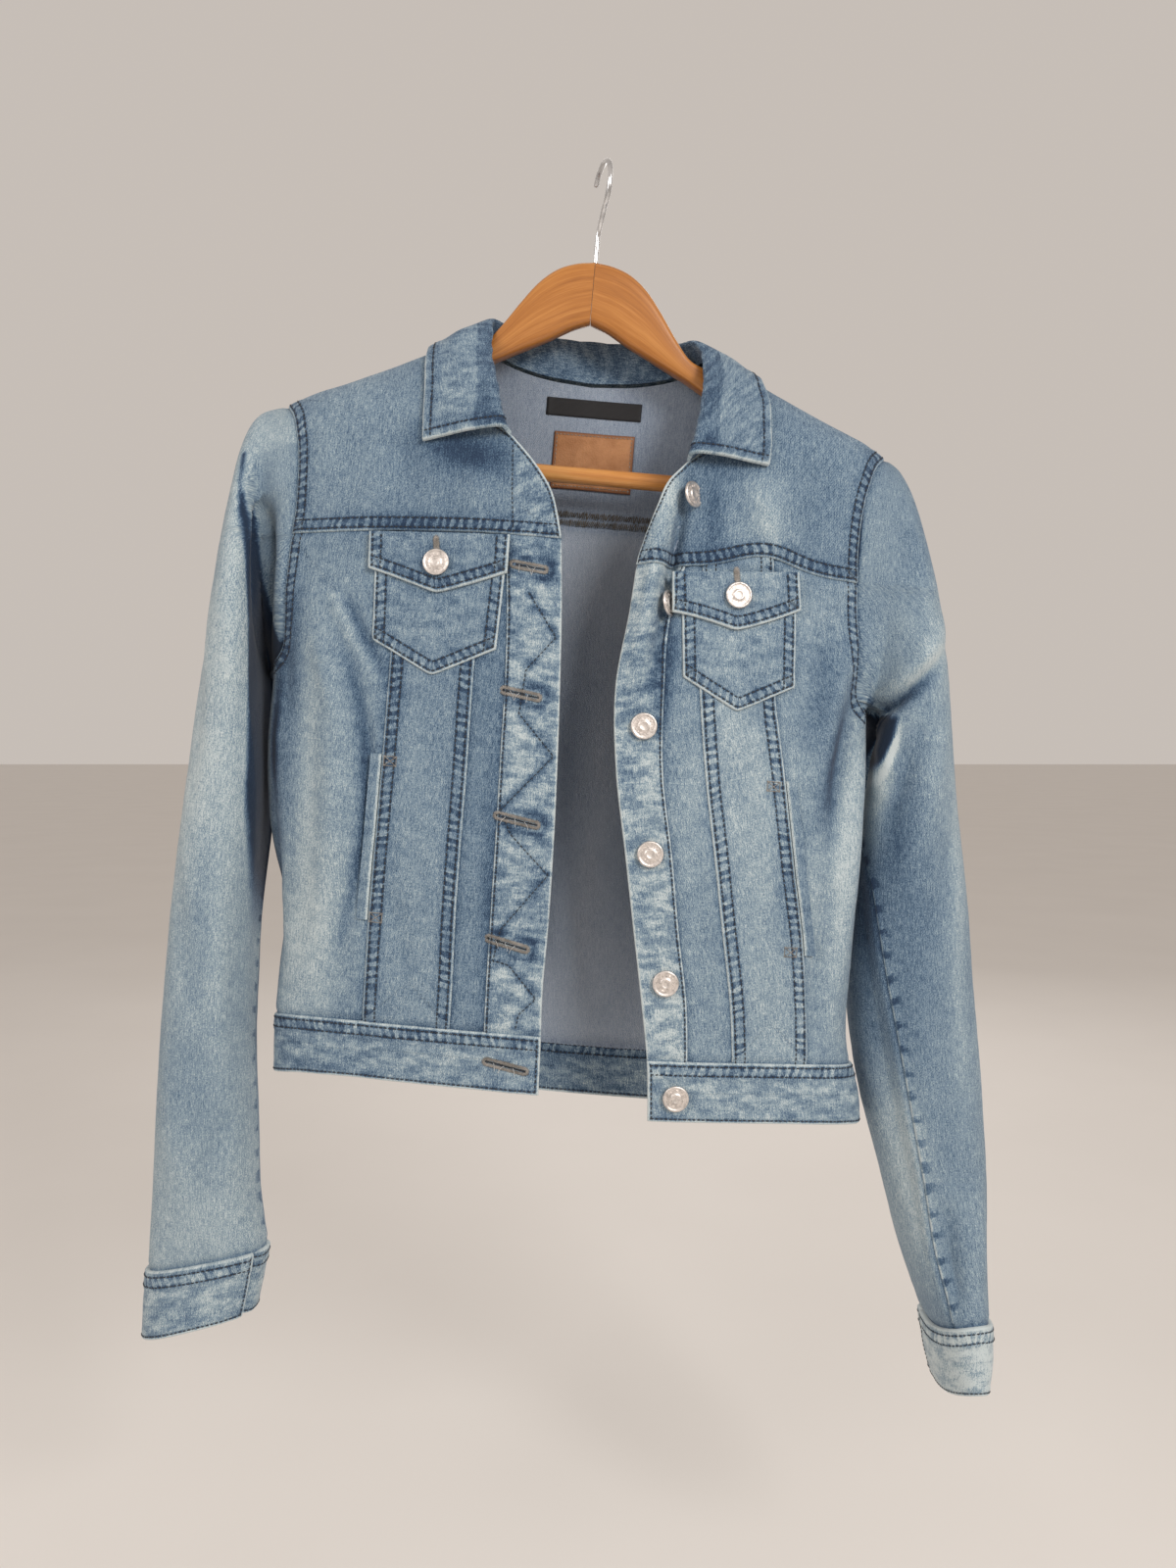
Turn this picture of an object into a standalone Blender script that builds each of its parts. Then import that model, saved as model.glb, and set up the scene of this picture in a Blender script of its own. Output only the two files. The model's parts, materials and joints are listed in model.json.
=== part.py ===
"""Cropped denim jacket hanging open on a wooden hanger, as closed solids.

The jacket is drawn in its own frame in millimetres: x runs to the wearer's left, y to the back, and
"down" is the distance below the inside top of the hook. Every cloth piece is a wall around one smooth
torso, sleeve or collar surface, and world() tilts the finished points and turns them into metres.
"""

import math

import bpy
import numpy as np

MM = 0.001
TILT = math.radians(5.0)  # the hanger hangs with the wearer's left shoulder low
CLOTH = 1.4  # one layer of denim
DOUBLE = 2.2  # collar, bands and flaps, where two layers are sewn together
GAP = 0.34  # between two pieces at a seam
SLEEVE_GAP = 0.6
LEAST_MITRE = 0.35  # keeps the mitre of a sharp corner from growing too long
REST = 0.8  # clear space under a piece that lies on another
POCKET_REST = 1.2

# Body
SHOULDER_TOP = 178.0
UNDERARM = 352.0
NECK_HALF = 77.0
ROWS_TO_YOKE = 9  # rows of wall between the shoulder and the front yoke seam
ROWS_TO_BACK_YOKE = 7
ROWS_TO_UNDERARM = 18
ROW_TURN = 10.0  # degrees round the armhole from one row to the next
BELOW_ARM = (378, 405, 435, 465, 495, 522, 550)  # heights of the rows below the armhole
NEAR_HEM = 585.0  # a height beside the hem band's seam, and beside the two yoke seams
NEAR_FRONT_YOKE = 260.0
NEAR_BACK_YOKE = 236.0
ARMHOLE_BEND = 1.7  # the higher, the closer to the armhole its curve is followed

# Buttons: each is a neck under a head with a rounded rim, given by radius and height.
BUTTON_PROFILE = ((4.2, 0.0), (4.2, 1.3), (8.0, 1.5), (8.5, 2.3), (7.7, 3.4))
BUTTON_SIDES = 12
BUTTON_REST = 0.6  # clear space under a button

# Hanger
WOOD_THICKNESS = 14.0
WOOD_TOP_EDGE = 5.0  # slope of its rounded upper and lower edges
WOOD_LOW_EDGE = 3.0
HOOKED_END = 180.0  # distance out where the arm drops to hold the trouser bar
BAR_RADIUS = 5.6
BAR_DOWN = 205.5
BAR_HALF = 188.0
BAR_SIDES = 16
WIRE_RADIUS = 1.75
HOOK_RADIUS = 18.0
HOOK_TIP, HOOK_END = 152.0, -52.0  # degrees round the loop, from level with its centre
HOOK_TURN = math.radians(73.0)  # the hook's plane, turned from the hanger's
# Below the loop the wire swings back under its middle: distance along the hook's plane, height.
HOOK_BEND = ((8.6, -33.5), (5.4, -37.4), (2.6, -41.4), (0.9, -45.6), (0.15, -50), (0, -56))
STEM_BOTTOM = 90.0
BORE_TOP = 55.0
BORE_SIDES = 12


def table(names, *rows):
    """A small table with named columns."""
    return dict(zip(names.split(), np.array(rows, float).T))


# Sections through the body: half is half the width, side_y the depth of the side line, front and back
# the reach from it, and power the squareness (2 is an ellipse).
BODY = table(
    "down centre half side_y front back power",
    (84.6, 4, 0.5, 0, 6, 8, 1.8),
    (100, 4, 34, 0, 9, 11, 1.8),
    (120, 4, 77, 0, 15, 16, 1.9),
    (130, 4, 98.7, 0, 24, 22, 1.9),
    (145, 4, 131.3, 0, 31, 26, 1.9),
    (160, 4, 164, 0, 36, 27.5, 1.9),
    (172, 4, 190.5, 0, 39, 28, 1.95),
    (184, 4, 207, 0, 42, 28.5, 2.0),
    (210, 4, 213.5, 0, 44.5, 29, 2.1),
    (257, 4, 210, -1, 47, 29, 2.3),
    (310, 5, 203, -3, 49, 29, 2.5),
    (352, 8, 198, -5, 50, 29, 2.6),
    (405, 10, 198.5, -6, 51, 28, 2.7),
    (450, 13, 197.5, -7, 52, 28, 2.7),
    (513, 19, 191, -8, 51, 28, 2.7),
    (575, 22, 192.5, -8, 50, 29, 2.6),
    (600, 27, 197, -7, 50, 30, 2.6),
    (640, 31, 198, -5, 50, 30, 2.6),
)
# Distance of the armhole seam from the body's centre line.
ARMHOLE = table(
    "down out",
    (178, 199.9),
    (186, 193),
    (200, 188),
    (220, 184.5),
    (245, 183.5),
    (270, 185),
    (300, 186.5),
    (325, 188),
    (340, 190.5),
    (352, 198),
)
# Back neck seam, by its distance from the centre line.
NECK_BACK = table("out down", (0, 138.5), (36, 135.5), (60, 130), (70, 126), (77, 120))

# The two fronts. neck and edge run down the inner edge of the yoke, row by row from the shoulder;
# seams gives the free edge and the long seams below the yoke; hem the band's two edges by how far
# round the body they are, in degrees from the front.
RIGHT, LEFT = "right", "left"
FRONT = {
    RIGHT: {
        "sign": -1,
        "neck": table("row x down", (0, -73, 120), (1, -72.5, 134), (2, -71, 150), (3, -68, 165),
                      (4, -60, 181), (5, -42, 193)),
        "edge": table("row x down", (5, -42, 193), (6, -27, 208), (7, -15, 224), (8, -9, 240),
                      (9, -5, 256)),
        "seams": table(
            "down edge placket inner outer",
            (256, -5, -41, -54, -108),
            (300, -1, -36, -53, -107.5),
            (345, 2, -33, -53, -107),
            (400, 5, -31.5, -52, -106.5),
            (450, 7, -30, -51.5, -106.5),
            (500, 8, -29, -51, -107),
            (545, 8, -28, -49.5, -106.5),
            (575, 9.5, -27, -49, -106),
            (612, 11, -26, -48, -106),
        ),
        "hem": table("turn seam bottom", (0, 572, 610), (45, 575, 612), (90, 583, 623),
                     (135, 592, 630), (180, 594, 631)),
    },
    LEFT: {
        "sign": 1,
        "neck": table("row x down", (0, 81, 120), (1, 83, 134), (2, 87, 150), (3, 89.5, 168),
                      (4, 84, 187), (5, 70, 200)),
        "edge": table("row x down", (5, 70, 200), (6, 59, 214), (7, 53, 232), (8, 47.5, 251),
                      (9, 43.5, 269)),
        "seams": table(
            "down edge placket inner outer",
            (256, 44.5, 77, 86, 131),
            (300, 41.5, 68, 86, 135),
            (345, 37, 68, 90.5, 140),
            (400, 42, 72, 99, 151),
            (450, 52, 82, 109, 161),
            (500, 62, 91, 119, 172),
            (545, 71, 100, 128, 179),
            (583, 78, 104, 133, 183),
            (623, 82, 108, 136, 185),
        ),
        "hem": table("turn seam bottom", (0, 583, 622), (45, 579, 618), (90, 583, 623),
                     (135, 590, 629), (180, 594, 631)),
    },
}
PRINCESS_OUT = 76.0  # the long back seams, from the centre line
PRINCESS_OUT_HEM = 66.0

# Largest folds of the body: a trough has a negative height. A fold runs through three points.
FOLDS = table(
    "back x1 down1 x2 down2 x3 down3 half height",
    # the rolled button band and the valley behind it
    (0, 71, 204, 65, 258, 57, 352, 8, 9),
    (0, 84, 212, 74, 262, 66, 340, 9, -2.5),
    # wearer's left side: a soft diagonal from the armhole into an upright roll
    (0, 186, 268, 176, 390, 190, 560, 15, 5),
    (0, 158, 300, 163, 420, 174, 545, 15, -2),
    # wearer's right side: long soft folds below the armhole
    (0, -168, 300, -150, 420, -146, 560, 12, 4),
    (0, -140, 380, -128, 460, -124, 560, 9, -3),
    (0, -176, 380, -172, 470, -160, 560, 10, -3.5),
    # yokes
    (0, -120, 190, -104, 215, -92, 250, 14, -3),
    (0, 150, 190, 150, 220, 142, 256, 14, 3.5),
    # back
    (1, -105, 260, -112, 400, -104, 570, 16, -5),
    (1, -30, 300, -24, 430, -34, 575, 18, 3.5),
    (1, 44, 290, 52, 420, 50, 575, 15, -4.5),
    (1, 118, 250, 126, 400, 120, 575, 17, 4.5),
    (1, 60, 170, 20, 200, -40, 222, 16, -3),
)

# Rings of the sleeves: the outer and inner point of each ring, its middle depth, its reach to front
# and back, and its squareness. The first ring is the armhole itself.
SLEEVE = {
    RIGHT: table(
        "out_x out_down in_x in_down y reach power",
        (-197, 178, -190, 352, -1, 27, 2.0),
        (-213, 185, -194, 354, -1, 30, 2.0),
        (-222, 205, -198, 357, -2, 33, 2.1),
        (-227.5, 245, -202, 362, -3, 37, 2.2),
        (-232, 300, -205, 370, -4, 40, 2.2),
        (-236, 352, -205, 388, -4, 42, 2.2),
        (-239, 408, -200, 420, -5, 42, 2.2),
        (-242, 470, -196, 472, -6, 41, 2.2),
        (-244, 535, -192, 535, -8, 39, 2.2),
        (-245, 600, -186, 600, -10, 35, 2.2),
        (-243.5, 660, -178, 660, -12, 31, 2.2),
        (-242, 710, -173, 704, -13, 27, 2.2),
        (-241, 761, -165, 740, -14, 24, 2.2),
    ),
    LEFT: table(
        "out_x out_down in_x in_down y reach power",
        (205, 178, 206, 352, -1, 27, 2.0),
        (215, 185, 211, 353, 0, 30, 2.0),
        (227, 204, 216, 355, 1, 33, 2.1),
        (241, 243, 220, 360, 2, 37, 2.2),
        (253.5, 290, 222, 368, 3, 40, 2.2),
        (263.5, 342, 220, 388, 4, 42, 2.2),
        (275, 402, 217, 424, 5, 41, 2.2),
        (289, 470, 217, 474, 5, 39, 2.2),
        (300, 535, 222, 535, 4, 36, 2.2),
        (311, 600, 233.5, 600, 2, 34, 2.2),
        (319, 660, 251, 658, 0, 34, 2.2),
        (323, 710, 268, 708, -2, 36, 2.2),
        (326, 748, 290, 756, -3, 40, 2.2),
    ),
}
# Sleeve folds: ring numbers and turns in degrees (0 outside, 90 front, 180 inside).
SLEEVE_FOLDS = {
    RIGHT: table(
        "ring1 turn1 ring2 turn2 ring3 turn3 half height",
        (1.4, 70, 3.2, 118, 5.2, 150, 9, -8),
        (5.5, 95, 7.5, 110, 9.5, 96, 11, -3),
        (6.5, 30, 9, 40, 11.5, 30, 12, 2.5),
        (2, -60, 4, -110, 6, -130, 10, -6),
        (7, -80, 9, -100, 11, -90, 12, -3),
    ),
    LEFT: table(
        "ring1 turn1 ring2 turn2 ring3 turn3 half height",
        (3.0, 62, 3.6, 95, 4.6, 132, 8, -8),
        (4.4, 40, 4.9, 75, 5.6, 108, 10, 4),
        (5.5, 60, 6.3, 85, 7.2, 105, 9, -4),
        (8.5, 60, 10.3, 84, 11.9, 78, 8, -6),
        (2, -60, 4, -110, 6, -130, 10, -6),
        (7, -80, 9, -100, 11, -90, 12, -3),
    ),
}
# Turns of the sleeve's two seams, at the armhole and at the cuff.
UNDER_SEAM = {RIGHT: (180.0, 152.0), LEFT: (150.0, 136.0)}
BACK_SEAM = -100.0
CUFF = {
    RIGHT: table("out_x out_down in_x in_down y reach", (-242, 762, -164.5, 741, -14, 25),
                 (-242.5, 785, -166, 763, -14, 25), (-241.5, 809, -169, 784, -14, 25)),
    LEFT: table("out_x out_down in_x in_down y reach", (327, 749, 289.5, 757, -3, 41),
                (331, 775, 294, 780, -3, 40), (329.5, 798, 302, 801, -3, 39)),
}
CUFF_DIP = {RIGHT: -3.5, LEFT: -11.0}  # how much lower than its ends the cuff's front hangs
CUFF_VENT = {RIGHT: 148.0, LEFT: 196.0}
CUFF_UNDERLAP = 24.0  # degrees
UNDERLAP_TUCK = -3.4  # how far in the cuff's under end lies
CUFF_BUTTON = {RIGHT: 240.0, LEFT: 272.0}

# Collar: the fold line and the outer edge at stations from the wearer's right front end, round the
# back of the neck, to the left front end. The seam side follows the neckline. The edge is placed by the
# square root of its distance below the shoulder line, negative on the back.
COLLAR = table(
    "station fold_x fold_y fold_down edge_x edge_drop",
    (0, -47, -50, 190, -98, 8.35),
    (1, -51, -46, 175, -99.5, 7.3),
    (2, -57, -34, 154, -101, 5.9),
    (3, -62, -21, 137, -103, 4.3),
    (4, -64, -9, 119, -104, 2.4),
    (5, -65, 2, 107, -101, -1.2),
    (6, -52, 15, 107, -82, -4.7),
    (7, -31, 22, 109, -50, -6.7),
    (8, 3, 26, 107.5, 3, -8.5),
    (9, 38, 22, 109.5, 57, -6.7),
    (10, 58, 15, 109, 90, -4.7),
    (11, 71, 2, 110, 110, -1.2),
    (12, 77, -10, 124, 117, 2.6),
    (13, 78, -22, 140, 121, 4.1),
    (14, 77.5, -34, 157, 122, 5.5),
    (15, 74.5, -46, 180, 123, 6.8),
    (16, 72, -52, 197, 122, 7.7),
)
COLLAR_LIFT = 3.4  # of the leaf's middle layer over the panel under it
STATIONS = 16

# Chest pockets and flaps: corner positions of each.
POCKET = {
    RIGHT: {"top": (-122.5, -38.5, 268), "low": (-119, -40, 330, 350), "flap": (-126.5, -37.5, 262, 257.5),
            "flap_low": (-125, -37, 285.5, 281.5, 298), "button": (-82, 279)},
    LEFT: {"top": (76, 147, 276), "low": (80, 151, 337, 356), "flap": (74, 147, 271.5, 264),
           "flap_low": (76, 150, 297, 288, 305), "button": (109, 283)},
}
BAND_BUTTONS = table("x down", (75, 221), (65, 291), (57, 370), (68, 450), (85, 531), (98, 604))
POCKET_COLUMNS = (0, 0.06, 0.13, 0.24, 0.37, 0.5, 0.67, 0.84, 1)
WELT = {RIGHT: (402, 508), LEFT: (397, 508)}
WELT_WIDTH = 7.0
WELT_THICKNESS = 1.0
# Labels inside the back yoke: left, right, top and bottom edge.
LABEL_WOVEN = (-26, 40, 147.5, 159.5)
LABEL_PATCH = (-19, 37, 170, 209.5)

# Wood of the hanger: top and bottom edge along one arm.
HANGER = table(
    "x top bottom",
    (0.15, 65, 105),
    (13, 67, 110),
    (26, 72.5, 117.5),
    (37, 82, 123),
    (47, 95, 128),
    (58, 111, 133.6),
    (68, 123.3, 138.5),
    (79, 128.5, 145),
    (110, 142, 160),
    (150, 159.5, 178),
    (180, 174, 193),
    (188.3, 178, 197),
    (188.8, 178.5, 214),
    (201, 186, 214),
    (207, 194, 210),
)

DENIM = (0.30, 0.42, 0.54)
DENIM_DARK = (0.17, 0.28, 0.42)
DENIM_LIGHT = (0.42, 0.53, 0.62)
SILVER = (0.72, 0.68, 0.65)
WOOD = (0.63, 0.33, 0.11)
CHROME = (0.75, 0.75, 0.76)
LEATHER = (0.50, 0.22, 0.08)
BLACK = (0.012, 0.013, 0.018)


def curve(xs, ys, x):
    """Value at x on a smooth curve through the points (xs, ys), with xs rising."""
    slope = np.gradient(ys, xs)
    x = np.clip(x, xs[0], xs[-1])
    i = np.clip(np.searchsorted(xs, x, side="right") - 1, 0, len(xs) - 2)
    step = xs[i + 1] - xs[i]
    t = (x - xs[i]) / step
    start = (1 + 2 * t) * (1 - t) ** 2 * ys[i] + t * (1 - t) ** 2 * step * slope[i]
    end = t * t * (3 - 2 * t) * ys[i + 1] + t * t * (t - 1) * step * slope[i + 1]
    return start + end


def mix(a, b, t):
    return a + (b - a) * t


def power(value, exponent):
    return np.sign(value) * np.abs(value) ** exponent


def section(down):
    """The body's section sizes at this height."""
    return [curve(BODY["down"], BODY[key], down) for key in list(BODY)[1:]]


def angle_at(x, down, back=False):
    """Angle round the body, 0 at the front and rising to the wearer's left, of a place on one face."""
    centre, half, _, _, _, squareness = section(down)
    share = np.minimum(np.abs(x - centre) / half, 1.0)
    angle = np.arcsin(share ** (squareness / 2))
    if back:
        angle = math.pi - angle
    return np.where(x < centre, -angle, angle)


def plain_torso(angle, down):
    """Point of the body's smooth surface, before folds."""
    centre, half, side_y, front, back, squareness = section(down)
    across = power(np.sin(angle), 2 / squareness)
    along = power(np.cos(angle), 2 / squareness)
    reach = np.where(along > 0, front, back)
    return np.stack([centre + half * across, side_y - reach * along, -down], -1)


def unit(vectors):
    return vectors / np.maximum(np.linalg.norm(vectors, axis=-1, keepdims=True), 1e-12)


def normals(place, u, v, step=2e-3):
    """Unit normals of the surface place(u, v)."""
    along_u = place(u + step, v) - place(u - step, v)
    along_v = place(u, v + step) - place(u, v - step)
    return unit(np.cross(along_u, along_v))


def outward(place, u, v, centre):
    """Unit normals that point away from centre."""
    found = normals(place, u, v)
    away = np.sum(found * (place(u, v) - centre), axis=-1, keepdims=True)
    return found * np.where(away < 0, -1.0, 1.0)


def fold_height(points, paths, half, height):
    """Sum of the folds at these points: each fades out sideways and towards its two ends."""
    total = np.zeros(points.shape[:-1])
    for path, width, tall in zip(paths, half, height):
        nearest = np.full(total.shape, 1e9)
        where = np.zeros(total.shape)
        for i in range(len(path) - 1):
            run = path[i + 1] - path[i]
            t = np.clip(np.sum((points - path[i]) * run, axis=-1) / np.dot(run, run), 0, 1)
            distance = np.linalg.norm(points - (path[i] + t[..., None] * run), axis=-1)
            closer = distance < nearest
            nearest = np.where(closer, distance, nearest)
            where = np.where(closer, (i + t) / (len(path) - 1), where)
        fade = np.sin(math.pi * np.clip(where, 0, 1)) ** 1.3
        total += tall * fade * np.exp(-((nearest / width) ** 2))
    return total


def smooth_path(corners, count=9):
    """A path of `count` points that bends smoothly through three corners."""
    t = np.linspace(0, 1, count)[:, None]
    middle = 2 * corners[1] - 0.5 * (corners[0] + corners[2])
    return (1 - t) ** 2 * corners[0] + 2 * t * (1 - t) * middle + t * t * corners[2]


def body_fold_paths():
    paths = []
    for i in range(len(FOLDS["half"])):
        back = FOLDS["back"][i] > 0
        stops = np.array([[FOLDS[f"x{k}"][i], FOLDS[f"down{k}"][i]] for k in (1, 2, 3)])
        flat = smooth_path(stops)
        angles = angle_at(flat[:, 0], flat[:, 1], back)
        paths.append(plain_torso(angles, flat[:, 1]))
    return paths


BODY_PATHS = body_fold_paths()


def torso(angle, down):
    """Point of the body's surface with its folds."""
    angle = np.asarray(angle, float)
    down = np.asarray(down, float) + 0 * angle
    angle = angle + 0 * down
    point = plain_torso(angle, down)
    along_angle = plain_torso(angle + 1e-3, down) - plain_torso(angle - 1e-3, down)
    along_down = plain_torso(angle, down + 0.1) - plain_torso(angle, down - 0.1)
    normal = unit(np.cross(along_down, along_angle))
    height = fold_height(point, BODY_PATHS, FOLDS["half"], FOLDS["height"])
    return point + normal * height[..., None]


def ridge(x):
    """How far down the shoulder line is at x."""
    rows = BODY["down"] <= 211
    down = np.linspace(84.6, 210, 1255)
    half = curve(BODY["down"][rows], BODY["half"][rows], down)
    return np.interp(np.abs(x - BODY["centre"][0]), half, down)


def armhole_down(turn):
    """Height of the armhole at a turn in degrees: 0 on the shoulder, 180 under the arm."""
    return mix(SHOULDER_TOP, UNDERARM, (1 - np.cos(np.radians(turn))) / 2)


def armhole_angle(side, down, back=False):
    """Angle round the body of the armhole seam, and of the side seam below it."""
    sign = FRONT[side]["sign"]
    centre, half, _, _, _, squareness = section(down)
    out = np.where(down >= UNDERARM, half, curve(ARMHOLE["down"], ARMHOLE["out"], down))
    angle = np.arcsin(np.minimum(out / half, 1.0) ** (squareness / 2))
    return sign * (math.pi - angle if back else angle)


def inner_edge(side, row):
    """Where the front yoke's inner edge is at a row: down the neckline, then down the free edge."""
    neck, edge = FRONT[side]["neck"], FRONT[side]["edge"]
    x = np.where(row < 5, curve(neck["row"], neck["x"], row), curve(edge["row"], edge["x"], row))
    down = np.where(row < 5, curve(neck["row"], neck["down"], row),
                    curve(edge["row"], edge["down"], row))
    return x, down


def outer_edge(side, row):
    """Where the armhole is at a row of the yoke."""
    down = armhole_down(ROW_TURN * row)
    out = curve(ARMHOLE["down"], ARMHOLE["out"], down)
    return BODY["centre"][0] + FRONT[side]["sign"] * out, down


def over_shoulder(x, drop, back=False):
    """Point at x, where drop squared is the distance below the shoulder line: negative drops cross it."""
    down = ridge(x) + drop * drop
    front_angle = angle_at(x, down)
    turned = np.where(front_angle < 0, -math.pi, math.pi) - front_angle
    crossed = drop > 0 if back else drop < 0
    return torso(np.where(crossed, turned, front_angle), down)


def front_yoke(side, u, row):
    """Front yoke: u runs from the neck or free edge to the armhole, row from the shoulder down."""
    x_in, down_in = inner_edge(side, np.abs(row))
    x_out, down_out = outer_edge(side, np.abs(row))
    drop_in = np.sqrt(np.maximum(down_in - ridge(x_in), 0))
    drop_out = np.sqrt(np.maximum(down_out - ridge(x_out), 0))
    return over_shoulder(mix(x_in, x_out, u), np.sign(row) * mix(drop_in, drop_out, u))


def yoke_seam_down(side, x):
    """Height of the front yoke seam at x."""
    x_in, down_in = inner_edge(side, np.array(float(ROWS_TO_YOKE)))
    x_out, down_out = outer_edge(side, np.array(float(ROWS_TO_YOKE)))
    u = (x - x_in) / (x_out - x_in)
    drop = mix(np.sqrt(down_in - ridge(x_in)), np.sqrt(down_out - ridge(x_out)), u)
    return ridge(x) + drop * drop


def back_neck_drop(x):
    """Square root of how far the back neck seam lies below the shoulder line."""
    out = np.abs(x - BODY["centre"][0])
    down = curve(NECK_BACK["out"], NECK_BACK["down"], out)
    return np.where(out < NECK_HALF, np.sqrt(np.maximum(down - ridge(x), 0)), 0.0)


def back_yoke(u, row):
    """Back yoke: u runs from the right armhole to the left one, row from the shoulder down."""
    x_right, down_out = outer_edge(RIGHT, np.abs(row))
    x_left, _ = outer_edge(LEFT, np.abs(row))
    x = mix(x_right, x_left, u)
    drop_out = np.sqrt(np.maximum(down_out - ridge(x_right), 0))
    last = outer_edge(RIGHT, np.array(float(ROWS_TO_BACK_YOKE)))
    drop_last = np.sqrt(last[1] - ridge(last[0]))
    share = drop_out / drop_last
    x_top = mix(outer_edge(RIGHT, 0 * row)[0], outer_edge(LEFT, 0 * row)[0], u)
    drop = mix(back_neck_drop(x_top), back_seam_drop(u), share)
    return over_shoulder(x, np.where(row < 0, -drop, drop), back=True)


def back_seam_drop(u):
    """Square root of how far the back yoke seam lies below the shoulder line."""
    x_right, down_right = outer_edge(RIGHT, np.array(float(ROWS_TO_BACK_YOKE)))
    x_left, _ = outer_edge(LEFT, np.array(float(ROWS_TO_BACK_YOKE)))
    x = mix(x_right, x_left, u)
    return np.sqrt(down_right + 2.0 * np.sin(math.pi * u) - ridge(x))


def back_seam_down(x):
    """Height of the back yoke seam at x."""
    x_right, down_right = outer_edge(RIGHT, np.array(float(ROWS_TO_BACK_YOKE)))
    x_left, _ = outer_edge(LEFT, np.array(float(ROWS_TO_BACK_YOKE)))
    return down_right + 2.0 * np.sin(math.pi * (x - x_right) / (x_left - x_right))


def seam_angle(side, key):
    """The angle, as a function of height, of one of the long front seams or of the free edge."""
    seams = FRONT[side]["seams"]
    return lambda down: angle_at(curve(seams["down"], seams[key], down), down)


def side_angle(side, back=False):
    return lambda down: armhole_angle(side, down, back)


def princess_angle(side):
    """The angle of a long back seam, which leans in towards the hem."""
    sign = FRONT[side]["sign"]

    def at(down):
        centre = section(down)[0]
        out = mix(PRINCESS_OUT, PRINCESS_OUT_HEM, (down - NEAR_BACK_YOKE) / (NEAR_HEM - NEAR_BACK_YOKE))
        return angle_at(centre + sign * out, down, back=True)

    return at


def hem_down(angle, key):
    """Height of the hem band's seam or bottom edge at an angle round the body."""
    angle = (angle + math.pi) % (2 * math.pi) - math.pi
    turn = np.degrees(np.abs(angle))
    right, left = FRONT[RIGHT]["hem"], FRONT[LEFT]["hem"]
    return np.where(angle < 0, curve(right["turn"], right[key], turn), curve(left["turn"], left[key], turn))


def panel(side, first, second, back=False, at_arm=False):
    """Surface between two long seams: u across it, v from the yoke seam at 0 to the hem band at 1.

    Beside the arm the armhole's curve is followed near the edge only."""

    def across(u, down):
        start, end = first(down), second(down)
        bend = (end - second(NEAR_HEM)) * (np.abs(u) ** ARMHOLE_BEND - u) if at_arm else 0.0
        return mix(start, end, u) + bend

    def place(u, v):
        top = 0 * u + (NEAR_BACK_YOKE if back else NEAR_FRONT_YOKE)
        for _ in range(2):
            x = plain_torso(across(u, top), top)[..., 0]
            top = back_seam_down(x) if back else yoke_seam_down(side, x)
        down = mix(top, hem_down(across(u, NEAR_HEM), "seam"), v)
        return torso(across(u, down), down)

    return place


def band(first, second):
    """Hem band: u along it, v from its seam to its bottom edge."""

    def place(u, v):
        angle = mix(first(NEAR_HEM), second(NEAR_HEM), u)
        down = mix(hem_down(angle, "seam"), hem_down(angle, "bottom"), v)
        return torso(mix(first(down), second(down), u), down)

    return place


def column(rings, key, t):
    numbers = np.arange(len(rings[key]), dtype=float)
    return curve(numbers, rings[key], t)


def armhole_point(side, turn):
    """Point of the armhole seam at a turn in degrees: positive at the front, negative at the back."""
    down = armhole_down(np.abs(turn))
    front = torso(armhole_angle(side, down), down)
    back = torso(armhole_angle(side, down, back=True), down)
    return np.where((turn >= 0)[..., None], front, back)


def ring_point(rings, turn, t, squareness, dip=0.0):
    """Point of a ring that spans its outer and inner point."""
    outer = np.stack([column(rings, "out_x", t), column(rings, "y", t), -column(rings, "out_down", t)], -1)
    inner = np.stack([column(rings, "in_x", t), column(rings, "y", t), -column(rings, "in_down", t)], -1)
    across = power(np.cos(np.radians(turn)), 2 / squareness)[..., None]
    along = power(np.sin(np.radians(turn)), 2 / squareness)
    point = (outer + inner) / 2 + across * (outer - inner) / 2
    point[..., 1] -= column(rings, "reach", t) * along
    point[..., 2] -= dip * along * np.abs(along)
    return point


def plain_sleeve(side, turn, t):
    """Point of the sleeve before folds: t counts the rings from the armhole, turn goes round."""
    rings = SLEEVE[side]
    to_cuff = np.clip((t - 8) / (len(rings["y"]) - 9), 0, 1) ** 1.5
    point = ring_point(rings, turn, t, column(rings, "power", t), CUFF_DIP[side] * to_cuff)
    near = np.clip(1 - t, 0, 1)
    weight = (near * near * (3 - 2 * near))[..., None]
    wrapped = (turn + 180) % 360 - 180
    return mix(point, armhole_point(side, np.where(turn == 180, 180.0, wrapped)), weight)


def ring_centre(rings, t):
    x = (column(rings, "out_x", t) + column(rings, "in_x", t)) / 2
    down = (column(rings, "out_down", t) + column(rings, "in_down", t)) / 2
    return np.stack([x, column(rings, "y", t), -down], -1)


def sleeve_fold_paths(side):
    folds = SLEEVE_FOLDS[side]
    paths = []
    for i in range(len(folds["half"])):
        stops = np.array([[folds[f"ring{k}"][i], folds[f"turn{k}"][i]] for k in (1, 2, 3)])
        flat = smooth_path(stops)
        paths.append(plain_sleeve(side, flat[:, 1], flat[:, 0]))
    return paths


SLEEVE_PATHS = {side: sleeve_fold_paths(side) for side in (RIGHT, LEFT)}


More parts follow.
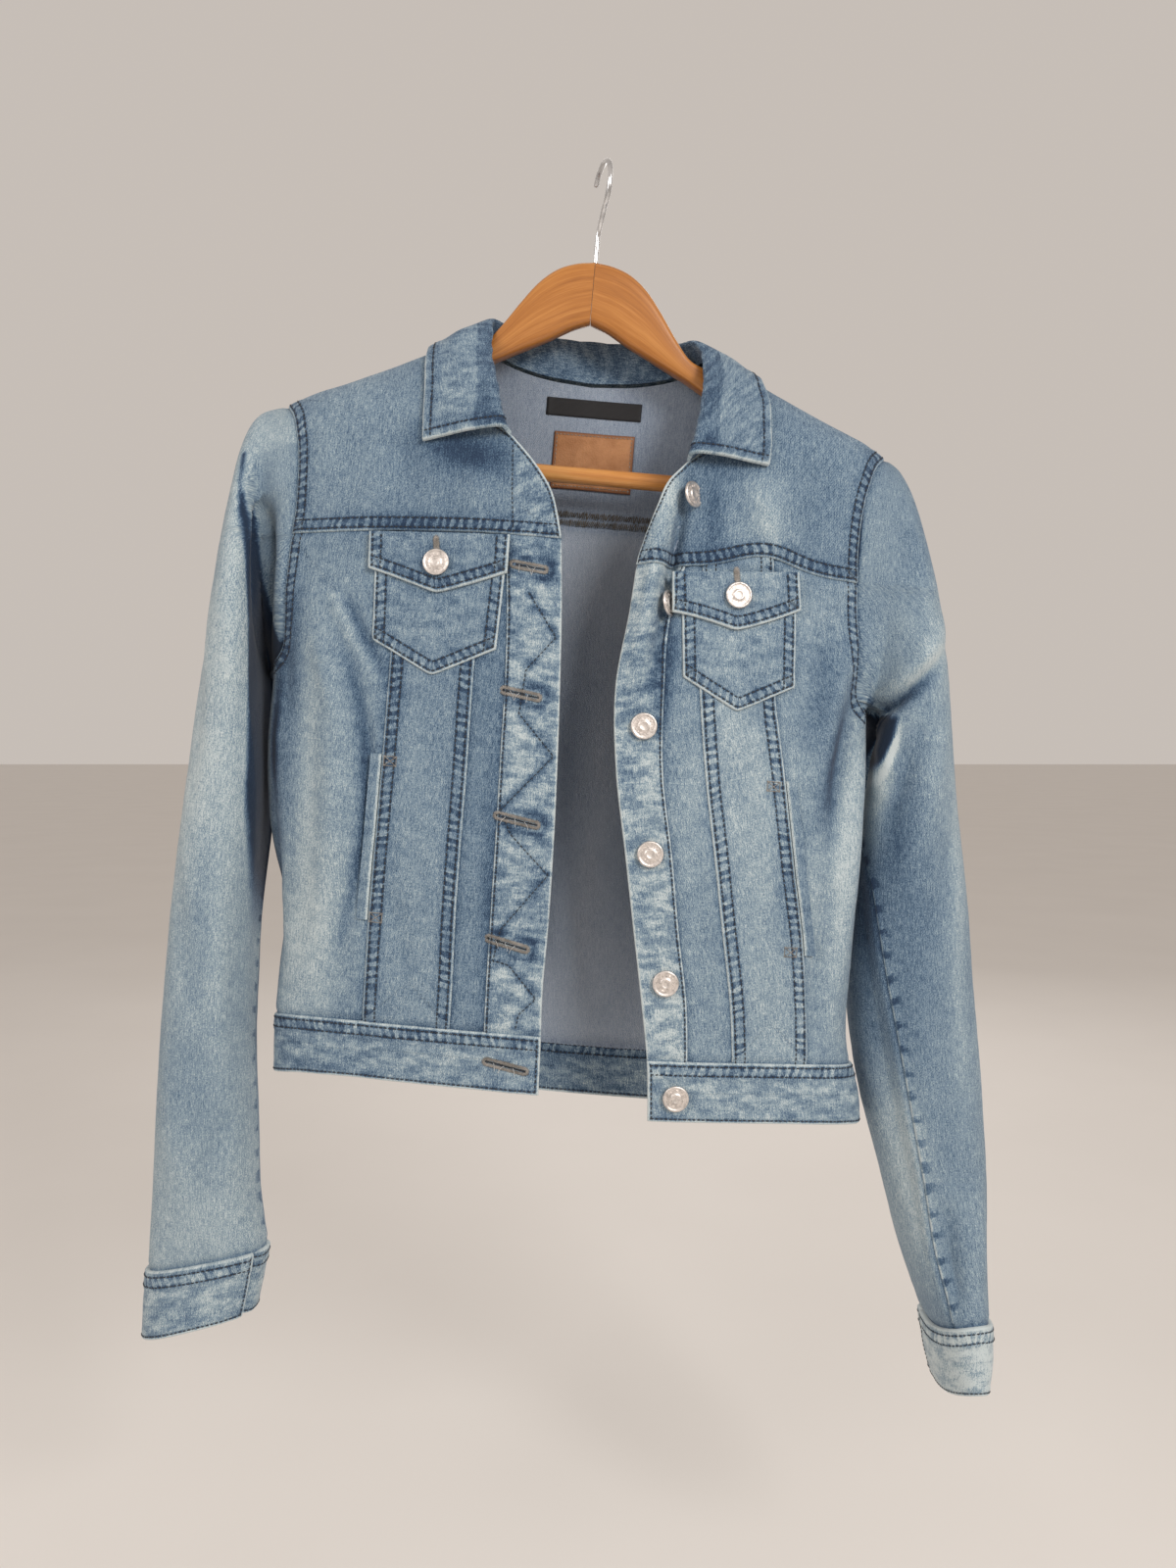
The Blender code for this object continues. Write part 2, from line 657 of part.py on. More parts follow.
def sleeve(side, turn, t):
    """Point of the sleeve with its folds."""
    def plain(a, b):
        return plain_sleeve(side, a * 100, b)

    point = plain_sleeve(side, turn, t)
    normal = outward(plain, turn / 100, t, ring_centre(SLEEVE[side], t))
    folds = SLEEVE_FOLDS[side]
    height = fold_height(point, SLEEVE_PATHS[side], folds["half"], folds["height"])
    return point + normal * (height * np.clip(t, 0, 1))[..., None]


def cuff(side, turn, v):
    """Point of the cuff: v is 0 at the sleeve and 1 at the cuff's edge."""
    return ring_point(CUFF[side], turn, 2 * v, 2.2 + 0 * v, CUFF_DIP[side])


def cuff_normal(side, turn, v):
    def place(a, b):
        return cuff(side, a * 100, b)

    return outward(place, turn / 100, v, ring_centre(CUFF[side], 2 * v))


def torso_normal(angle, down):
    along_angle = torso(angle + 2e-3, down) - torso(angle - 2e-3, down)
    along_down = torso(angle, down + 0.3) - torso(angle, down - 0.3)
    return unit(np.cross(along_down, along_angle))


def armhole_mitre(side, turns, back=False):
    """Direction in which the walls of body and sleeve are both offset at the armhole."""
    down = armhole_down(turns)
    body = torso_normal(armhole_angle(side, down, back), down)

    def plain(a, t):
        return plain_sleeve(side, a * 100, t)

    t = np.full(turns.shape, 0.12)
    arm = outward(plain, (-turns if back else turns) / 100, t, ring_centre(SLEEVE[side], t))
    middle = unit(body + arm)
    return middle / np.maximum(np.sum(middle * body, axis=-1, keepdims=True), LEAST_MITRE)


def edge_mitre(side, first_row, back, below):
    """The mitres of a side panel's outer edge: down the armhole, then the heights below it."""
    turns = ROW_TURN * np.arange(first_row, ROWS_TO_UNDERARM + 1)
    at_armhole = armhole_mitre(side, turns, back)
    angle = armhole_angle(side, below, back)
    return np.concatenate([at_armhole, torso_normal(angle, below)])


def neckline(station):
    """Point of the neck seam at each collar station: fronts up to the shoulders, and the back between."""
    points = []
    for s in station:
        if s <= 5:
            x, down = inner_edge(RIGHT, np.array(5.0 - s))
        elif s >= 11:
            x, down = inner_edge(LEFT, np.array(s - 11.0))
        else:
            x = BODY["centre"][0] + (s - 8) / 3 * NECK_HALF
            down = curve(NECK_BACK["out"], NECK_BACK["down"], np.abs(x - BODY["centre"][0]))
        points.append(torso(angle_at(x, down, back=5 < s < 11), down))
    return np.array(points)


def shoulder_normal(x, drop):
    """Outward normal of the body at a place given as for over_shoulder."""
    along_x = over_shoulder(x + 0.5, drop) - over_shoulder(x - 0.5, drop)
    along_drop = over_shoulder(x, drop + 0.05) - over_shoulder(x, drop - 0.05)
    found = unit(np.cross(along_x, along_drop))
    point = over_shoulder(x, drop)
    inside = point * np.array([1.0, 0.0, 1.0]) - np.array([0.0, 0.0, 25.0])
    away = np.sum(found * (point - inside), axis=-1, keepdims=True)
    return found * np.where(away < 0, -1.0, 1.0)


def kept_clear(points, front, least):
    """The points, pushed out where they come nearer to the body than least."""
    drop = np.sqrt(np.maximum(-points[:, 2] - ridge(points[:, 0]), 0)) * np.where(front, 1, -1)
    normal = shoulder_normal(points[:, 0], drop)
    clear = np.sum((points - over_shoulder(points[:, 0], drop)) * normal, axis=-1)
    return points + normal * np.maximum(least - clear, 0)[:, None]


def collar_profiles(station):
    """Control points across the collar at each station, from the neck seam over the fold to the edge."""
    fold_x, fold_y, fold_down, edge_x, edge_drop = (
        curve(COLLAR["station"], COLLAR[key], station) for key in list(COLLAR)[1:]
    )
    fold = np.stack([fold_x, fold_y, -fold_down], -1)
    seam = neckline(station)
    front = edge_drop > 0
    edge = over_shoulder(edge_x, edge_drop) + COLLAR_LIFT * shoulder_normal(edge_x, edge_drop)
    stand = unit(fold - seam)
    away = unit(shoulder_normal(edge_x, edge_drop) + np.array([0, 0, 0.3]))
    start = seam + stand * 1.9
    fold_in = fold - stand * 3.5
    fold_out = fold + unit(edge - fold) * 4.5 + away * 2.4
    inner_leaf = kept_clear(mix(fold_out, edge, 0.36) + away * 1.6, front, COLLAR_LIFT + 1.4)
    outer_leaf = kept_clear(mix(fold_out, edge, 0.7) + away * 0.8, front, COLLAR_LIFT + 0.6)
    middle = mix(start, fold_in, 0.5)
    return np.stack([start, middle, fold_in, fold, fold_out, inner_leaf, outer_leaf, edge], 1)


def world(points):
    """From the jacket's frame in millimetres to the tilted one in metres."""
    x = points[..., 0] * math.cos(TILT) + points[..., 2] * math.sin(TILT)
    z = points[..., 2] * math.cos(TILT) - points[..., 0] * math.sin(TILT)
    return np.stack([x, points[..., 1], z], -1) * MM


def material(name, colour, roughness, metallic):
    made = bpy.data.materials.new(name)
    made.use_nodes = True
    shader = made.node_tree.nodes["Principled BSDF"]
    shader.inputs["Base Color"].default_value = (*colour, 1)
    shader.inputs["Roughness"].default_value = roughness
    shader.inputs["Metallic"].default_value = metallic
    return made


def solid(name, points, faces, colour, roughness=0.85, metallic=0.0):
    """A closed mesh object, turned so that its faces point out."""
    points = world(np.asarray(points, float))
    triangles = np.array([(f[0], f[i], f[i + 1]) for f in faces for i in range(1, len(f) - 1)])
    corners = points[triangles]
    if np.sum(corners[:, 0] * np.cross(corners[:, 1], corners[:, 2])) < 0:
        triangles = triangles[:, ::-1]
    mesh = bpy.data.meshes.new(name)
    mesh.from_pydata(points.tolist(), [], triangles.tolist())
    mesh.materials.append(material(name, colour, roughness, metallic))
    mesh.shade_smooth()
    mesh.set_sharp_from_angle(angle=math.radians(40))
    made = bpy.data.objects.new(name, mesh)
    bpy.context.scene.collection.objects.link(made)
    return made


# The sides of a grid of points, n the first row: each with the line next to it.
ALL = slice(None)
EDGES = {"n": (0, 1), "s": (-1, -2), "w": ((ALL, 0), (ALL, 1)), "e": ((ALL, -1), (ALL, -2))}


def grid_faces(rows, columns, start=0, turned=False):
    """Quads of a grid of points, in rows."""
    faces = []
    for i in range(rows - 1):
        for j in range(columns - 1):
            a = start + i * columns + j
            quad = (a, a + 1, a + columns + 1, a + columns)
            faces.append(quad[::-1] if turned else quad)
    return faces


def wall(name, outer, inner, colour, roughness=0.85):
    """A cloth piece: two grids of points joined round their rims."""
    rows, columns = outer.shape[:2]
    count = rows * columns
    faces = grid_faces(rows, columns) + grid_faces(rows, columns, count, True)
    rim = [(0, j) for j in range(columns)] + [(i, columns - 1) for i in range(1, rows)]
    rim += [(rows - 1, j) for j in range(columns - 2, -1, -1)] + [(i, 0) for i in range(rows - 2, 0, -1)]
    for (i, j), (k, m) in zip(rim, rim[1:] + rim[:1]):
        a = i * columns + j
        b = k * columns + m
        faces.append((b, a, count + a, count + b))
    points = np.concatenate([outer.reshape(-1, 3), inner.reshape(-1, 3)])
    return solid(name, points, faces, colour, roughness)


def drawn_in(points, amount, sides, mitres):
    """The grid with its named sides moved in along the cloth, further where a seam is mitred."""
    points = points.copy()
    for side in sides:
        edge, next_in = EDGES[side]
        run = unit(points[next_in] - points[edge])
        length = np.linalg.norm(mitres[side], axis=-1, keepdims=True) if side in mitres else 1.0
        points[edge] += run * amount * np.where(length > 1, 1.3 * length, 1.0)
    return points


def cloth(name, place, us, vs, centre, colour, thickness=CLOTH, mitres=None, gap=GAP):
    """The wall of a piece whose middle surface is place(u, v)."""
    mitres = mitres or {}
    u, v = np.meshgrid(np.asarray(us, float), np.asarray(vs, float))
    middle = drawn_in(place(u, v), gap / 2, EDGES, mitres)
    normal = outward(place, u, v, centre(u, v) if callable(centre) else centre)
    for side, shared in mitres.items():
        normal[EDGES[side][0]] = shared
    return wall(name, middle + normal * thickness / 2, middle - normal * thickness / 2, colour)


def body_axis(z=-300.0):
    return np.array([BODY["centre"][0] + 6, -6.0, z])


def even(count):
    return np.linspace(0, 1, count + 1)


def rows_below(side, first_row):
    """Heights along the side, at the armhole's rows and then down to the hem band, and their shares."""
    at_armhole = armhole_down(ROW_TURN * np.arange(first_row, ROWS_TO_UNDERARM + 1))
    below = np.append(BELOW_ARM, hem_down(FRONT[side]["sign"] * math.pi / 2, "seam"))
    heights = np.concatenate([at_armhole, below])
    return below, (heights - heights[0]) / (heights[-1] - heights[0])


def build_fronts():
    yoke_columns = {
        RIGHT: (0, 0.08, 0.16, 0.25, 0.36, 0.48, 0.6, 0.72, 0.83, 0.92, 1),
        LEFT: (0, 0.03, 0.06, 0.09, 0.12, 0.15, 0.19, 0.25, 0.34, 0.45, 0.57, 0.69, 0.81, 0.91, 1),
    }
    high = np.array([4.0, 0.0, -250.0])
    for side in (RIGHT, LEFT):
        rows = np.arange(ROWS_TO_YOKE + 1, dtype=float)
        mitres = {"e": armhole_mitre(side, ROW_TURN * rows)}
        cloth(f"front_yoke_{side}", lambda u, v, s=side: front_yoke(s, u, v), yoke_columns[side], rows,
              high, DENIM, mitres=mitres)
        lines = [seam_angle(side, key) for key in ("edge", "placket", "inner", "outer")]
        lines.append(side_angle(side))
        names = ("placket" if side == RIGHT else "button_band", "front_centre", "front_mid", "front_side")
        columns = (4 if side == RIGHT else 8, 3, 4, 7)
        colours = (DENIM_LIGHT, DENIM_DARK, DENIM, DENIM)
        below, shares = rows_below(side, ROWS_TO_YOKE)
        for i, name in enumerate(names):
            mitres = {"e": edge_mitre(side, ROWS_TO_YOKE, False, below)} if i == 3 else {}
            place = panel(side, lines[i], lines[i + 1], at_arm=i == 3)
            cloth(f"{name}_{side}", place, even(columns[i]), shares, body_axis(), colours[i],
                  mitres=mitres)
        cloth(f"hem_band_{side}", band(lines[0], side_angle(side)), even(16), even(2),
              body_axis(-600), DENIM_LIGHT, DOUBLE)


def build_back():
    neck = NECK_HALF / 201
    columns = 0.5 + 0.5 * np.array([-1, -0.85, -0.7, -0.53, -neck, -0.31, -0.2, -0.1, 0,
                                    0.1, 0.2, 0.31, neck, 0.53, 0.7, 0.85, 1])
    rows = np.arange(ROWS_TO_BACK_YOKE + 1, dtype=float)
    mitres = {"w": armhole_mitre(RIGHT, ROW_TURN * rows, True),
              "e": armhole_mitre(LEFT, ROW_TURN * rows, True)}
    cloth("back_yoke", back_yoke, columns, rows, np.array([4.0, 0.0, -250.0]), DENIM, mitres=mitres)
    for side in (RIGHT, LEFT):
        place = panel(side, princess_angle(side), side_angle(side, True), True, True)
        below, shares = rows_below(side, ROWS_TO_BACK_YOKE)
        mitres = {"e": edge_mitre(side, ROWS_TO_BACK_YOKE, True, below)}
        cloth(f"back_side_{side}", place, even(7), shares, body_axis(), DENIM, mitres=mitres)
    right = princess_angle(RIGHT)
    left = princess_angle(LEFT)
    cloth("back_centre", panel(LEFT, lambda d: right(d) + 2 * math.pi, left, True), even(8), shares,
          body_axis(), DENIM)
    right_side, left_side = side_angle(RIGHT, True), side_angle(LEFT, True)
    cloth("hem_band_back", band(lambda d: right_side(d) + 2 * math.pi, left_side), even(20),
          even(2), body_axis(-600), DENIM_LIGHT, DOUBLE)


def build_sleeves():
    last = len(SLEEVE[RIGHT]["y"]) - 1
    rings = range(last + 1)
    for side in (RIGHT, LEFT):
        at_arm, at_cuff = UNDER_SEAM[side]
        spans = {
            "top": ((BACK_SEAM, BACK_SEAM), (at_arm, at_cuff)),
            "under": ((at_arm, at_cuff), (BACK_SEAM + 360, BACK_SEAM + 360)),
        }
        for name, (start, end) in spans.items():
            def place(u, t, s=side, a=start, b=end):
                return sleeve(s, mix(mix(a[0], a[1], t / last), mix(b[0], b[1], t / last), u), t)

            count = round((end[0] - start[0]) / ROW_TURN)
            turns = (start[0] + ROW_TURN * np.arange(count + 1) + 180) % 360 - 180
            front = armhole_mitre(side, np.abs(turns))
            behind = armhole_mitre(side, np.abs(turns), True)
            mitres = {"n": np.where((turns >= 0)[:, None], front, behind)}
            cloth(f"sleeve_{name}_{side}", place, even(count), rings,
                  lambda u, t, s=side: ring_centre(SLEEVE[s], t), DENIM, mitres=mitres, gap=SLEEVE_GAP)
        build_cuff(side, CUFF_VENT[side])


def build_cuff(side, vent):
    """The cuff goes once round, then steps in and runs on under its own end."""
    past_vent = np.concatenate([np.linspace(0, 18, 3), np.linspace(CUFF_UNDERLAP, 360, 34),
                                np.linspace(366, 360 + CUFF_UNDERLAP, 3)])
    tuck = np.interp(past_vent, [346, 360], [0, UNDERLAP_TUCK])[:, None]
    u, v = np.meshgrid(vent - past_vent, np.array([0, 0.25, 1.0]))
    normal = cuff_normal(side, u, v)
    middle = drawn_in(cuff(side, u, v), GAP, "n", {})
    wall(f"cuff_{side}", middle + normal * (tuck + DOUBLE / 2), middle + normal * (tuck - DOUBLE / 2),
         DENIM_LIGHT)


def build_collar():
    station = np.linspace(0, STATIONS, 29)
    control = collar_profiles(station)
    controls = np.arange(control.shape[1], dtype=float)
    across = np.array([0, 1, 2, 2.5, 3, 3.5, 4, 4.7, 5.4, 6.2, 7])

    def place(u, v):
        """Point across the collar at control number u, at station v."""
        points = np.zeros(u.shape + (3,))
        for axis in range(3):
            for i in range(u.shape[0]):
                profiles = np.array([curve(controls, row, u[i]) for row in control[:, :, axis]])
                for j in range(u.shape[1]):
                    points[i, j, axis] = curve(station, profiles[:, j], v[i, j])
        return points

    u, v = np.meshgrid(across, station)
    middle = place(u, v)
    normal = normals(place, np.clip(u, 0.01, 6.99), np.clip(v, 0.01, STATIONS - 0.01), 5e-3)
    wall("collar", middle - normal * DOUBLE / 2, middle + normal * DOUBLE / 2, DENIM_LIGHT)


def lying(name, x, down, bottom, thickness, colour, back=False, roughness=0.85):
    """A piece that lies on the body, its under face `bottom` above the body's middle surface."""
    angle = angle_at(x, down, back)
    low = torso(angle, down) + torso_normal(angle, down) * bottom
    high = low + torso_normal(angle, down) * thickness
    return wall(name, high, low, colour, roughness)


def build_pockets():
    for side in (RIGHT, LEFT):
        sizes = POCKET[side]
        u, v = np.meshgrid(POCKET_COLUMNS, even(7))
        tip = 1 - np.abs(2 * u - 1)
        x_first, x_last, top = sizes["top"]
        low_first, low_last, corner, point = sizes["low"]
        x = mix(mix(x_first, x_last, u), mix(low_first, low_last, u), v)
        down = mix(top, mix(corner, point, tip), v)
        lying(f"chest_pocket_{side}", x, down, CLOTH / 2 + POCKET_REST, CLOTH, DENIM_LIGHT)
        u, v = np.meshgrid(even(8), even(3))
        tip = 1 - np.abs(2 * u - 1)
        x_first, x_last, top_first, top_last = sizes["flap"]
        low_first, low_last, corner_first, corner_last, point = sizes["flap_low"]
        x = mix(mix(x_first, x_last, u), mix(low_first, low_last, u), v)
        top = mix(top_first, top_last, u)
        corner = mix(corner_first, corner_last, u)
        down = mix(top, mix(corner, point, tip), v)
        bottom = CLOTH / 2 + POCKET_REST + CLOTH + REST
        lying(f"pocket_flap_{side}", x, down, bottom, DOUBLE, DENIM_LIGHT)
        flap_top = bottom + DOUBLE
        button(f"flap_button_{side}", *sizes["button"], flap_top)
        first, last = WELT[side]
        u, v = np.meshgrid(even(2), even(12))
        down = mix(first, last, v)
        seams = FRONT[side]["seams"]
        line = curve(seams["down"], seams["outer"], down)
        x = line + FRONT[side]["sign"] * (1.0 + WELT_WIDTH * u)
        lying(f"side_pocket_welt_{side}", x, down, CLOTH / 2 + POCKET_REST, WELT_THICKNESS, DENIM_LIGHT)


def rod_faces(rings, sides):
    """Faces of a closed rod: rings of points joined in order, and an end face on each end."""
    faces = []
    for i in range(rings - 1):
        for k in range(sides):
            a = i * sides + k
            b = i * sides + (k + 1) % sides
            faces.append((a, b, b + sides, a + sides))
    faces.append(tuple(range(sides))[::-1])
    faces.append(tuple(range((rings - 1) * sides, rings * sides)))
    return faces


def button(name, x, down, above):
    """A button on the front of the body, its neck `above` the middle surface."""
    angle = angle_at(np.array([float(x)]), np.array([float(down)]))
    normal = torso_normal(angle, float(down))[0]
    turned_button(name, torso(angle, float(down))[0] + normal * (above + BUTTON_REST), normal)


def turned_button(name, base, normal):
    side = unit(np.cross(normal, np.array([0.0, 0.3, 1.0])))
    other = np.cross(normal, side)
    points = []
    for radius, height in BUTTON_PROFILE:
        for k in range(BUTTON_SIDES):
            turn = 2 * math.pi * k / BUTTON_SIDES
            points.append(base + normal * height + radius * (math.cos(turn) * side + math.sin(turn) * other))
    solid(name, points, rod_faces(len(BUTTON_PROFILE), BUTTON_SIDES), SILVER, 0.3, 1.0)


def build_buttons():
    for i, (x, down) in enumerate(zip(BAND_BUTTONS["x"], BAND_BUTTONS["down"]), 1):
        thickness = DOUBLE if down > NEAR_HEM else CLOTH
        button(f"front_button_{i}", x, down, thickness / 2)
    for side in (RIGHT, LEFT):
        turn, middle = np.array([CUFF_BUTTON[side]]), np.array([0.55])
        normal = cuff_normal(side, turn, middle)[0]
        base = cuff(side, turn, middle)[0] + normal * (DOUBLE / 2 + BUTTON_REST)
        turned_button(f"cuff_button_{side}", base, normal)


def build_labels():
    for name, sizes, thickness, colour, gap in (
        ("label_woven", LABEL_WOVEN, 0.8, BLACK, 0.45),
        ("label_patch", LABEL_PATCH, 1.4, LEATHER, 0.8),
    ):
        first, last, top, bottom = sizes
        u, v = np.meshgrid(even(6), even(3))
        low = -(CLOTH / 2 + gap + thickness)
        lying(name, mix(first, last, u), mix(top, bottom, v), low, thickness, colour, True, 0.7)


def build_hanger():
    half = WOOD_THICKNESS / 2
    x = np.concatenate([np.linspace(HANGER["x"][0], HANGER["x"][7], 13), HANGER["x"][8:]])
    top = curve(HANGER["x"], HANGER["top"], x)
    smooth = HANGER["x"] <= HOOKED_END
    bottom = np.where(x > HOOKED_END, np.interp(x, HANGER["x"], HANGER["bottom"]),
                      curve(HANGER["x"][smooth], HANGER["bottom"][smooth], x))
    for side in (RIGHT, LEFT):
        sign = FRONT[side]["sign"]
        points = []
        for along, high, low in zip(x, top, bottom):
            crown = min(WOOD_TOP_EDGE, (low - high) / 3)
            edge = min(WOOD_LOW_EDGE, (low - high) / 3)
            for y, z in ((half - crown, -high), (half, -high - crown), (half, -low + edge),
                         (half - edge, -low), (edge - half, -low), (-half, -low + edge),
                         (-half, -high - crown), (crown - half, -high)):
                points.append((sign * along, y, z))
        arm = solid(f"hanger_arm_{side}", points, rod_faces(len(x), 8), WOOD, 0.35)
        cut_bore(arm)
    bar = []
    for along in (-BAR_HALF, BAR_HALF):
        for k in range(BAR_SIDES):
            turn = 2 * math.pi * k / BAR_SIDES
            bar.append((along, BAR_RADIUS * math.cos(turn), -BAR_DOWN + BAR_RADIUS * math.sin(turn)))
    solid("hanger_bar", bar, rod_faces(2, BAR_SIDES), WOOD, 0.35)


def cut_bore(arm):
    """The hole that the hook's stem is screwed into."""
    radius = WIRE_RADIUS + GAP
    points = []
    for down in (STEM_BOTTOM + 1.0, BORE_TOP):
        for k in range(BORE_SIDES):
            turn = 2 * math.pi * (k + 0.5) / BORE_SIDES
            points.append((radius * math.cos(turn), radius * math.sin(turn), -down))
    cutter = solid(f"bore_{arm.name}", points, rod_faces(2, BORE_SIDES), CHROME)
    cutter.hide_render = True
    cutter.display_type = "WIRE"
    cut = arm.modifiers.new("bore", "BOOLEAN")
    cut.operation = "DIFFERENCE"
    cut.solver = "EXACT"
    cut.object = cutter


def build_hook():
    """Wire hook: a loop over the top, an open bend and a straight stem."""
    centre = -HOOK_RADIUS + WIRE_RADIUS
    turns = np.radians(np.linspace(HOOK_TIP, HOOK_END, 22))
    loop = [(HOOK_RADIUS * math.cos(a), centre + HOOK_RADIUS * math.sin(a)) for a in turns]
    stem = [*HOOK_BEND, (0, -STEM_BOTTOM)]
    route = [(p * math.cos(HOOK_TURN), -p * math.sin(HOOK_TURN), z) for p, z in loop + stem]
    line = bpy.data.curves.new("hanger_hook", "CURVE")
    line.dimensions = "3D"
    line.bevel_depth = WIRE_RADIUS * MM
    line.bevel_resolution = 2
    line.use_fill_caps = True
    spline = line.splines.new("POLY")
    spline.points.add(len(route) - 1)
    for point, place in zip(spline.points, world(np.array(route))):
        point.co = (*place, 1)
    line.materials.append(material("hanger_hook", CHROME, 0.15, 1.0))
    made = bpy.data.objects.new("hanger_hook", line)
    bpy.context.scene.collection.objects.link(made)


def main():
    for thing in list(bpy.data.objects):
        bpy.data.objects.remove(thing)
    build_fronts()
    build_back()
    build_sleeves()
    build_collar()
    build_pockets()
    build_buttons()
    build_labels()
    build_hanger()
    build_hook()


main()
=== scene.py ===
# %% [markdown]
# # A denim jacket on a wooden hanger
# A short, washed denim jacket hangs open on a varnished wooden hanger. The solid model gives its size
# and its place, and this lesson makes it look like cloth, thread, metal and wood. The solids are loaded
# first, because every piece below is drawn in their frame: metres, with the origin inside the top of
# the hook.

# %% Load the solid model
import itertools
import json
import math

import bpy
import numpy as np
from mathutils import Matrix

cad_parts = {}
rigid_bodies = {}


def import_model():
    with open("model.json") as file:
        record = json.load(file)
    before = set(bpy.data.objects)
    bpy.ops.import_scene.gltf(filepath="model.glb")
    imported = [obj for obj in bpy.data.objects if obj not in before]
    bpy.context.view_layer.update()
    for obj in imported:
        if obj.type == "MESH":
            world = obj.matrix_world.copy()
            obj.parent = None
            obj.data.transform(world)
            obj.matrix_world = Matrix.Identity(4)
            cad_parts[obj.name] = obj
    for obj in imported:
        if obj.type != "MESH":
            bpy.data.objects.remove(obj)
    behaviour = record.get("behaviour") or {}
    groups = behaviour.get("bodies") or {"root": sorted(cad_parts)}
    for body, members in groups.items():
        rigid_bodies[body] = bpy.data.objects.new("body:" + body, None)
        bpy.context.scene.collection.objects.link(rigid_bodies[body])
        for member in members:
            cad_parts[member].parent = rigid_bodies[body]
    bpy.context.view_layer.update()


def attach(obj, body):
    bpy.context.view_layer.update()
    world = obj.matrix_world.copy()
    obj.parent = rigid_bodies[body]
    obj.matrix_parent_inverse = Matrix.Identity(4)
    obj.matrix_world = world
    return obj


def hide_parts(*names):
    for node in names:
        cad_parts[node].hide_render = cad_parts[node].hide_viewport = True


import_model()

# %% [markdown]
# ## Camera
# A jacket is usually shown from straight ahead at chest height, so that both shoulders and both cuffs
# are in the picture. The camera stands close and looks down by two degrees. A wide lens makes the hem
# and the sleeves spread a little, as they do for the eye at arm's length.

# %% Place the camera
EYE = (-0.0106, -0.80, -0.3815)
LOOK_DOWN = math.radians(2.2)
LENS, FILM_WIDTH = 36.06, 36.0  # mm

scene = bpy.context.scene


def add_object(name, data):
    """A new object in the scene."""
    made = bpy.data.objects.new(name, data)
    scene.collection.objects.link(made)
    return made


camera = add_object("camera", bpy.data.cameras.new("camera"))
camera.data.sensor_fit = "HORIZONTAL"
camera.data.sensor_width = FILM_WIDTH
camera.data.lens = LENS
camera.location = EYE
camera.rotation_euler = (math.pi / 2 - LOOK_DOWN, 0.0, 0.0)
scene.camera = camera
print("camera:", EYE, "lens", camera.data.lens, "mm")

# %% [markdown]
# ## Material helpers
# A material in Blender is a graph of small nodes. A few helpers keep the graphs below readable: they add a
# node and fill or link its sockets, do sums with values that change over the surface, and turn a value
# into a colour.

# %% Helpers for node graphs
def fill(tree, node, inputs):
    """Links each input that is given a socket, and sets any other."""
    for key, value in inputs.items():
        if isinstance(value, bpy.types.NodeSocket):
            tree.links.new(value, node.inputs[key])
        else:
            node.inputs[key].default_value = value


def put(tree, kind, inputs=None, **settings):
    """A new node with its settings and inputs."""
    made = tree.nodes.new(kind)
    for key, value in settings.items():
        setattr(made, key, value)
    fill(tree, made, inputs or {})
    return made


def calc(tree, operation, *values):
    """Result of one sum."""
    return put(tree, "ShaderNodeMath", dict(enumerate(values)), operation=operation).outputs[0]


def chain(tree, operation, values):
    """Result of the same sum with one value after another."""
    result = values[0]
    for value in values[1:]:
        result = calc(tree, operation, result, value)
    return result


def total(tree, *values):
    return chain(tree, "ADD", values)


def product(tree, *values):
    return chain(tree, "MULTIPLY", values)


def less(tree, value, amount):
    return calc(tree, "SUBTRACT", value, amount)


def blend(tree, factor, first, second):
    """A colour mixed with another one that comes from a socket."""
    made = put(tree, "ShaderNodeMix", {0: factor, 6: (*first, 1.0), 7: second}, data_type="RGBA")
    return made.outputs[2]


def ramp(tree, factor, *stops):
    """Colour that changes along the stops (place, colour)."""
    made = put(tree, "ShaderNodeValToRGB", {0: factor})
    band = made.color_ramp
    while len(band.elements) < len(stops):
        band.elements.new(0.5)
    for element, (place, colour) in zip(band.elements, stops):
        element.position = place
        element.color = (*colour, 1.0)
    return made.outputs[0]


def noise(tree, where, scale, detail=2.0, roughness=0.5, stretch=(1.0, 1.0, 1.0), shift=(0.0, 0.0, 0.0)):
    """Soft noise; stretch squeezes it along an axis."""
    placed = put(tree, "ShaderNodeMapping", {"Vector": where, "Scale": stretch, "Location": shift})
    made = put(tree, "ShaderNodeTexNoise", {"Vector": placed.outputs[0], "Scale": scale,
                                            "Detail": detail, "Roughness": roughness})
    return made.outputs[0]


def object_place(tree):
    """The place of each point, in metres."""
    return put(tree, "ShaderNodeTexCoord").outputs["Object"]


def piece_place(tree):
    """The place on the flat piece, in metres across and along."""
    return put(tree, "ShaderNodeUVMap", uv_map="UVMap").outputs[0]


def new_material(name):
    """A material, its tree and its shader."""
    made = bpy.data.materials.new(name)
    made.use_nodes = True
    return made, made.node_tree, made.node_tree.nodes["Principled BSDF"]


def raise_surface(tree, shader, height, distance, strength=1.0):
    """Bump from a height, in metres."""
    bump = put(tree, "ShaderNodeBump", {"Height": height, "Distance": distance, "Strength": strength})
    fill(tree, shader, {"Normal": bump.outputs[0]})


print("material helpers ready")

# %% [markdown]
# ## Floor and light
# A pale floor and a pale sky of the same warm white keep the attention on the jacket, and leave it free
# to be seen from behind. A soft lamp high on the right models the folds, and a weaker one on the left keeps
# the shadows open.

# %% Make the floor, the sky and the lamps
FLOOR_HEIGHT = -1.05
PALE = (0.66, 0.60, 0.55)
LAMP_TARGET = (0.0, 0.0, -0.4)


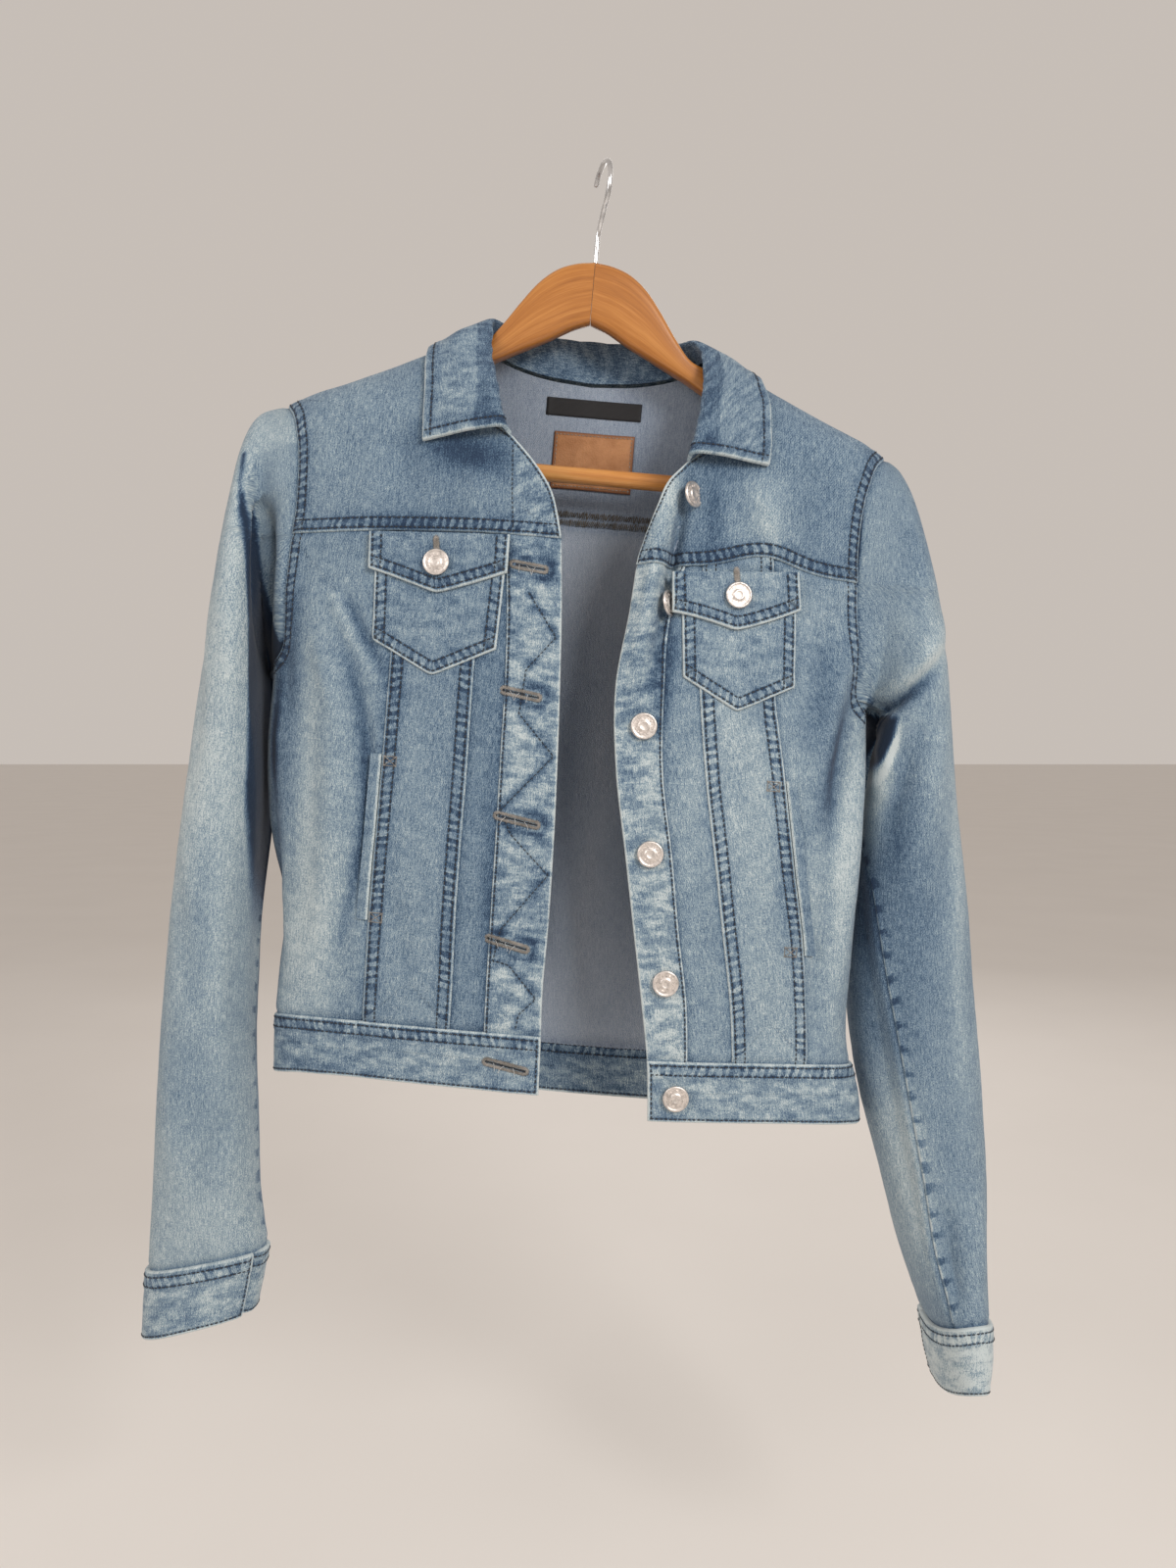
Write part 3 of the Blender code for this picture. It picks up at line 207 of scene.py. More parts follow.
def paint_floor():
    made, tree, shader = new_material("pale_floor")
    cloudy = noise(tree, object_place(tree), 3.0, 3.0)
    colour = ramp(tree, cloudy, (0.3, (0.76, 0.73, 0.70)), (0.7, (0.78, 0.75, 0.72)))
    fill(tree, shader, {"Base Color": colour, "Roughness": 0.9, "Specular IOR Level": 0.1})
    return made


def add_floor(half):
    corners = [(-half, -half, FLOOR_HEIGHT), (half, -half, FLOOR_HEIGHT), (half, half, FLOOR_HEIGHT),
               (-half, half, FLOOR_HEIGHT)]
    mesh = bpy.data.meshes.new("floor")
    mesh.from_pydata(corners, [], [(0, 1, 2, 3)])
    mesh.materials.append(paint_floor())
    add_object("floor", mesh)


def add_lamp(name, place, size, watts, colour):
    """A round soft lamp that points at the middle of the jacket."""
    lamp = bpy.data.lights.new(name, "AREA")
    lamp.shape = "DISK"
    lamp.size = size
    lamp.energy = watts
    lamp.color = colour
    made = add_object(name, lamp)
    made.location = place
    aim = np.array(LAMP_TARGET) - np.array(place)
    across = math.hypot(aim[0], aim[1])
    made.rotation_euler = (math.atan2(across, -aim[2]), 0.0, math.atan2(-aim[0], aim[1]))


def add_sky(colour, strength):
    sky = bpy.data.worlds.new("pale_sky")
    sky.use_nodes = True
    back = sky.node_tree.nodes["Background"]
    back.inputs["Color"].default_value = (*colour, 1.0)
    back.inputs["Strength"].default_value = strength
    scene.world = sky


add_floor(30.0)
add_sky(PALE, 0.86)
add_lamp("window_light", (1.2, -1.8, 0.6), 0.9, 30.0, (1.0, 0.985, 0.96))
add_lamp("room_light", (-1.6, -1.5, 0.5), 1.2, 14.0, (1.0, 0.97, 0.94))
add_lamp("back_light", (0.3, 2.0, 0.6), 1.6, 10.0, (1.0, 0.98, 0.96))
scene.view_settings.view_transform = "Standard"
scene.view_settings.look = "None"
print("stage: floor at", FLOOR_HEIGHT, "m and three lamps")

# %% [markdown]
# ## Measuring tables
# A pattern cutter works from a table of measurements. Ours give sections through the body at several
# heights, and between them a smooth curve fills in. The jacket is drawn in its own upright frame in
# millimetres: x runs to the wearer's left, y to the back, and "down" is the distance below the hook.

# %% Curves through tables
MM = 0.001
TILT = math.radians(5.0)  # the hanger hangs with the wearer's left shoulder low
RIGHT, LEFT = "right", "left"
# Body
SHOULDER_TOP = 178.0
UNDERARM = 352.0
NECK_HALF = 77.0
NECK_ROWS = 5  # rows of wall along the neckline of a front, before its free edge
ROWS_TO_YOKE = 9  # rows of wall between the shoulder and the front yoke seam
ROWS_TO_BACK_YOKE = 7
ROW_TURN = 10.0  # degrees round the armhole from one row to the next
NEAR_HEM = 585.0  # a height beside the hem band's seam, and beside the two yoke seams
NEAR_FRONT_YOKE = 260.0
NEAR_BACK_YOKE = 236.0
ARMHOLE_BEND = 1.7  # the higher, the closer to the armhole its curve is followed
FAR = 1e9


def table(names, *rows):
    """A small table with named columns."""
    return dict(zip(names.split(), np.array(rows, float).T))


def curve(xs, ys, x):
    """Value at x on a smooth curve through the points (xs, ys), with xs rising."""
    slope = np.gradient(ys, xs)
    x = np.clip(x, xs[0], xs[-1])
    i = np.clip(np.searchsorted(xs, x, side="right") - 1, 0, len(xs) - 2)
    step = xs[i + 1] - xs[i]
    t = (x - xs[i]) / step
    start = (1 + 2 * t) * (1 - t) ** 2 * ys[i] + t * (1 - t) ** 2 * step * slope[i]
    end = t * t * (3 - 2 * t) * ys[i + 1] + t * t * (t - 1) * step * slope[i + 1]
    return start + end


def mix(a, b, t):
    return a + (b - a) * t


def ease(t):
    """From 0 to 1 with a gentle start and end."""
    t = np.clip(t, 0, 1)
    return t * t * (3 - 2 * t)


def power(value, exponent):
    """A power that keeps the sign."""
    return np.sign(value) * np.abs(value) ** exponent


def unit(vectors):
    return vectors / np.maximum(np.linalg.norm(vectors, axis=-1, keepdims=True), 1e-12)


def facing(normals, direction):
    """The normals, turned round where they point against the direction."""
    along = np.sum(normals * direction, axis=-1, keepdims=True)
    return normals * np.where(along < 0, -1.0, 1.0)


def flattened(points):
    """The points moved into the upright plane y = 0, as they are seen from the front."""
    return points * np.array([1.0, 0.0, 1.0])


def in_plane(places):
    """Places (x, down) as points of that plane."""
    x, down = np.array(places, float).T
    return np.stack([x, 0 * x, -down], -1)


print("tables read by", curve.__name__)

# %% [markdown]
# ## Body
# A hanging jacket is a soft tube: flat at the back, fuller at the front, and narrow over the shoulders.
# Each section is a squared ellipse, and the table gives its sizes. A surface made from a rule can be
# asked for a point anywhere, so the same body serves for every panel and for what lies on it.

# %% Sections of the body
# Sections through the body: half is half the width, side_y the depth of the side line, front and back
# the reach from it, and power the squareness (2 is an ellipse).
BODY = table(
    "down centre half side_y front back power",
    (84.6, 4, 0.5, 0, 6, 8, 1.8),
    (100, 4, 34, 0, 9, 11, 1.8),
    (120, 4, 77, 0, 15, 16, 1.9),
    (130, 4, 98.7, 0, 24, 22, 1.9),
    (145, 4, 131.3, 0, 31, 26, 1.9),
    (160, 4, 164, 0, 36, 27.5, 1.9),
    (172, 4, 190.5, 0, 39, 28, 1.95),
    (184, 4, 207, 0, 42, 28.5, 2.0),
    (210, 4, 213.5, 0, 44.5, 29, 2.1),
    (257, 4, 210, -1, 47, 29, 2.3),
    (310, 5, 203, -3, 49, 29, 2.5),
    (352, 8, 198, -5, 50, 29, 2.6),
    (405, 10, 198.5, -6, 51, 28, 2.7),
    (450, 13, 197.5, -7, 52, 28, 2.7),
    (513, 19, 191, -8, 51, 28, 2.7),
    (575, 22, 192.5, -8, 50, 29, 2.6),
    (600, 27, 197, -7, 50, 30, 2.6),
    (640, 31, 198, -5, 50, 30, 2.6),
)
# Distance of the armhole seam from the body's centre line.
ARMHOLE = table(
    "down out",
    (178, 199.9),
    (186, 193),
    (200, 188),
    (220, 184.5),
    (245, 183.5),
    (270, 185),
    (300, 186.5),
    (325, 188),
    (340, 190.5),
    (352, 198),
)
# Back neck seam, by its distance from the centre line.
NECK_BACK = table("out down", (0, 138.5), (36, 135.5), (60, 130), (70, 126), (77, 120))


def section(down):
    """The body's section sizes at this height."""
    return [curve(BODY["down"], BODY[key], down) for key in list(BODY)[1:]]


def angle_at(x, down, back=False):
    """Angle round the body, 0 at the front and rising to the wearer's left, of a place on one face."""
    centre, half, _, _, _, squareness = section(down)
    share = np.minimum(np.abs(x - centre) / half, 1.0)
    angle = np.arcsin(share ** (squareness / 2))
    if back:
        angle = math.pi - angle
    return np.where(x < centre, -angle, angle)


def plain_torso(angle, down):
    """Point of the body's smooth surface, before folds."""
    centre, half, side_y, front, back, squareness = section(down)
    across = power(np.sin(angle), 2 / squareness)
    along = power(np.cos(angle), 2 / squareness)
    reach = np.where(along > 0, front, back)
    return np.stack([centre + half * across, side_y - reach * along, -down], -1)


print("body:", len(BODY["down"]), "sections, widest", 2 * BODY["half"].max(), "mm")

# %% [markdown]
# ## Creases
# Cloth on a hanger folds in long soft rolls that start where it is held: at the shoulders, the armholes
# and the elbows. Each fold below runs through three points, with a width and a height, and fades
# towards its ends. A trough has a negative height. They are drawn unevenly, as real ones are.

# %% Folds of the body
THREE_PLACES = "x1 down1 x2 down2 x3 down3 half "
FOLDS = table(
    "back " + THREE_PLACES + "height",
    # the rolled button band and the valley behind it
    (0, 62, 206, 54, 268, 47, 372, 8, 9),
    (0, 74, 202, 67, 262, 58, 356, 4.2, -9),
    # wearer's left side: a ridge from the armhole, the hollow behind it and a long upright roll
    (0, 196, 280, 178, 345, 168, 436, 9, 6),
    (0, 198, 318, 187, 390, 188, 455, 8, -5),
    (0, 202, 335, 201, 450, 197, 575, 9, 4.5),
    (0, 186, 445, 184, 520, 190, 572, 7, -3.5),
    (0, 120, 400, 112, 460, 122, 540, 10, 1.2),
    (0, 150, 320, 138, 350, 120, 372, 7, -1.5),
    # wearer's right side: a long bowed roll below the armhole, steep on its inner side
    (0, -166, 284, -135, 425, -149, 566, 13, 7),
    (0, -150, 316, -113, 425, -134, 560, 4.5, -3.6),
    (0, -184, 400, -176, 480, -164, 572, 8, -4),
    (0, -180, 300, -178, 350, -168, 400, 8, -2.5),
    (0, -104, 470, -88, 510, -80, 560, 8, -1.4),
    (0, -96, 330, -90, 420, -92, 520, 12, 1.0),
    (0, -150, 300, -137, 322, -106, 372, 4, 2.0),
    (0, -143, 298, -129, 321, -99, 368, 4, -2.2),
    (0, -160, 322, -146, 358, -118, 424, 5, 1.6),
    # yokes
    (0, -68, 196, -61, 228, -62, 258, 10, 2.6),
    (0, -124, 178, -110, 215, -98, 252, 14, -3),
    (0, -160, 190, -166, 225, -168, 255, 12, 1.8),
    (0, 112, 192, 128, 230, 143, 260, 13, 5),
    (0, 150, 176, 158, 205, 160, 240, 11, -2.5),
    # back
    (1, -105, 260, -112, 400, -104, 570, 16, -5),
    (1, -150, 300, -146, 420, -140, 570, 13, 3),
    (1, -30, 300, -24, 430, -34, 575, 18, 3.5),
    (1, 4, 330, 12, 450, 6, 575, 9, -2),
    (1, 44, 290, 52, 420, 50, 575, 15, -4.5),
    (1, 118, 250, 126, 400, 120, 575, 17, 4.5),
    (1, 164, 280, 160, 400, 158, 560, 11, -3),
    (1, 60, 170, 20, 200, -40, 222, 16, -3),
    (1, -110, 180, -84, 205, -50, 226, 13, 2.4),
    (1, 150, 190, 128, 210, 98, 226, 12, -2.2),
    (1, 26, 300, 18, 420, 22, 560, 7, -3.2),
    (1, -4, 320, 4, 440, -2, 580, 9, 2.8),
    (1, 48, 330, 40, 400, 8, 470, 6, -2.2),
    (1, -20, 420, 10, 500, 34, 600, 8, -2.4),
)


def fold_height(points, paths, lines, key="height"):
    """Sum of the folds at these points: each fades out sideways and towards its two ends."""
    flat = points.reshape(-1, 3)
    found = np.zeros(len(flat))
    for path, width, tall in zip(paths, lines["half"], lines[key]):
        low = path.min(axis=0) - 3 * width
        high = path.max(axis=0) + 3 * width
        near = np.flatnonzero(np.all((flat > low) & (flat < high), axis=1))
        if len(near) == 0:
            continue
        close = flat[near]
        nearest = np.full(len(near), FAR)
        where = np.zeros(len(near))
        for i in range(len(path) - 1):
            run = path[i + 1] - path[i]
            if not run.any():
                continue
            t = np.clip((close - path[i]) @ run / np.dot(run, run), 0, 1)
            distance = np.linalg.norm(close - (path[i] + t[:, None] * run), axis=1)
            closer = distance < nearest
            nearest = np.where(closer, distance, nearest)
            where = np.where(closer, (i + t) / (len(path) - 1), where)
        fade = np.sin(math.pi * np.clip(where, 0, 1)) ** 1.3
        found[near] += tall * fade * np.exp(-((nearest / width) ** 2))
    return found.reshape(points.shape[:-1])


def smooth_path(corners, count=9):
    """A path of `count` points that bends smoothly through three corners."""
    t = np.linspace(0, 1, count)[:, None]
    middle = 2 * corners[1] - 0.5 * (corners[0] + corners[2])
    return (1 - t) ** 2 * corners[0] + 2 * t * (1 - t) * middle + t * t * corners[2]


def seen_paths(lines):
    """A smooth path (x, down) for each line of a table, as it is seen from its side."""
    corners = np.stack([np.stack([lines[f"x{k}"], lines[f"down{k}"]], -1) for k in (1, 2, 3)], 1)
    return [smooth_path(three) for three in corners]


def body_paths(lines):
    """The same paths on the body's surface."""
    return [plain_torso(angle_at(*flat.T, back > 0), flat[:, 1])
            for flat, back in zip(seen_paths(lines), lines["back"])]


BODY_PATHS = body_paths(FOLDS)


def torso(angle, down, lowest=-99.0):
    """Point of the body's surface with its folds; a stiff patch bridges the valleys."""
    angle = np.asarray(angle, float)
    down = np.asarray(down, float) + 0 * angle
    angle = angle + 0 * down
    point = plain_torso(angle, down)
    along_angle = plain_torso(angle + 1e-3, down) - plain_torso(angle - 1e-3, down)
    along_down = plain_torso(angle, down + 0.1) - plain_torso(angle, down - 0.1)
    normal = unit(np.cross(along_down, along_angle))
    height = fold_height(point, BODY_PATHS, FOLDS)
    return point + normal * np.maximum(height, lowest)[..., None]


def torso_normal(angle, down):
    along_angle = torso(angle + 2e-3, down) - torso(angle - 2e-3, down)
    along_down = torso(angle, down + 0.3) - torso(angle, down - 0.3)
    return unit(np.cross(along_down, along_angle))


# Places painted paler or darker than the rest, in the same form: painted shadows under the collar, in
# the valleys and beside the arms, painted highlights on the ridges beside them, and broader tone changes.
SHADE_AND_TONE = table(
    "back " + THREE_PLACES + "pale",
    (0, -116, 190, -68, 207, -30, 208, 13, -1.05),
    (0, 84, 190, 90, 228, 88, 270, 7, -0.4),
    (0, 72, 192, 96, 198, 130, 192, 7, -0.35),
    (0, 75, 202, 68, 262, 59, 356, 3.0, -0.9),
    (0, 74, 280, 68, 336, 62, 392, 7, -0.7),
    (0, 64, 180, 58, 232, 53, 284, 6, 1.1),
    (0, 54, 250, 50, 300, 46, 362, 7, 0.2),
    (0, -166, 296, -152, 420, -158, 580, 9, 0.45),
    (0, -150, 316, -115, 425, -136, 560, 4, -0.8),
    (0, -182, 380, -176, 470, -172, 580, 8, -0.3),
    (0, -150, 300, -137, 322, -106, 372, 3.5, 0.4),
    (0, -143, 298, -129, 321, -99, 368, 3.5, -0.6),
    (0, 196, 300, 194, 440, 198, 590, 8, 0.4),
    (0, 172, 290, 172, 335, 166, 390, 13, -0.6),
    (0, 189, 322, 182, 384, 190, 450, 6, -0.5),
    (0, 174, 420, 176, 480, 182, 600, 10, 0.3),
    (0, -172, 460, -162, 540, -166, 650, 17, 0.6),
    (0, -142, 440, -138, 530, -142, 650, 16, 0.6),
    (0, -181, 330, -181, 400, -177, 450, 4, -1.6),
    (0, -176, 290, -172, 350, -172, 470, 9, -0.45),
    (0, 58, 268, 52, 318, 46, 380, 13, -0.45),
    (0, 112, 200, 124, 232, 136, 262, 7, 0.45),
    (0, 96, 216, 106, 240, 114, 266, 8, 0.2),
    (0, 178, 340, 178, 395, 176, 450, 12, -0.6),
    (0, 162, 410, 160, 450, 164, 520, 10, -0.3),
    (1, 6, 280, 6, 400, 2, 560, 14, -0.3),
    (1, 38, 280, 36, 400, 30, 560, 14, 0.3),
    (0, -40, 380, -34, 460, -30, 560, 5, -0.3),
    (0, 188, 300, 186, 360, 186, 420, 9, -0.4),
    (0, 150, 300, 138, 330, 110, 366, 8, -0.4),
    (0, -130, 262, -110, 258, -60, 262, 8, -0.4),
    (0, 80, 268, 110, 262, 150, 268, 7, -0.4),
)


SHADE_AND_TONE_PATHS = body_paths(SHADE_AND_TONE)
print("body folds:", len(BODY_PATHS))

# %% [markdown]
# ## Fronts, yokes and armholes
# The seams divide the body into panels. A seam is a curve in a table as well, and a panel is the part
# of the body between two of them. The yokes are drawn from the shoulder line down, because both the
# front and the back one start there.

# %% Seams of the fronts
FRONT = {
    RIGHT: {
        "sign": -1,
        "neck": table("row x down", (0, -73, 120), (1, -72.5, 134), (2, -71, 150), (3, -68, 165),
                      (4, -60, 181), (5, -42, 193)),
        "edge": table("row x down", (5, -42, 193), (6, -27, 208), (7, -15, 224), (8, -9, 240),
                      (9, -5, 256)),
        "seams": table(
            "down edge placket inner outer",
            (256, -5, -41, -54, -108),
            (300, -1, -36, -53, -107.5),
            (345, 2, -33, -53, -107),
            (400, 5, -31.5, -52, -106.5),
            (450, 7, -30, -51.5, -106.5),
            (500, 8, -29, -51, -107),
            (545, 8, -28, -49.5, -106.5),
            (575, 9.5, -27, -49, -106),
            (612, 11, -26, -48, -106),
        ),
        "hem": table("turn seam bottom", (0, 572, 610), (45, 575, 612), (90, 583, 623),
                     (135, 592, 630), (180, 594, 631)),
    },
    LEFT: {
        "sign": 1,
        "neck": table("row x down", (0, 81, 120), (1, 83, 134), (2, 87, 150), (3, 89.5, 168),
                      (4, 84, 187), (5, 70, 200)),
        "edge": table("row x down", (5, 70, 200), (6, 59, 214), (7, 53, 232), (8, 47.5, 251),
                      (9, 43.5, 269)),
        "seams": table(
            "down edge placket inner outer",
            (256, 44.5, 77, 86, 131),
            (300, 41.5, 68, 86, 135),
            (345, 37, 68, 90.5, 140),
            (400, 42, 72, 99, 151),
            (450, 52, 82, 109, 161),
            (500, 62, 91, 119, 172),
            (545, 71, 100, 128, 179),
            (583, 78, 104, 133, 183),
            (623, 82, 108, 136, 185),
        ),
        "hem": table("turn seam bottom", (0, 583, 622), (45, 579, 618), (90, 583, 623),
                     (135, 590, 629), (180, 594, 631)),
    },
}


def ridge(x):
    """How far down the shoulder line is at x."""
    rows = BODY["down"] <= 211
    down = np.linspace(84.6, 210, 1255)
    half = curve(BODY["down"][rows], BODY["half"][rows], down)
    return np.interp(np.abs(x - BODY["centre"][0]), half, down)


def drop_to(x, down):
    """Square root of how far a place lies below the shoulder line."""
    return np.sqrt(np.maximum(down - ridge(x), 0))


def armhole_down(turn):
    """Height of the armhole at a turn in degrees: 0 on the shoulder, 180 under the arm."""
    return mix(SHOULDER_TOP, UNDERARM, (1 - np.cos(np.radians(turn))) / 2)


def armhole_angle(side, down, back=False):
    """Angle round the body of the armhole seam, and of the side seam below it."""
    sign = FRONT[side]["sign"]
    _, half, _, _, _, squareness = section(down)
    out = np.where(down >= UNDERARM, half, curve(ARMHOLE["down"], ARMHOLE["out"], down))
    angle = np.arcsin(np.minimum(out / half, 1.0) ** (squareness / 2))
    return sign * (math.pi - angle if back else angle)


def inner_edge(side, row):
    """Where the front yoke's inner edge is at a row: down the neckline, then down the free edge."""
    neck, edge = FRONT[side]["neck"], FRONT[side]["edge"]
    return [np.where(row < NECK_ROWS, curve(neck["row"], neck[key], row), curve(edge["row"], edge[key], row))
            for key in ("x", "down")]


def outer_edge(side, row):
    """Where the armhole is at a row of the yoke."""
    down = armhole_down(ROW_TURN * row)
    out = curve(ARMHOLE["down"], ARMHOLE["out"], down)
    return BODY["centre"][0] + FRONT[side]["sign"] * out, down


def over_shoulder(x, drop, back=False):
    """Point at x, where drop squared is the distance below the shoulder line: negative drops cross it."""
    down = ridge(x) + drop * drop
    front_angle = angle_at(x, down)
    turned = np.where(front_angle < 0, -math.pi, math.pi) - front_angle
    crossed = drop > 0 if back else drop < 0
    return torso(np.where(crossed, turned, front_angle), down)


def seam_arch(side, x):
    """The left yoke seam rises in a low arch over the pocket."""
    return (9.0 if side == LEFT else 0.0) * np.exp(-(((x - 124) / 26) ** 2))


def front_yoke(side, u, row):
    """Front yoke: u runs from the neck or free edge to the armhole, row from the shoulder down."""
    x_in, down_in = inner_edge(side, np.abs(row))
    x_out, down_out = outer_edge(side, np.abs(row))
    x = mix(x_in, x_out, u)
    drop = mix(drop_to(x_in, down_in), drop_to(x_out, down_out), u)
    drop = np.sqrt(np.maximum(drop ** 2 - seam_arch(side, x) * (np.abs(row) / ROWS_TO_YOKE) ** 4, 0))
    return over_shoulder(x, np.sign(row) * drop)


def yoke_seam_down(side, x):
    """Height of the front yoke seam at x."""
    row = np.array(float(ROWS_TO_YOKE))
    x_in, down_in = inner_edge(side, row)
    x_out, down_out = outer_edge(side, row)
    u = (x - x_in) / (x_out - x_in)
    drop = mix(drop_to(x_in, down_in), drop_to(x_out, down_out), u)
    return ridge(x) + drop * drop - seam_arch(side, x)


print("front yoke seam at the pocket:", round(float(yoke_seam_down(LEFT, np.array(110.0))), 1), "mm down")

# %% [markdown]
# The back has a yoke over a centre panel and two side panels, whose long seams lean in towards the
# waist. The hem band closes all of them.

# %% Seams of the back and of the hem
PRINCESS_OUT = 76.0  # the long back seams, from the centre line
PRINCESS_OUT_HEM = 66.0
SEAM_SAG = 2.0  # how much lower than its ends the middle of the back yoke seam lies


def back_neck_drop(x):
    """Square root of how far the back neck seam lies below the shoulder line."""
    out = np.abs(x - BODY["centre"][0])
    down = curve(NECK_BACK["out"], NECK_BACK["down"], out)
    return np.where(out < NECK_HALF, drop_to(x, down), 0.0)


def back_ends(row):
    """x of the right and the left armhole at a row of the back yoke, and their height."""
    (x_right, down), (x_left, _) = outer_edge(RIGHT, row), outer_edge(LEFT, row)
    return x_right, x_left, down


SEAM_RIGHT, SEAM_LEFT, SEAM_DOWN = back_ends(np.array(float(ROWS_TO_BACK_YOKE)))


def back_yoke(u, row):
    """Back yoke: u runs from the right armhole to the left one, row from the shoulder down."""
    x_right, x_left, down = back_ends(np.abs(row))
    top_right, top_left, _ = back_ends(0 * row)
    share = drop_to(x_right, down) / drop_to(SEAM_RIGHT, SEAM_DOWN)
    on_seam = drop_to(mix(SEAM_RIGHT, SEAM_LEFT, u), SEAM_DOWN + SEAM_SAG * np.sin(math.pi * u))
    drop = mix(back_neck_drop(mix(top_right, top_left, u)), on_seam, share)
    return over_shoulder(mix(x_right, x_left, u), np.where(row < 0, -drop, drop), back=True)


def back_seam_down(x):
    """Height of the back yoke seam at x."""
    return SEAM_DOWN + SEAM_SAG * np.sin(math.pi * (x - SEAM_RIGHT) / (SEAM_LEFT - SEAM_RIGHT))


def seam_angle(side, key):
    """The angle, as a function of height, of one of the long front seams or of the free edge."""
    seams = FRONT[side]["seams"]
    return lambda down: angle_at(curve(seams["down"], seams[key], down), down)


def side_angle(side, back=False):
    return lambda down: armhole_angle(side, down, back)


def princess_angle(side):
    """The angle of a long back seam, which leans in towards the hem."""
    sign = FRONT[side]["sign"]

    def at(down):
        centre = section(down)[0]
        out = mix(PRINCESS_OUT, PRINCESS_OUT_HEM, (down - NEAR_BACK_YOKE) / (NEAR_HEM - NEAR_BACK_YOKE))
        return angle_at(centre + sign * out, down, back=True)

    return at


def hem_down(angle, key):
    """Height of the hem band's seam or bottom edge at an angle round the body."""
    angle = (angle + math.pi) % (2 * math.pi) - math.pi
    turn = np.degrees(np.abs(angle))
    hems = [FRONT[side]["hem"] for side in (RIGHT, LEFT)]
    right, left = (curve(hem["turn"], hem[key], turn) for hem in hems)
    return np.where(angle < 0, right, left)


def panel(side, first, second, back=False, at_arm=False):
    """Surface between two long seams: u across it, v from the yoke seam at 0 to the hem band at 1.

    Beside the arm the armhole's curve is followed near the edge only."""

    def across(u, down):
        start, end = first(down), second(down)
        bend = (end - second(NEAR_HEM)) * (np.abs(u) ** ARMHOLE_BEND - u) if at_arm else 0.0
        return mix(start, end, u) + bend

    def place(u, v):
        top = 0 * u + (NEAR_BACK_YOKE if back else NEAR_FRONT_YOKE)
        for _ in range(2):
            x = plain_torso(across(u, top), top)[..., 0]
            top = back_seam_down(x) if back else yoke_seam_down(side, x)
        down = mix(top, hem_down(across(u, NEAR_HEM), "seam"), v)
        return torso(across(u, down), down)

    return place


def band(first, second):
    """Hem band: u along it, v from its seam to its bottom edge."""

    def place(u, v):
        angle = mix(first(NEAR_HEM), second(NEAR_HEM), u)
        down = mix(hem_down(angle, "seam"), hem_down(angle, "bottom"), v)
        return torso(mix(first(down), second(down), u), down)

    return place


print("hem band at the side:", round(float(hem_down(np.array(1.57), "bottom")), 1), "mm down")

# %% [markdown]
# ## Sleeves and cuffs
# A jacket sleeve is cut in two pieces and bends forward at the elbow. It is a row of rings from the
# armhole to the wrist. Near the armhole the rings turn into the armhole's own curve, so that the sleeve
# meets the body all round.

# %% Rings of the sleeves
SLEEVE_NAMES = "out_x out_down in_x in_down y reach power"
SLEEVE = {
    RIGHT: table(
        SLEEVE_NAMES,
        (-197, 178, -190, 352, -1, 27, 2.0),
        (-213, 185, -194, 354, -1, 30, 2.0),
        (-222, 205, -196, 357, -2, 33, 2.1),
        (-227.5, 245, -195, 362, -3, 37, 2.2),
        (-232, 300, -193, 370, -4, 40, 2.2),
        (-236, 352, -191, 388, -4, 42, 2.2),
        (-239, 408, -189, 420, -5, 42, 2.2),
        (-242, 470, -189, 472, -6, 41, 2.2),
        (-244, 535, -189, 535, -8, 39, 2.2),
        (-245, 600, -185, 600, -10, 35, 2.2),
        (-243.5, 660, -178, 660, -12, 31, 2.2),
        (-242, 710, -173, 704, -13, 27, 2.2),
        (-241, 761, -165, 740, -14, 24, 2.2),
    ),
    LEFT: table(
        SLEEVE_NAMES,
        (205, 178, 206, 352, -1, 27, 2.0),
        (215, 185, 209.5, 353, 0, 30, 2.0),
        (227, 204, 211.5, 355, 1, 33, 2.1),
        (241, 243, 213, 360, 2, 37, 2.2),
        (253.5, 290, 213.5, 368, 3, 40, 2.2),
        (263.5, 342, 212.5, 388, 4, 42, 2.2),
        (275, 402, 212.5, 424, 5, 41, 2.2),
        (289, 470, 213.5, 474, 5, 39, 2.2),
        (300, 535, 216, 535, 4, 36, 2.2),
        (311, 600, 229, 600, 2, 34, 2.2),
        (319, 660, 250, 658, 0, 34, 2.2),
        (323, 710, 268, 708, -2, 36, 2.2),
        (326, 748, 290, 756, -3, 40, 2.2),
    ),
}
# A sleeve's front ends in a pressed edge. Behind that turn the cloth is pushed back, by this share of
# the way to its rear wall, ring by ring.
TUCK = {
    RIGHT: table("ring turn share", (0, 60, 0), (1, 74, 0.3), (2, 104, 0.7), (3, 117, 1), (4, 124, 1),
                 (5, 131, 1), (6, 143, 1), (7, 157, 0.8), (8, 166, 0.35), (9, 170, 0), (12, 170, 0)),
    LEFT: table("ring turn share", (0, 150, 0), (3.4, 146, 0), (4.6, 150, 0.35), (6, 150, 0.3),
                (7, 140, 0.2), (8, 121, 0.16), (9, 113, 0.16), (10, 116, 0.13), (11, 121, 0.06),
                (12, 126, 0)),
}
TUCK_WALL = 0.42  # where the cloth is pushed to, as a share of the reach
TUCK_TURN = 11.0  # degrees in which the pressed edge turns
BACK_SEAM = -100.0
CUFF = {
    RIGHT: table("out_x out_down in_x in_down y reach", (-242, 762, -164.5, 741, -14, 25),
                 (-242.5, 785, -166, 763, -14, 25), (-241.5, 809, -169, 784, -14, 25)),
    LEFT: table("out_x out_down in_x in_down y reach", (327, 749, 289.5, 757, -3, 41),
                (331, 775, 294, 780, -3, 40), (329.5, 798, 302, 801, -3, 39)),
}
CUFF_DIP = {RIGHT: -3.5, LEFT: -11.0}  # how much lower than its ends the cuff's front hangs
CUFF_VENT = {RIGHT: 148.0, LEFT: 196.0}
CUFF_UNDERLAP = 24.0  # degrees
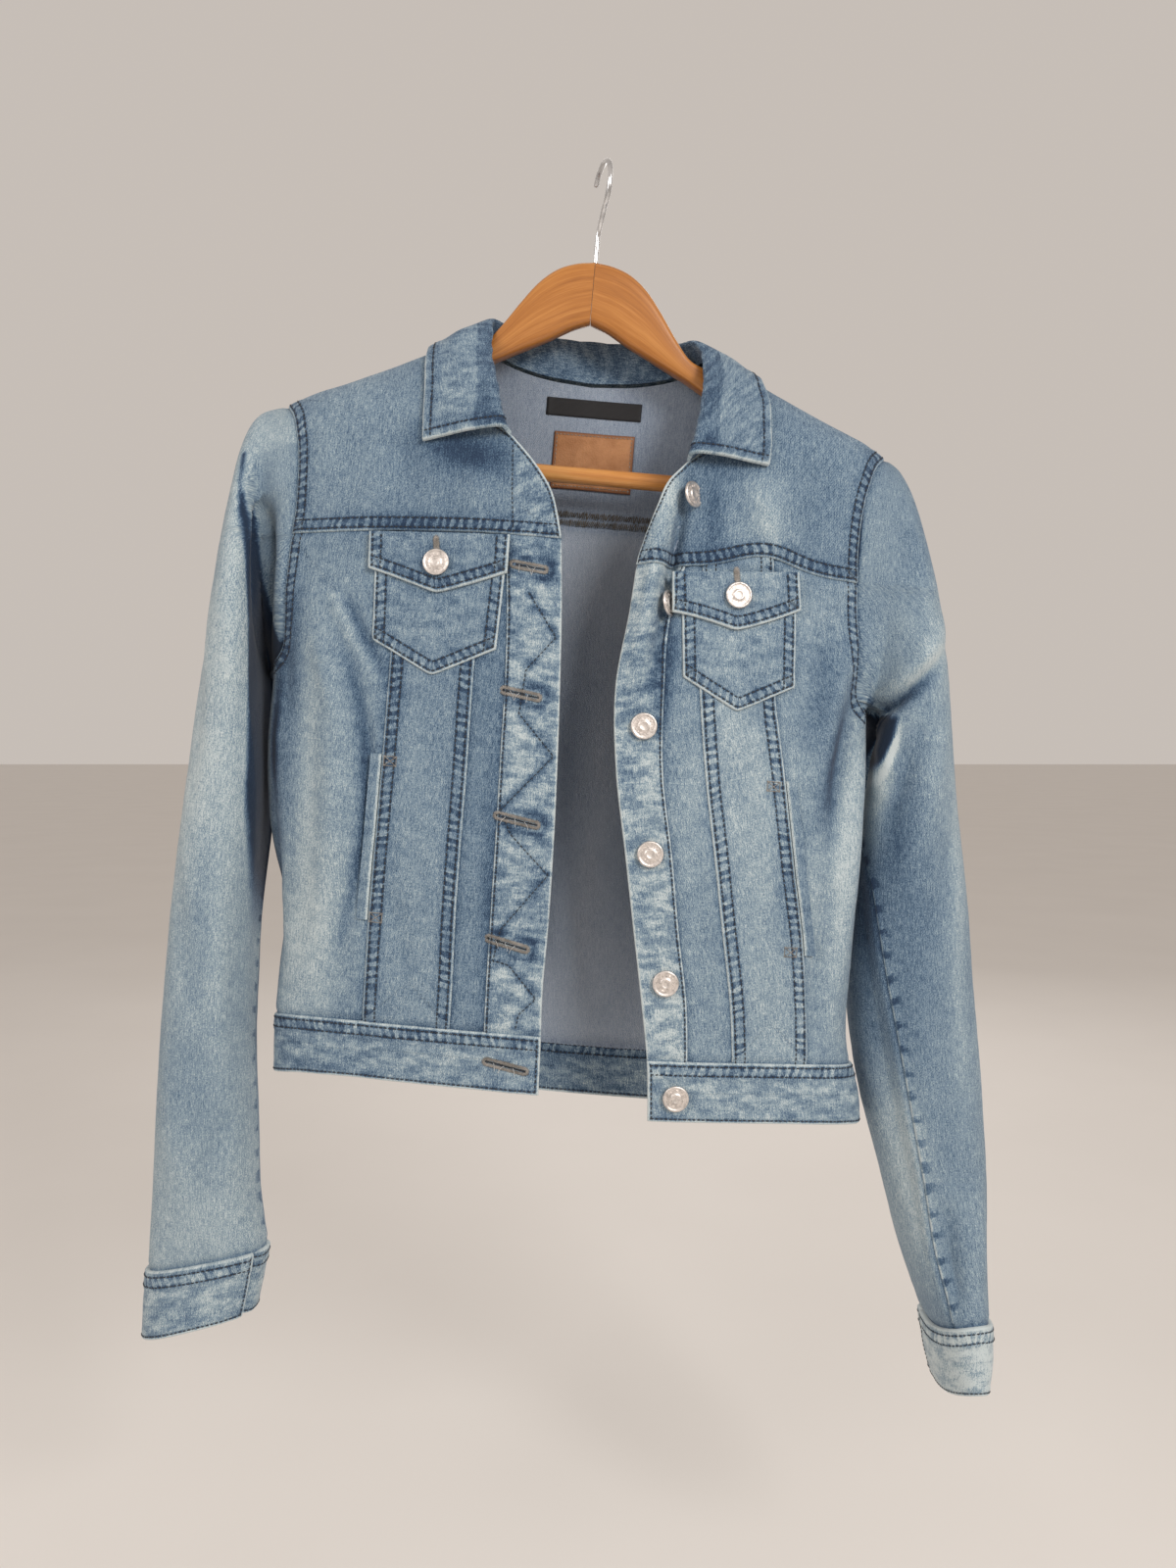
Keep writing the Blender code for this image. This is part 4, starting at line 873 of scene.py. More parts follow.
UNDERLAP_TUCK = -3.4  # how far in the cuff's under end lies


def column(rings, key, t):
    numbers = np.arange(len(rings[key]), dtype=float)
    return curve(numbers, rings[key], t)


def armhole_point(side, turn):
    """Point of the armhole seam at a turn in degrees: positive at the front, negative at the back."""
    down = armhole_down(np.abs(turn))
    front = torso(armhole_angle(side, down), down)
    back = torso(armhole_angle(side, down, back=True), down)
    return np.where((turn >= 0)[..., None], front, back)


def ring_point(rings, turn, t, squareness, dip=0.0):
    """Point of a ring that spans its outer and inner point."""
    outer = np.stack([column(rings, "out_x", t), column(rings, "y", t), -column(rings, "out_down", t)], -1)
    inner = np.stack([column(rings, "in_x", t), column(rings, "y", t), -column(rings, "in_down", t)], -1)
    across = power(np.cos(np.radians(turn)), 2 / squareness)[..., None]
    along = power(np.sin(np.radians(turn)), 2 / squareness)
    point = (outer + inner) / 2 + across * (outer - inner) / 2
    point[..., 1] -= column(rings, "reach", t) * along
    point[..., 2] -= dip * along * np.abs(along)
    return point


def tucked(side, turn, t, depth):
    """How far the cloth is pushed back behind the sleeve's pressed front edge."""
    start = curve(TUCK[side]["ring"], TUCK[side]["turn"], t)
    share = curve(TUCK[side]["ring"], TUCK[side]["share"], t)
    whole = np.where(turn < -110, turn + 360, turn)
    wall = column(SLEEVE[side], "y", t) + TUCK_WALL * column(SLEEVE[side], "reach", t)
    return share * ease((whole - start) / TUCK_TURN) * np.maximum(wall - depth, 0)


def plain_sleeve(side, turn, t):
    """Point of the sleeve before folds: t counts the rings from the armhole, turn goes round."""
    rings = SLEEVE[side]
    to_cuff = np.clip((t - 8) / (len(rings["y"]) - 9), 0, 1) ** 1.5
    point = ring_point(rings, turn, t, column(rings, "power", t), CUFF_DIP[side] * to_cuff)
    point[..., 1] += tucked(side, turn, t, point[..., 1])
    wrapped = (turn + 180) % 360 - 180
    on_body = armhole_point(side, np.where(turn == 180, 180.0, wrapped))
    return mix(point, on_body, ease(1 - t)[..., None])


def ring_centre(rings, t):
    x = (column(rings, "out_x", t) + column(rings, "in_x", t)) / 2
    down = (column(rings, "out_down", t) + column(rings, "in_down", t)) / 2
    return np.stack([x, column(rings, "y", t), -down], -1)


def outward(ring_place, turn, t, centre, step=2e-3):
    """Unit normals of a surface of rings that point away from centre."""
    across = ring_place(turn + 100 * step, t) - ring_place(turn - 100 * step, t)
    along = ring_place(turn, t + step) - ring_place(turn, t - step)
    return facing(unit(np.cross(across, along)), ring_place(turn, t) - centre)


print("sleeves:", {side: len(SLEEVE[side]["y"]) for side in SLEEVE}, "rings")

# %% [markdown]
# The folds of a sleeve are written as places seen from the front or from the back, like those of the body.
# Each place is looked up on the sleeve, so that its fold lies on the cloth.

# %% Folds of the sleeves
SLEEVE_FOLD_NAMES = "back " + THREE_PLACES + "height"
SLEEVE_FOLDS = {
    RIGHT: table(
        SLEEVE_FOLD_NAMES,
        (0, -222, 250, -212, 330, -208, 420, 9, 3.0),
        (0, -236, 300, -230, 380, -226, 470, 9, -2.0),
        (0, -238, 480, -228, 530, -222, 590, 10, -2.6),
        (0, -206, 470, -202, 560, -196, 640, 8, 2.4),
        (0, -232, 600, -226, 660, -214, 720, 11, 2.2),
        (0, -190, 640, -200, 680, -205, 730, 8, -2.0),
        (0, -206, 206, -199, 280, -197, 362, 7, -16),
        (0, -219, 206, -213, 290, -207, 380, 6, 3.0),
        (1, -232, 330, -214, 360, -196, 400, 9, -5),
        (1, -236, 420, -218, 440, -200, 470, 8, 3),
        (1, -240, 500, -220, 520, -202, 560, 9, -3.5),
        (1, -238, 620, -220, 650, -196, 690, 11, -2.5),
    ),
    LEFT: table(
        SLEEVE_FOLD_NAMES,
        (0, 202, 356, 218, 342, 256, 296, 5.5, -11),
        (0, 206, 338, 226, 322, 256, 276, 7, 5.5),
        (0, 207, 348, 209, 376, 207, 412, 7, -20),
        (0, 222, 340, 219, 372, 219, 410, 7, 4),
        (0, 240, 350, 230, 385, 224, 430, 7, -4),
        (0, 258, 330, 246, 400, 236, 470, 10, 3.2),
        (0, 270, 400, 262, 460, 262, 520, 10, -2.4),
        (0, 252, 500, 262, 580, 276, 650, 10, 2.4),
        (0, 283, 660, 292, 704, 298, 742, 7, -7),
        (0, 306, 640, 309, 690, 313, 735, 9, 3),
        (0, 214, 215, 222, 250, 226, 290, 9, -2.4),
        (1, 255, 330, 236, 360, 218, 400, 9, -5),
        (1, 268, 420, 245, 440, 222, 470, 8, 3),
        (1, 290, 500, 262, 520, 230, 560, 9, -3.5),
        (1, 310, 620, 286, 650, 258, 690, 11, -2.5),
    ),
}


def sleeve_fold_paths(side):
    """The paths of a sleeve's folds, looked up on its front or its back."""
    folds = SLEEVE_FOLDS[side]
    t, turn = np.meshgrid(np.linspace(0, 12, 121), np.linspace(2, 178, 89))
    faces = [plain_sleeve(side, turn * sign, t).reshape(-1, 3) for sign in (1, -1)]
    paths = []
    for path, back in zip(seen_paths(folds), folds["back"]):
        cloth = faces[int(back)]
        nearest = [np.argmin(((cloth[:, [0, 2]] - place) ** 2).sum(1)) for place in path * (1, -1)]
        paths.append(cloth[nearest])
    return paths


SLEEVE_PATHS = {side: sleeve_fold_paths(side) for side in (RIGHT, LEFT)}


def sleeve(side, turn, t):
    """Point of the sleeve with its folds."""
    point = plain_sleeve(side, turn, t)
    normal = outward(lambda a, b: plain_sleeve(side, a, b), turn, t, ring_centre(SLEEVE[side], t))
    height = fold_height(point, SLEEVE_PATHS[side], SLEEVE_FOLDS[side])
    return point + normal * (height * np.clip(t, 0, 1))[..., None]


def cuff(side, turn, v):
    """Point of the cuff: v is 0 at the sleeve and 1 at the cuff's edge."""
    return ring_point(CUFF[side], turn, 2 * v, 2.2 + 0 * v, CUFF_DIP[side])


def cuff_normal(side, turn, v):
    """Outward normal of the cuff."""
    return outward(lambda a, b: cuff(side, a, b), turn, v, ring_centre(CUFF[side], 2 * v))


print("sleeve folds:", {side: len(paths) for side, paths in SLEEVE_PATHS.items()})

# %% [markdown]
# ## Collar
# The collar is one strip that stands up from the neck seam, folds over and falls on the shoulders. Eight
# control points at each station carry it across that fold. Where it would sink into the shoulder, it is
# pushed out, as the shoulder itself would do.

# %% Surface of the collar
# Collar: the fold line and the outer edge at stations from the wearer's right front end, round the
# back of the neck, to the left front end. The seam side follows the neckline. The edge is placed by the
# square root of its distance below the shoulder line, negative on the back.
COLLAR = table(
    "station fold_x fold_y fold_down edge_x edge_drop",
    (0, -47, -50, 190, -98, 8.35),
    (1, -51, -46, 175, -99.5, 7.3),
    (2, -57, -34, 154, -101, 5.9),
    (3, -62, -21, 137, -103, 4.3),
    (4, -64, -9, 119, -104, 2.4),
    (5, -65, 2, 107, -101, -1.2),
    (6, -52, 15, 107, -82, -4.7),
    (7, -31, 22, 109, -50, -6.7),
    (8, 3, 26, 107.5, 3, -8.5),
    (9, 38, 22, 109.5, 57, -6.7),
    (10, 58, 15, 109, 90, -4.7),
    (11, 71, 2, 110, 110, -1.2),
    (12, 77, -10, 124, 117, 2.6),
    (13, 78, -22, 140, 121, 4.1),
    (14, 77.5, -34, 157, 122, 5.5),
    (15, 74.5, -46, 180, 123, 6.8),
    (16, 72, -52, 197, 122, 7.7),
)
COLLAR_LIFT = 3.4  # of the leaf's middle layer over the panel under it
STATIONS = 16


def neckline(station):
    """Point of the neck seam at each collar station: fronts up to the shoulders, and the back between."""
    first, last = NECK_ROWS, STATIONS - NECK_ROWS  # the stations on the two shoulders
    points = []
    for s in station:
        if s <= first:
            x, down = inner_edge(RIGHT, np.array(first - s))
        elif s >= last:
            x, down = inner_edge(LEFT, np.array(s - last))
        else:
            out = (2 * s - STATIONS) / (last - first) * NECK_HALF
            x = BODY["centre"][0] + out
            down = curve(NECK_BACK["out"], NECK_BACK["down"], np.abs(out))
        points.append(torso(angle_at(x, down, back=first < s < last), down))
    return np.array(points)


def shoulder_normal(x, drop):
    """Outward normal of the body at a place given as for over_shoulder."""
    along_x = over_shoulder(x + 0.5, drop) - over_shoulder(x - 0.5, drop)
    along_drop = over_shoulder(x, drop + 0.05) - over_shoulder(x, drop - 0.05)
    point = over_shoulder(x, drop)
    inside = flattened(point) - np.array([0.0, 0.0, 25.0])
    return facing(unit(np.cross(along_x, along_drop)), point - inside)


def kept_clear(points, front, least):
    """The points, pushed out where they come nearer to the body than least."""
    drop = drop_to(points[:, 0], -points[:, 2]) * np.where(front, 1, -1)
    normal = shoulder_normal(points[:, 0], drop)
    clear = np.sum((points - over_shoulder(points[:, 0], drop)) * normal, axis=-1)
    return points + normal * np.maximum(least - clear, 0)[:, None]


def collar_profiles(station):
    """Control points across the collar at each station, from the neck seam over the fold to the edge."""
    fold_x, fold_y, fold_down, edge_x, edge_drop = (curve(COLLAR["station"], COLLAR[key], station)
                                                    for key in list(COLLAR)[1:])
    fold = np.stack([fold_x, fold_y, -fold_down], -1)
    seam = neckline(station)
    front = edge_drop > 0
    edge = over_shoulder(edge_x, edge_drop) + COLLAR_LIFT * shoulder_normal(edge_x, edge_drop)
    stand = unit(fold - seam)
    away = unit(shoulder_normal(edge_x, edge_drop) + np.array([0, 0, 0.3]))
    start = seam + stand * 1.9
    fold_in = fold - stand * 3.5
    fold_out = fold + unit(edge - fold) * 4.5 + away * 2.4
    inner_leaf = kept_clear(mix(fold_out, edge, 0.36) + away * 1.6, front, COLLAR_LIFT + 1.4)
    outer_leaf = kept_clear(mix(fold_out, edge, 0.7) + away * 0.8, front, COLLAR_LIFT + 0.6)
    middle = mix(start, fold_in, 0.5)
    return np.stack([start, middle, fold_in, fold, fold_out, inner_leaf, outer_leaf, edge], 1)


def collar_grid(across, along):
    """Points of the collar for every pair of a control number across and a station along."""
    station = np.linspace(0, STATIONS, 29)
    control = collar_profiles(station)
    controls = np.arange(control.shape[1], dtype=float)
    points = np.zeros((len(along), len(across), 3))
    for axis in range(3):
        profiles = np.array([curve(controls, row, across) for row in control[:, :, axis]])
        for j in range(len(across)):
            points[:, j, axis] = curve(station, profiles[:, j], along)
    return points


print("collar: stations from 0 to", STATIONS)

# %% [markdown]
# The whole jacket is tilted at the very end, because the hanger doesn't hang level.

# %% From the jacket's frame to the model's
def world(points):
    """From the jacket's frame in millimetres to the tilted one in metres."""
    x = points[..., 0] * math.cos(TILT) + points[..., 2] * math.sin(TILT)
    z = points[..., 2] * math.cos(TILT) - points[..., 0] * math.sin(TILT)
    return np.stack([x, points[..., 1], z], -1) * MM


def world_direction(vectors):
    """Directions, turned as the points are."""
    return world(vectors) / MM


print("tilt:", round(math.degrees(TILT), 1), "degrees")

# %% [markdown]
# ## Small unevenness
# Washed denim is never smooth: between the large folds it is full of low, uneven ripples, longer down the
# jacket than across it. They come from seeded noise at a few sizes. Near the armholes and the neck they
# fade out, so that two pieces that meet at an angle still fit.

# %% Ripples of the cloth
LATTICE = 24  # random values along each side of a block that repeats


def soft_noise(points, size, seed):
    """Smooth noise between -1 and 1 with lumps of this size."""
    lattice = np.random.default_rng(seed).uniform(-1, 1, (LATTICE, LATTICE, LATTICE))
    cell = points / size
    low = np.floor(cell).astype(int)
    t = ease(cell - low)
    found = np.zeros(points.shape[:-1])
    for corner in itertools.product((0, 1), repeat=3):
        weight = np.prod(np.where(corner, t, 1 - t), axis=-1)
        x, y, z = np.moveaxis((low + corner) % LATTICE, -1, 0)
        found += weight * lattice[x, y, z]
    return found


def along_line(line):
    """How far each point of a line is from its start."""
    steps = np.linalg.norm(np.diff(line, axis=0), axis=1)
    return np.concatenate([[0.0], np.cumsum(steps)])


def distance_to_line(points, line):
    """Distance from a line of points, how far along it the nearest place is, and that place's height."""
    flat = points.reshape(-1, 3)
    squares = (flat ** 2).sum(1)[:, None] + (line ** 2).sum(1)[None] - 2 * flat @ line.T
    nearest = np.argmin(squares, axis=1)
    reach = along_line(line)
    best = np.full(len(flat), FAR)
    place = np.zeros(len(flat))
    for first in (np.maximum(nearest - 1, 0), np.minimum(nearest, len(line) - 2)):
        run = line[first + 1] - line[first]
        span = np.maximum((run ** 2).sum(1), 1e-12)
        t = np.clip(((flat - line[first]) * run).sum(1) / span, 0, 1)
        away = np.linalg.norm(flat - line[first] - t[:, None] * run, axis=1)
        closer = away < best
        best = np.where(closer, away, best)
        place = np.where(closer, mix(reach[first], reach[first + 1], t), place)
    shape = points.shape[:-1]
    down = np.interp(place, reach, -line[:, 2])
    return best.reshape(shape), place.reshape(shape), down.reshape(shape)


def quiet_lines():
    """The armholes and the neck seam, where the ripples fade out."""
    turns = np.linspace(-180, 180, 97)
    lines = [armhole_point(side, turns) for side in (RIGHT, LEFT)]
    lines.append(neckline(np.linspace(0, STATIONS, 65)))
    return lines


QUIET = quiet_lines()


def ripples(points, amount=1.0):
    """Height of the low ripples at these points."""
    squeezed = points * np.array([1.0, 1.0, 0.45])
    height = 0.85 * soft_noise(squeezed, 46.0, 3)
    height += 0.42 * soft_noise(squeezed, 21.0, 4)
    height += 0.16 * soft_noise(points, 9.0, 5)
    calm = np.ones(points.shape[:-1])
    for line in QUIET:
        away, _, _ = distance_to_line(points, line)
        calm *= 1 - np.exp(-((away / 14.0) ** 2))
    return amount * height * calm


print("ripples fade near", len(QUIET), "lines")

# %% [markdown]
# ## A fine grid on a surface
# A panel becomes a grid of points. Near a seam the lines of the grid lie close together, because there the
# cloth changes height within a millimetre; between the seams they are wide apart, which keeps the mesh
# small. The lines are placed by true distance along the cloth, not by the surface's own numbers.

# %% Grids with close lines near the seams
CLOSE = (0.0, 0.45, 1.1, 1.9, 2.8, 4.2, 5.8, 7.4, 8.6, 9.8, 11.6)
STEP = 2.5  # between the lines in the open cloth
SMALL_STEP = 2.0  # the same, on small pieces
SAMPLE = 1.6  # of the first, even grid


def turned(grid):
    return np.swapaxes(grid, 0, 1)


def reach_across(points):
    """How far each point of a grid is from the first one of its row, along the cloth."""
    steps = np.linalg.norm(np.diff(points, axis=1), axis=2)
    return np.concatenate([np.zeros((len(points), 1)), np.cumsum(steps, axis=1)], axis=1)


def reach_below(points):
    """How far each point of a grid is from the first one of its column."""
    return turned(reach_across(turned(points)))


def spaced_columns(points, step):
    """The grid with its columns at set distances from both ends of each row."""
    close = np.array(CLOSE)
    reach = reach_across(points)
    middle = max(int((reach[:, -1].max() - 2 * close[-1]) / step), 1)
    middle += 1 - middle % 2
    made = np.empty((len(points), 2 * len(close) + middle, 3))
    for i, row in enumerate(points):
        length = reach[i, -1]
        near = close * min(1.0, 0.44 * length / close[-1])
        between = np.linspace(near[-1], length - near[-1], middle + 2)[1:-1]
        where = np.concatenate([near, between, length - near[::-1]])
        for axis in range(3):
            made[i, :, axis] = np.interp(where, reach[i], row[:, axis])
    return made


def spaced(points, step):
    """The same in both directions."""
    return turned(spaced_columns(turned(spaced_columns(points, step)), step))


def fine_grid(place, us=(0, 1), vs=(0, 1), step=STEP):
    """Points of place(u, v) between the ends of us and vs."""
    u, v = np.meshgrid(np.linspace(*us, 13), np.linspace(*vs, 13))
    rough = place(u, v)
    wide = reach_across(rough)[:, -1].max()
    tall = reach_below(rough)[-1].max()
    u, v = np.meshgrid(np.linspace(*us, int(wide / SAMPLE) + 2), np.linspace(*vs, int(tall / SAMPLE) + 2))
    return spaced(place(u, v), step)


def grid_normals(points, centre):
    """Unit normals of a grid that point away from centre, and whether they had to be turned."""
    found = unit(np.cross(unit(np.gradient(points, axis=1)), unit(np.gradient(points, axis=0))))
    if np.sum(found * (points - centre)) < 0:
        return -found, True
    return found, False


sample = fine_grid(panel(LEFT, seam_angle(LEFT, "inner"), seam_angle(LEFT, "outer")))
print("a middle panel has", sample.shape[0], "x", sample.shape[1], "points")

# %% [markdown]
# ## Seams
# Denim is sewn with felled seams: one panel is folded over its neighbour and held by two rows of
# stitches. The upper panel ends in a raised, rounded edge, the thread pulls two furrows into it, and the
# lower panel dives under it. After washing, the band between the rows is puckered into small ladders.
# Each kind of seam is a short record: how the edge lies, where its rows are, and how strongly it puckers.

# %% Kinds of seams
def seam(lies, rows=(), pucker=0.0, width=9.6, rise=0.5):
    return {"lies": lies, "rows": rows, "pucker": pucker, "width": width, "rise": rise}


UNDER = seam("under")
BUTTED = seam("butted")
FELLED = seam("over", (2.3, 8.4), 1.0)
ARM_SEAM = seam("over", (1.9, 7.4), 0.9, 8.6)
PLACKET_SEAM = seam("over", (1.6,), 0.7, 6.0, 0.4)
FREE = seam("free", (), 0.35, 4.0, 0.3)
FREE_ROW = seam("free", (2.0,), 0.3, 4.0, 0.3)
HEM_TOP = seam("over", (2.4, 8.3), 0.8)
HEM_EDGE = seam("free", (2.2,), 0.5, 5.0, 0.3)
POCKET_EDGE = seam("free", (2.0, 7.6), 0.8, 8.8, 0.3)
FLAP_EDGE = seam("free", (2.4, 8.0), 0.8, 9.2, 0.3)
COLLAR_EDGE = seam("free", (5.8,), 1.0, 8.0, 0.5)
CUFF_TOP = seam("over", (3.6, 10.0), 0.6, 11.0, 0.8)
SLEEVE_SEAM = seam("over", (), -1.0, 1.6, 0.45)
REACH_UNDER = (1.2, 2.4)  # how far an under edge runs on beneath its neighbour
SINK = 0.95  # how deep it dives


def spans_of(edge):
    """Parts (from, to, seam) of an edge by height: an edge is one seam, or a list of (lower end, seam)."""
    parts = [(FAR, edge)] if isinstance(edge, dict) else edge
    starts = [-FAR] + [limit for limit, _ in parts[:-1]]
    return [(start, limit, kind) for start, (limit, kind) in zip(starts, parts)]


def pucker_lumps(place, away, seed):
    """Small slanting ridges across a seam, uneven in length."""
    flat = np.stack([place + 0.35 * away, 0.35 * away, 0 * away], -1)
    fine = soft_noise(flat, 3.1, seed)
    coarse = soft_noise(flat, 8.0, seed + 1)
    return 0.7 * fine + 0.5 * coarse


print("seam kinds:", [s["lies"] for s in (UNDER, BUTTED, FELLED, FREE)])

# %% [markdown]
# ## From grid to cloth
# The grid is pushed out by half the cloth's thickness on each side, so a piece is a thin closed shell. The
# outer side gets the seams' relief. The inner side needs half as many lines, and a strip of faces with
# five corners joins the two. Where each point lies on the seams is kept as attributes, which the denim
# material reads to paint the wear; one of them also carries the painted light and shade of the folds.

# %% Shells of cloth
CLOTH, DOUBLE = 1.4, 2.2  # one layer of denim, and two layers sewn together
ROUND_CORNER = 25.0  # beyond this distance from a side, the distance along the cloth serves
OFF_SEAM, NO_ROW = 60.0, 80.0  # what stands for "no seam near" and "no row"
SHARP_FOLD = 62.0  # degrees
SIDES = {"n": (0, 1), "s": (0, -1), "w": (1, 1), "e": (1, -1)}
PIECES = {}


def side_line(grid, side):
    axis, end = SIDES[side]
    lines = grid if axis == 0 else turned(grid)
    return lines[0] if end == 1 else lines[-1]


def extended(grid, side, lengths):
    """The grid with two more lines beyond a side, straight on."""
    axis, end = SIDES[side]
    lines = grid if axis == 0 else turned(grid)
    if end == -1:
        lines = lines[::-1]
    run = unit(lines[0] - lines[2])
    more = np.stack([lines[0] + run * length for length in lengths[::-1]])
    lines = np.concatenate([more, lines])
    if end == -1:
        lines = lines[::-1]
    return lines if axis == 0 else turned(lines)


def measure_sides(grid, edges):
    """For each side: its distance from every point, the place along it, and the height there."""
    found = {}
    across, below = reach_across(grid), reach_below(grid)
    arcs = {"w": across, "e": across[:, -1:] - across, "n": below, "s": below[-1:] - below}
    for side in edges:
        away, place, down = distance_to_line(grid, side_line(grid, side))
        found[side] = (np.where(arcs[side] > ROUND_CORNER, arcs[side], away), place, down)
    return found


def spread_sides(found, side, lengths):
    """The same measures after the grid was extended beyond a side."""
    axis, end = SIDES[side]
    for other, values in found.items():
        grown = []
        for number, value in enumerate(values):
            lines = value if axis == 0 else value.T
            first = lines[:1] if end == 1 else lines[-1:]
            more = np.repeat(first, 2, axis=0)
            if other == side and number == 0:
                more = more - np.array(lengths)[::-1 if end == 1 else 1][:, None]
            lines = np.concatenate([more, lines] if end == 1 else [lines, more])
            grown.append(lines if axis == 0 else lines.T)
        found[other] = tuple(grown)


def relief(found, edges, seed):
    """Heights that the seams add to both sides and to the outer side only, and the paint attributes."""
    shape = next(iter(found.values()))[0].shape
    both, outer, fade = np.zeros(shape), np.zeros(shape), np.zeros(shape)
    nearest = np.full(shape, OFF_SEAM)
    where = np.zeros(shape + (3,))
    rows = np.zeros(shape + (3,))
    where[..., 1] = OFF_SEAM
    rows[..., :2] = NO_ROW
    for number, (side, edge) in enumerate(edges.items()):
        away, place, down = found[side]
        for start, limit, kind in spans_of(edge):
            here = (down >= start) & (down < limit)
            near = here * (1 - ease((away - kind["width"]) / 2.0))
            if kind["lies"] == "under":
                both += here * -SINK * (1 - ease(away / 4.5))
                # Darker beside the edge that laps over it: unfaded dye, and painted shade of the raised
                # edge.
                fade += here * -0.5 * np.exp(-np.maximum(away, 0) / 1.8)
            if kind["lies"] in ("over", "free"):
                outer += near * kind["rise"] * ease(away / 0.9)
                outer -= here * 0.42 * (1 - ease(away / 0.9))
                lumps = pucker_lumps(place, away, 20 * number + seed)
                strength = max(kind["pucker"], 0.0)
                outer += near * ease((away - 0.4) / 1.2) * 0.2 * strength * lumps
                fade += near * 0.10 * strength * lumps
            if kind["lies"] == "free":
                both -= here * 0.12 * (1 - ease(away / 0.8))
                fade += here * (0.5 if kind["rows"] else 0.2) * np.exp(-((away / 2.2) ** 2))
            for row in kind["rows"]:
                outer -= here * 0.24 * np.exp(-(((away - row) / 0.7) ** 2))
            if kind["lies"] == "butted":
                continue
            closer = here & (away < nearest)
            nearest = np.where(closer, away, nearest)
            lies = np.full(shape, -1.0 if kind["lies"] == "under" else 1.0)
            where[closer] = np.stack([place, away, lies], -1)[closer]
            rows[closer] = (*(*kind["rows"], NO_ROW, NO_ROW)[:2], kind["pucker"])
    return both, outer, fade, where, rows


def add_smooth(name, mesh, degrees):
    """An object with smooth shading, but for edges that bend by more than this angle."""
    mesh.shade_smooth()
    mesh.set_sharp_from_angle(angle=math.radians(degrees))
    return add_object(name, mesh)


def shell_mesh(name, outer, inner, uv, data, materials, flipped):
    """A closed mesh from the fine outer grid and every second line of the inner one."""
    inner = inner[::2, ::2]
    (high, wide), (low, narrow) = outer.shape[:2], inner.shape[:2]
    number = np.arange(high * wide).reshape(high, wide)
    under = high * wide + np.arange(low * narrow).reshape(low, narrow)

    def quads(grid):
        return np.stack([grid[:-1, :-1], grid[:-1, 1:], grid[1:, 1:], grid[1:, :-1]], -1).reshape(-1, 4)

    def rim(grid):
        return np.concatenate([grid[0, :-1], grid[:-1, -1], grid[-1, :0:-1], grid[:0:-1, 0]])

    fronts, backs = quads(number), quads(under)[:, [0, 3, 2, 1]]
    faces = fronts.tolist() + backs.tolist()

    far, close = rim(number), rim(under)
    for k in range(len(close)):
        after = (k + 1) % len(close)
        faces.append([far[(2 * k + 2) % len(far)], far[2 * k + 1], far[2 * k], close[k], close[after]])
    if flipped:
        faces = [face[::-1] for face in faces]
    points = world(np.concatenate([outer.reshape(-1, 3), inner.reshape(-1, 3)]))
    mesh = bpy.data.meshes.new(name)
    mesh.from_pydata(points.tolist(), [], faces)
    for made in materials:
        mesh.materials.append(made)
    index = np.zeros(len(faces), int)
    index[len(fronts):len(fronts) + len(backs)] = 1
    mesh.polygons.foreach_set("material_index", index)
    corner = np.empty(len(mesh.loops), int)
    mesh.loops.foreach_get("vertex_index", corner)
    flat_uv = np.concatenate([uv.reshape(-1, 2), uv[::2, ::2].reshape(-1, 2)])
    layer = mesh.uv_layers.new(name="UVMap")
    layer.data.foreach_set("uv", flat_uv[corner].ravel())
    for key, value in data.items():
        value = value[..., None] if value.ndim == 2 else value
        whole = np.concatenate([value.reshape(high * wide, -1), value[::2, ::2].reshape(low * narrow, -1)])
        kind = "FLOAT" if whole.shape[1] == 1 else "FLOAT_VECTOR"
        slot = mesh.attributes.new(key, kind, "POINT")
        slot.data.foreach_set("value" if kind == "FLOAT" else "vector", whole.astype(np.float32).ravel())
    return add_smooth(name, mesh, SHARP_FOLD)


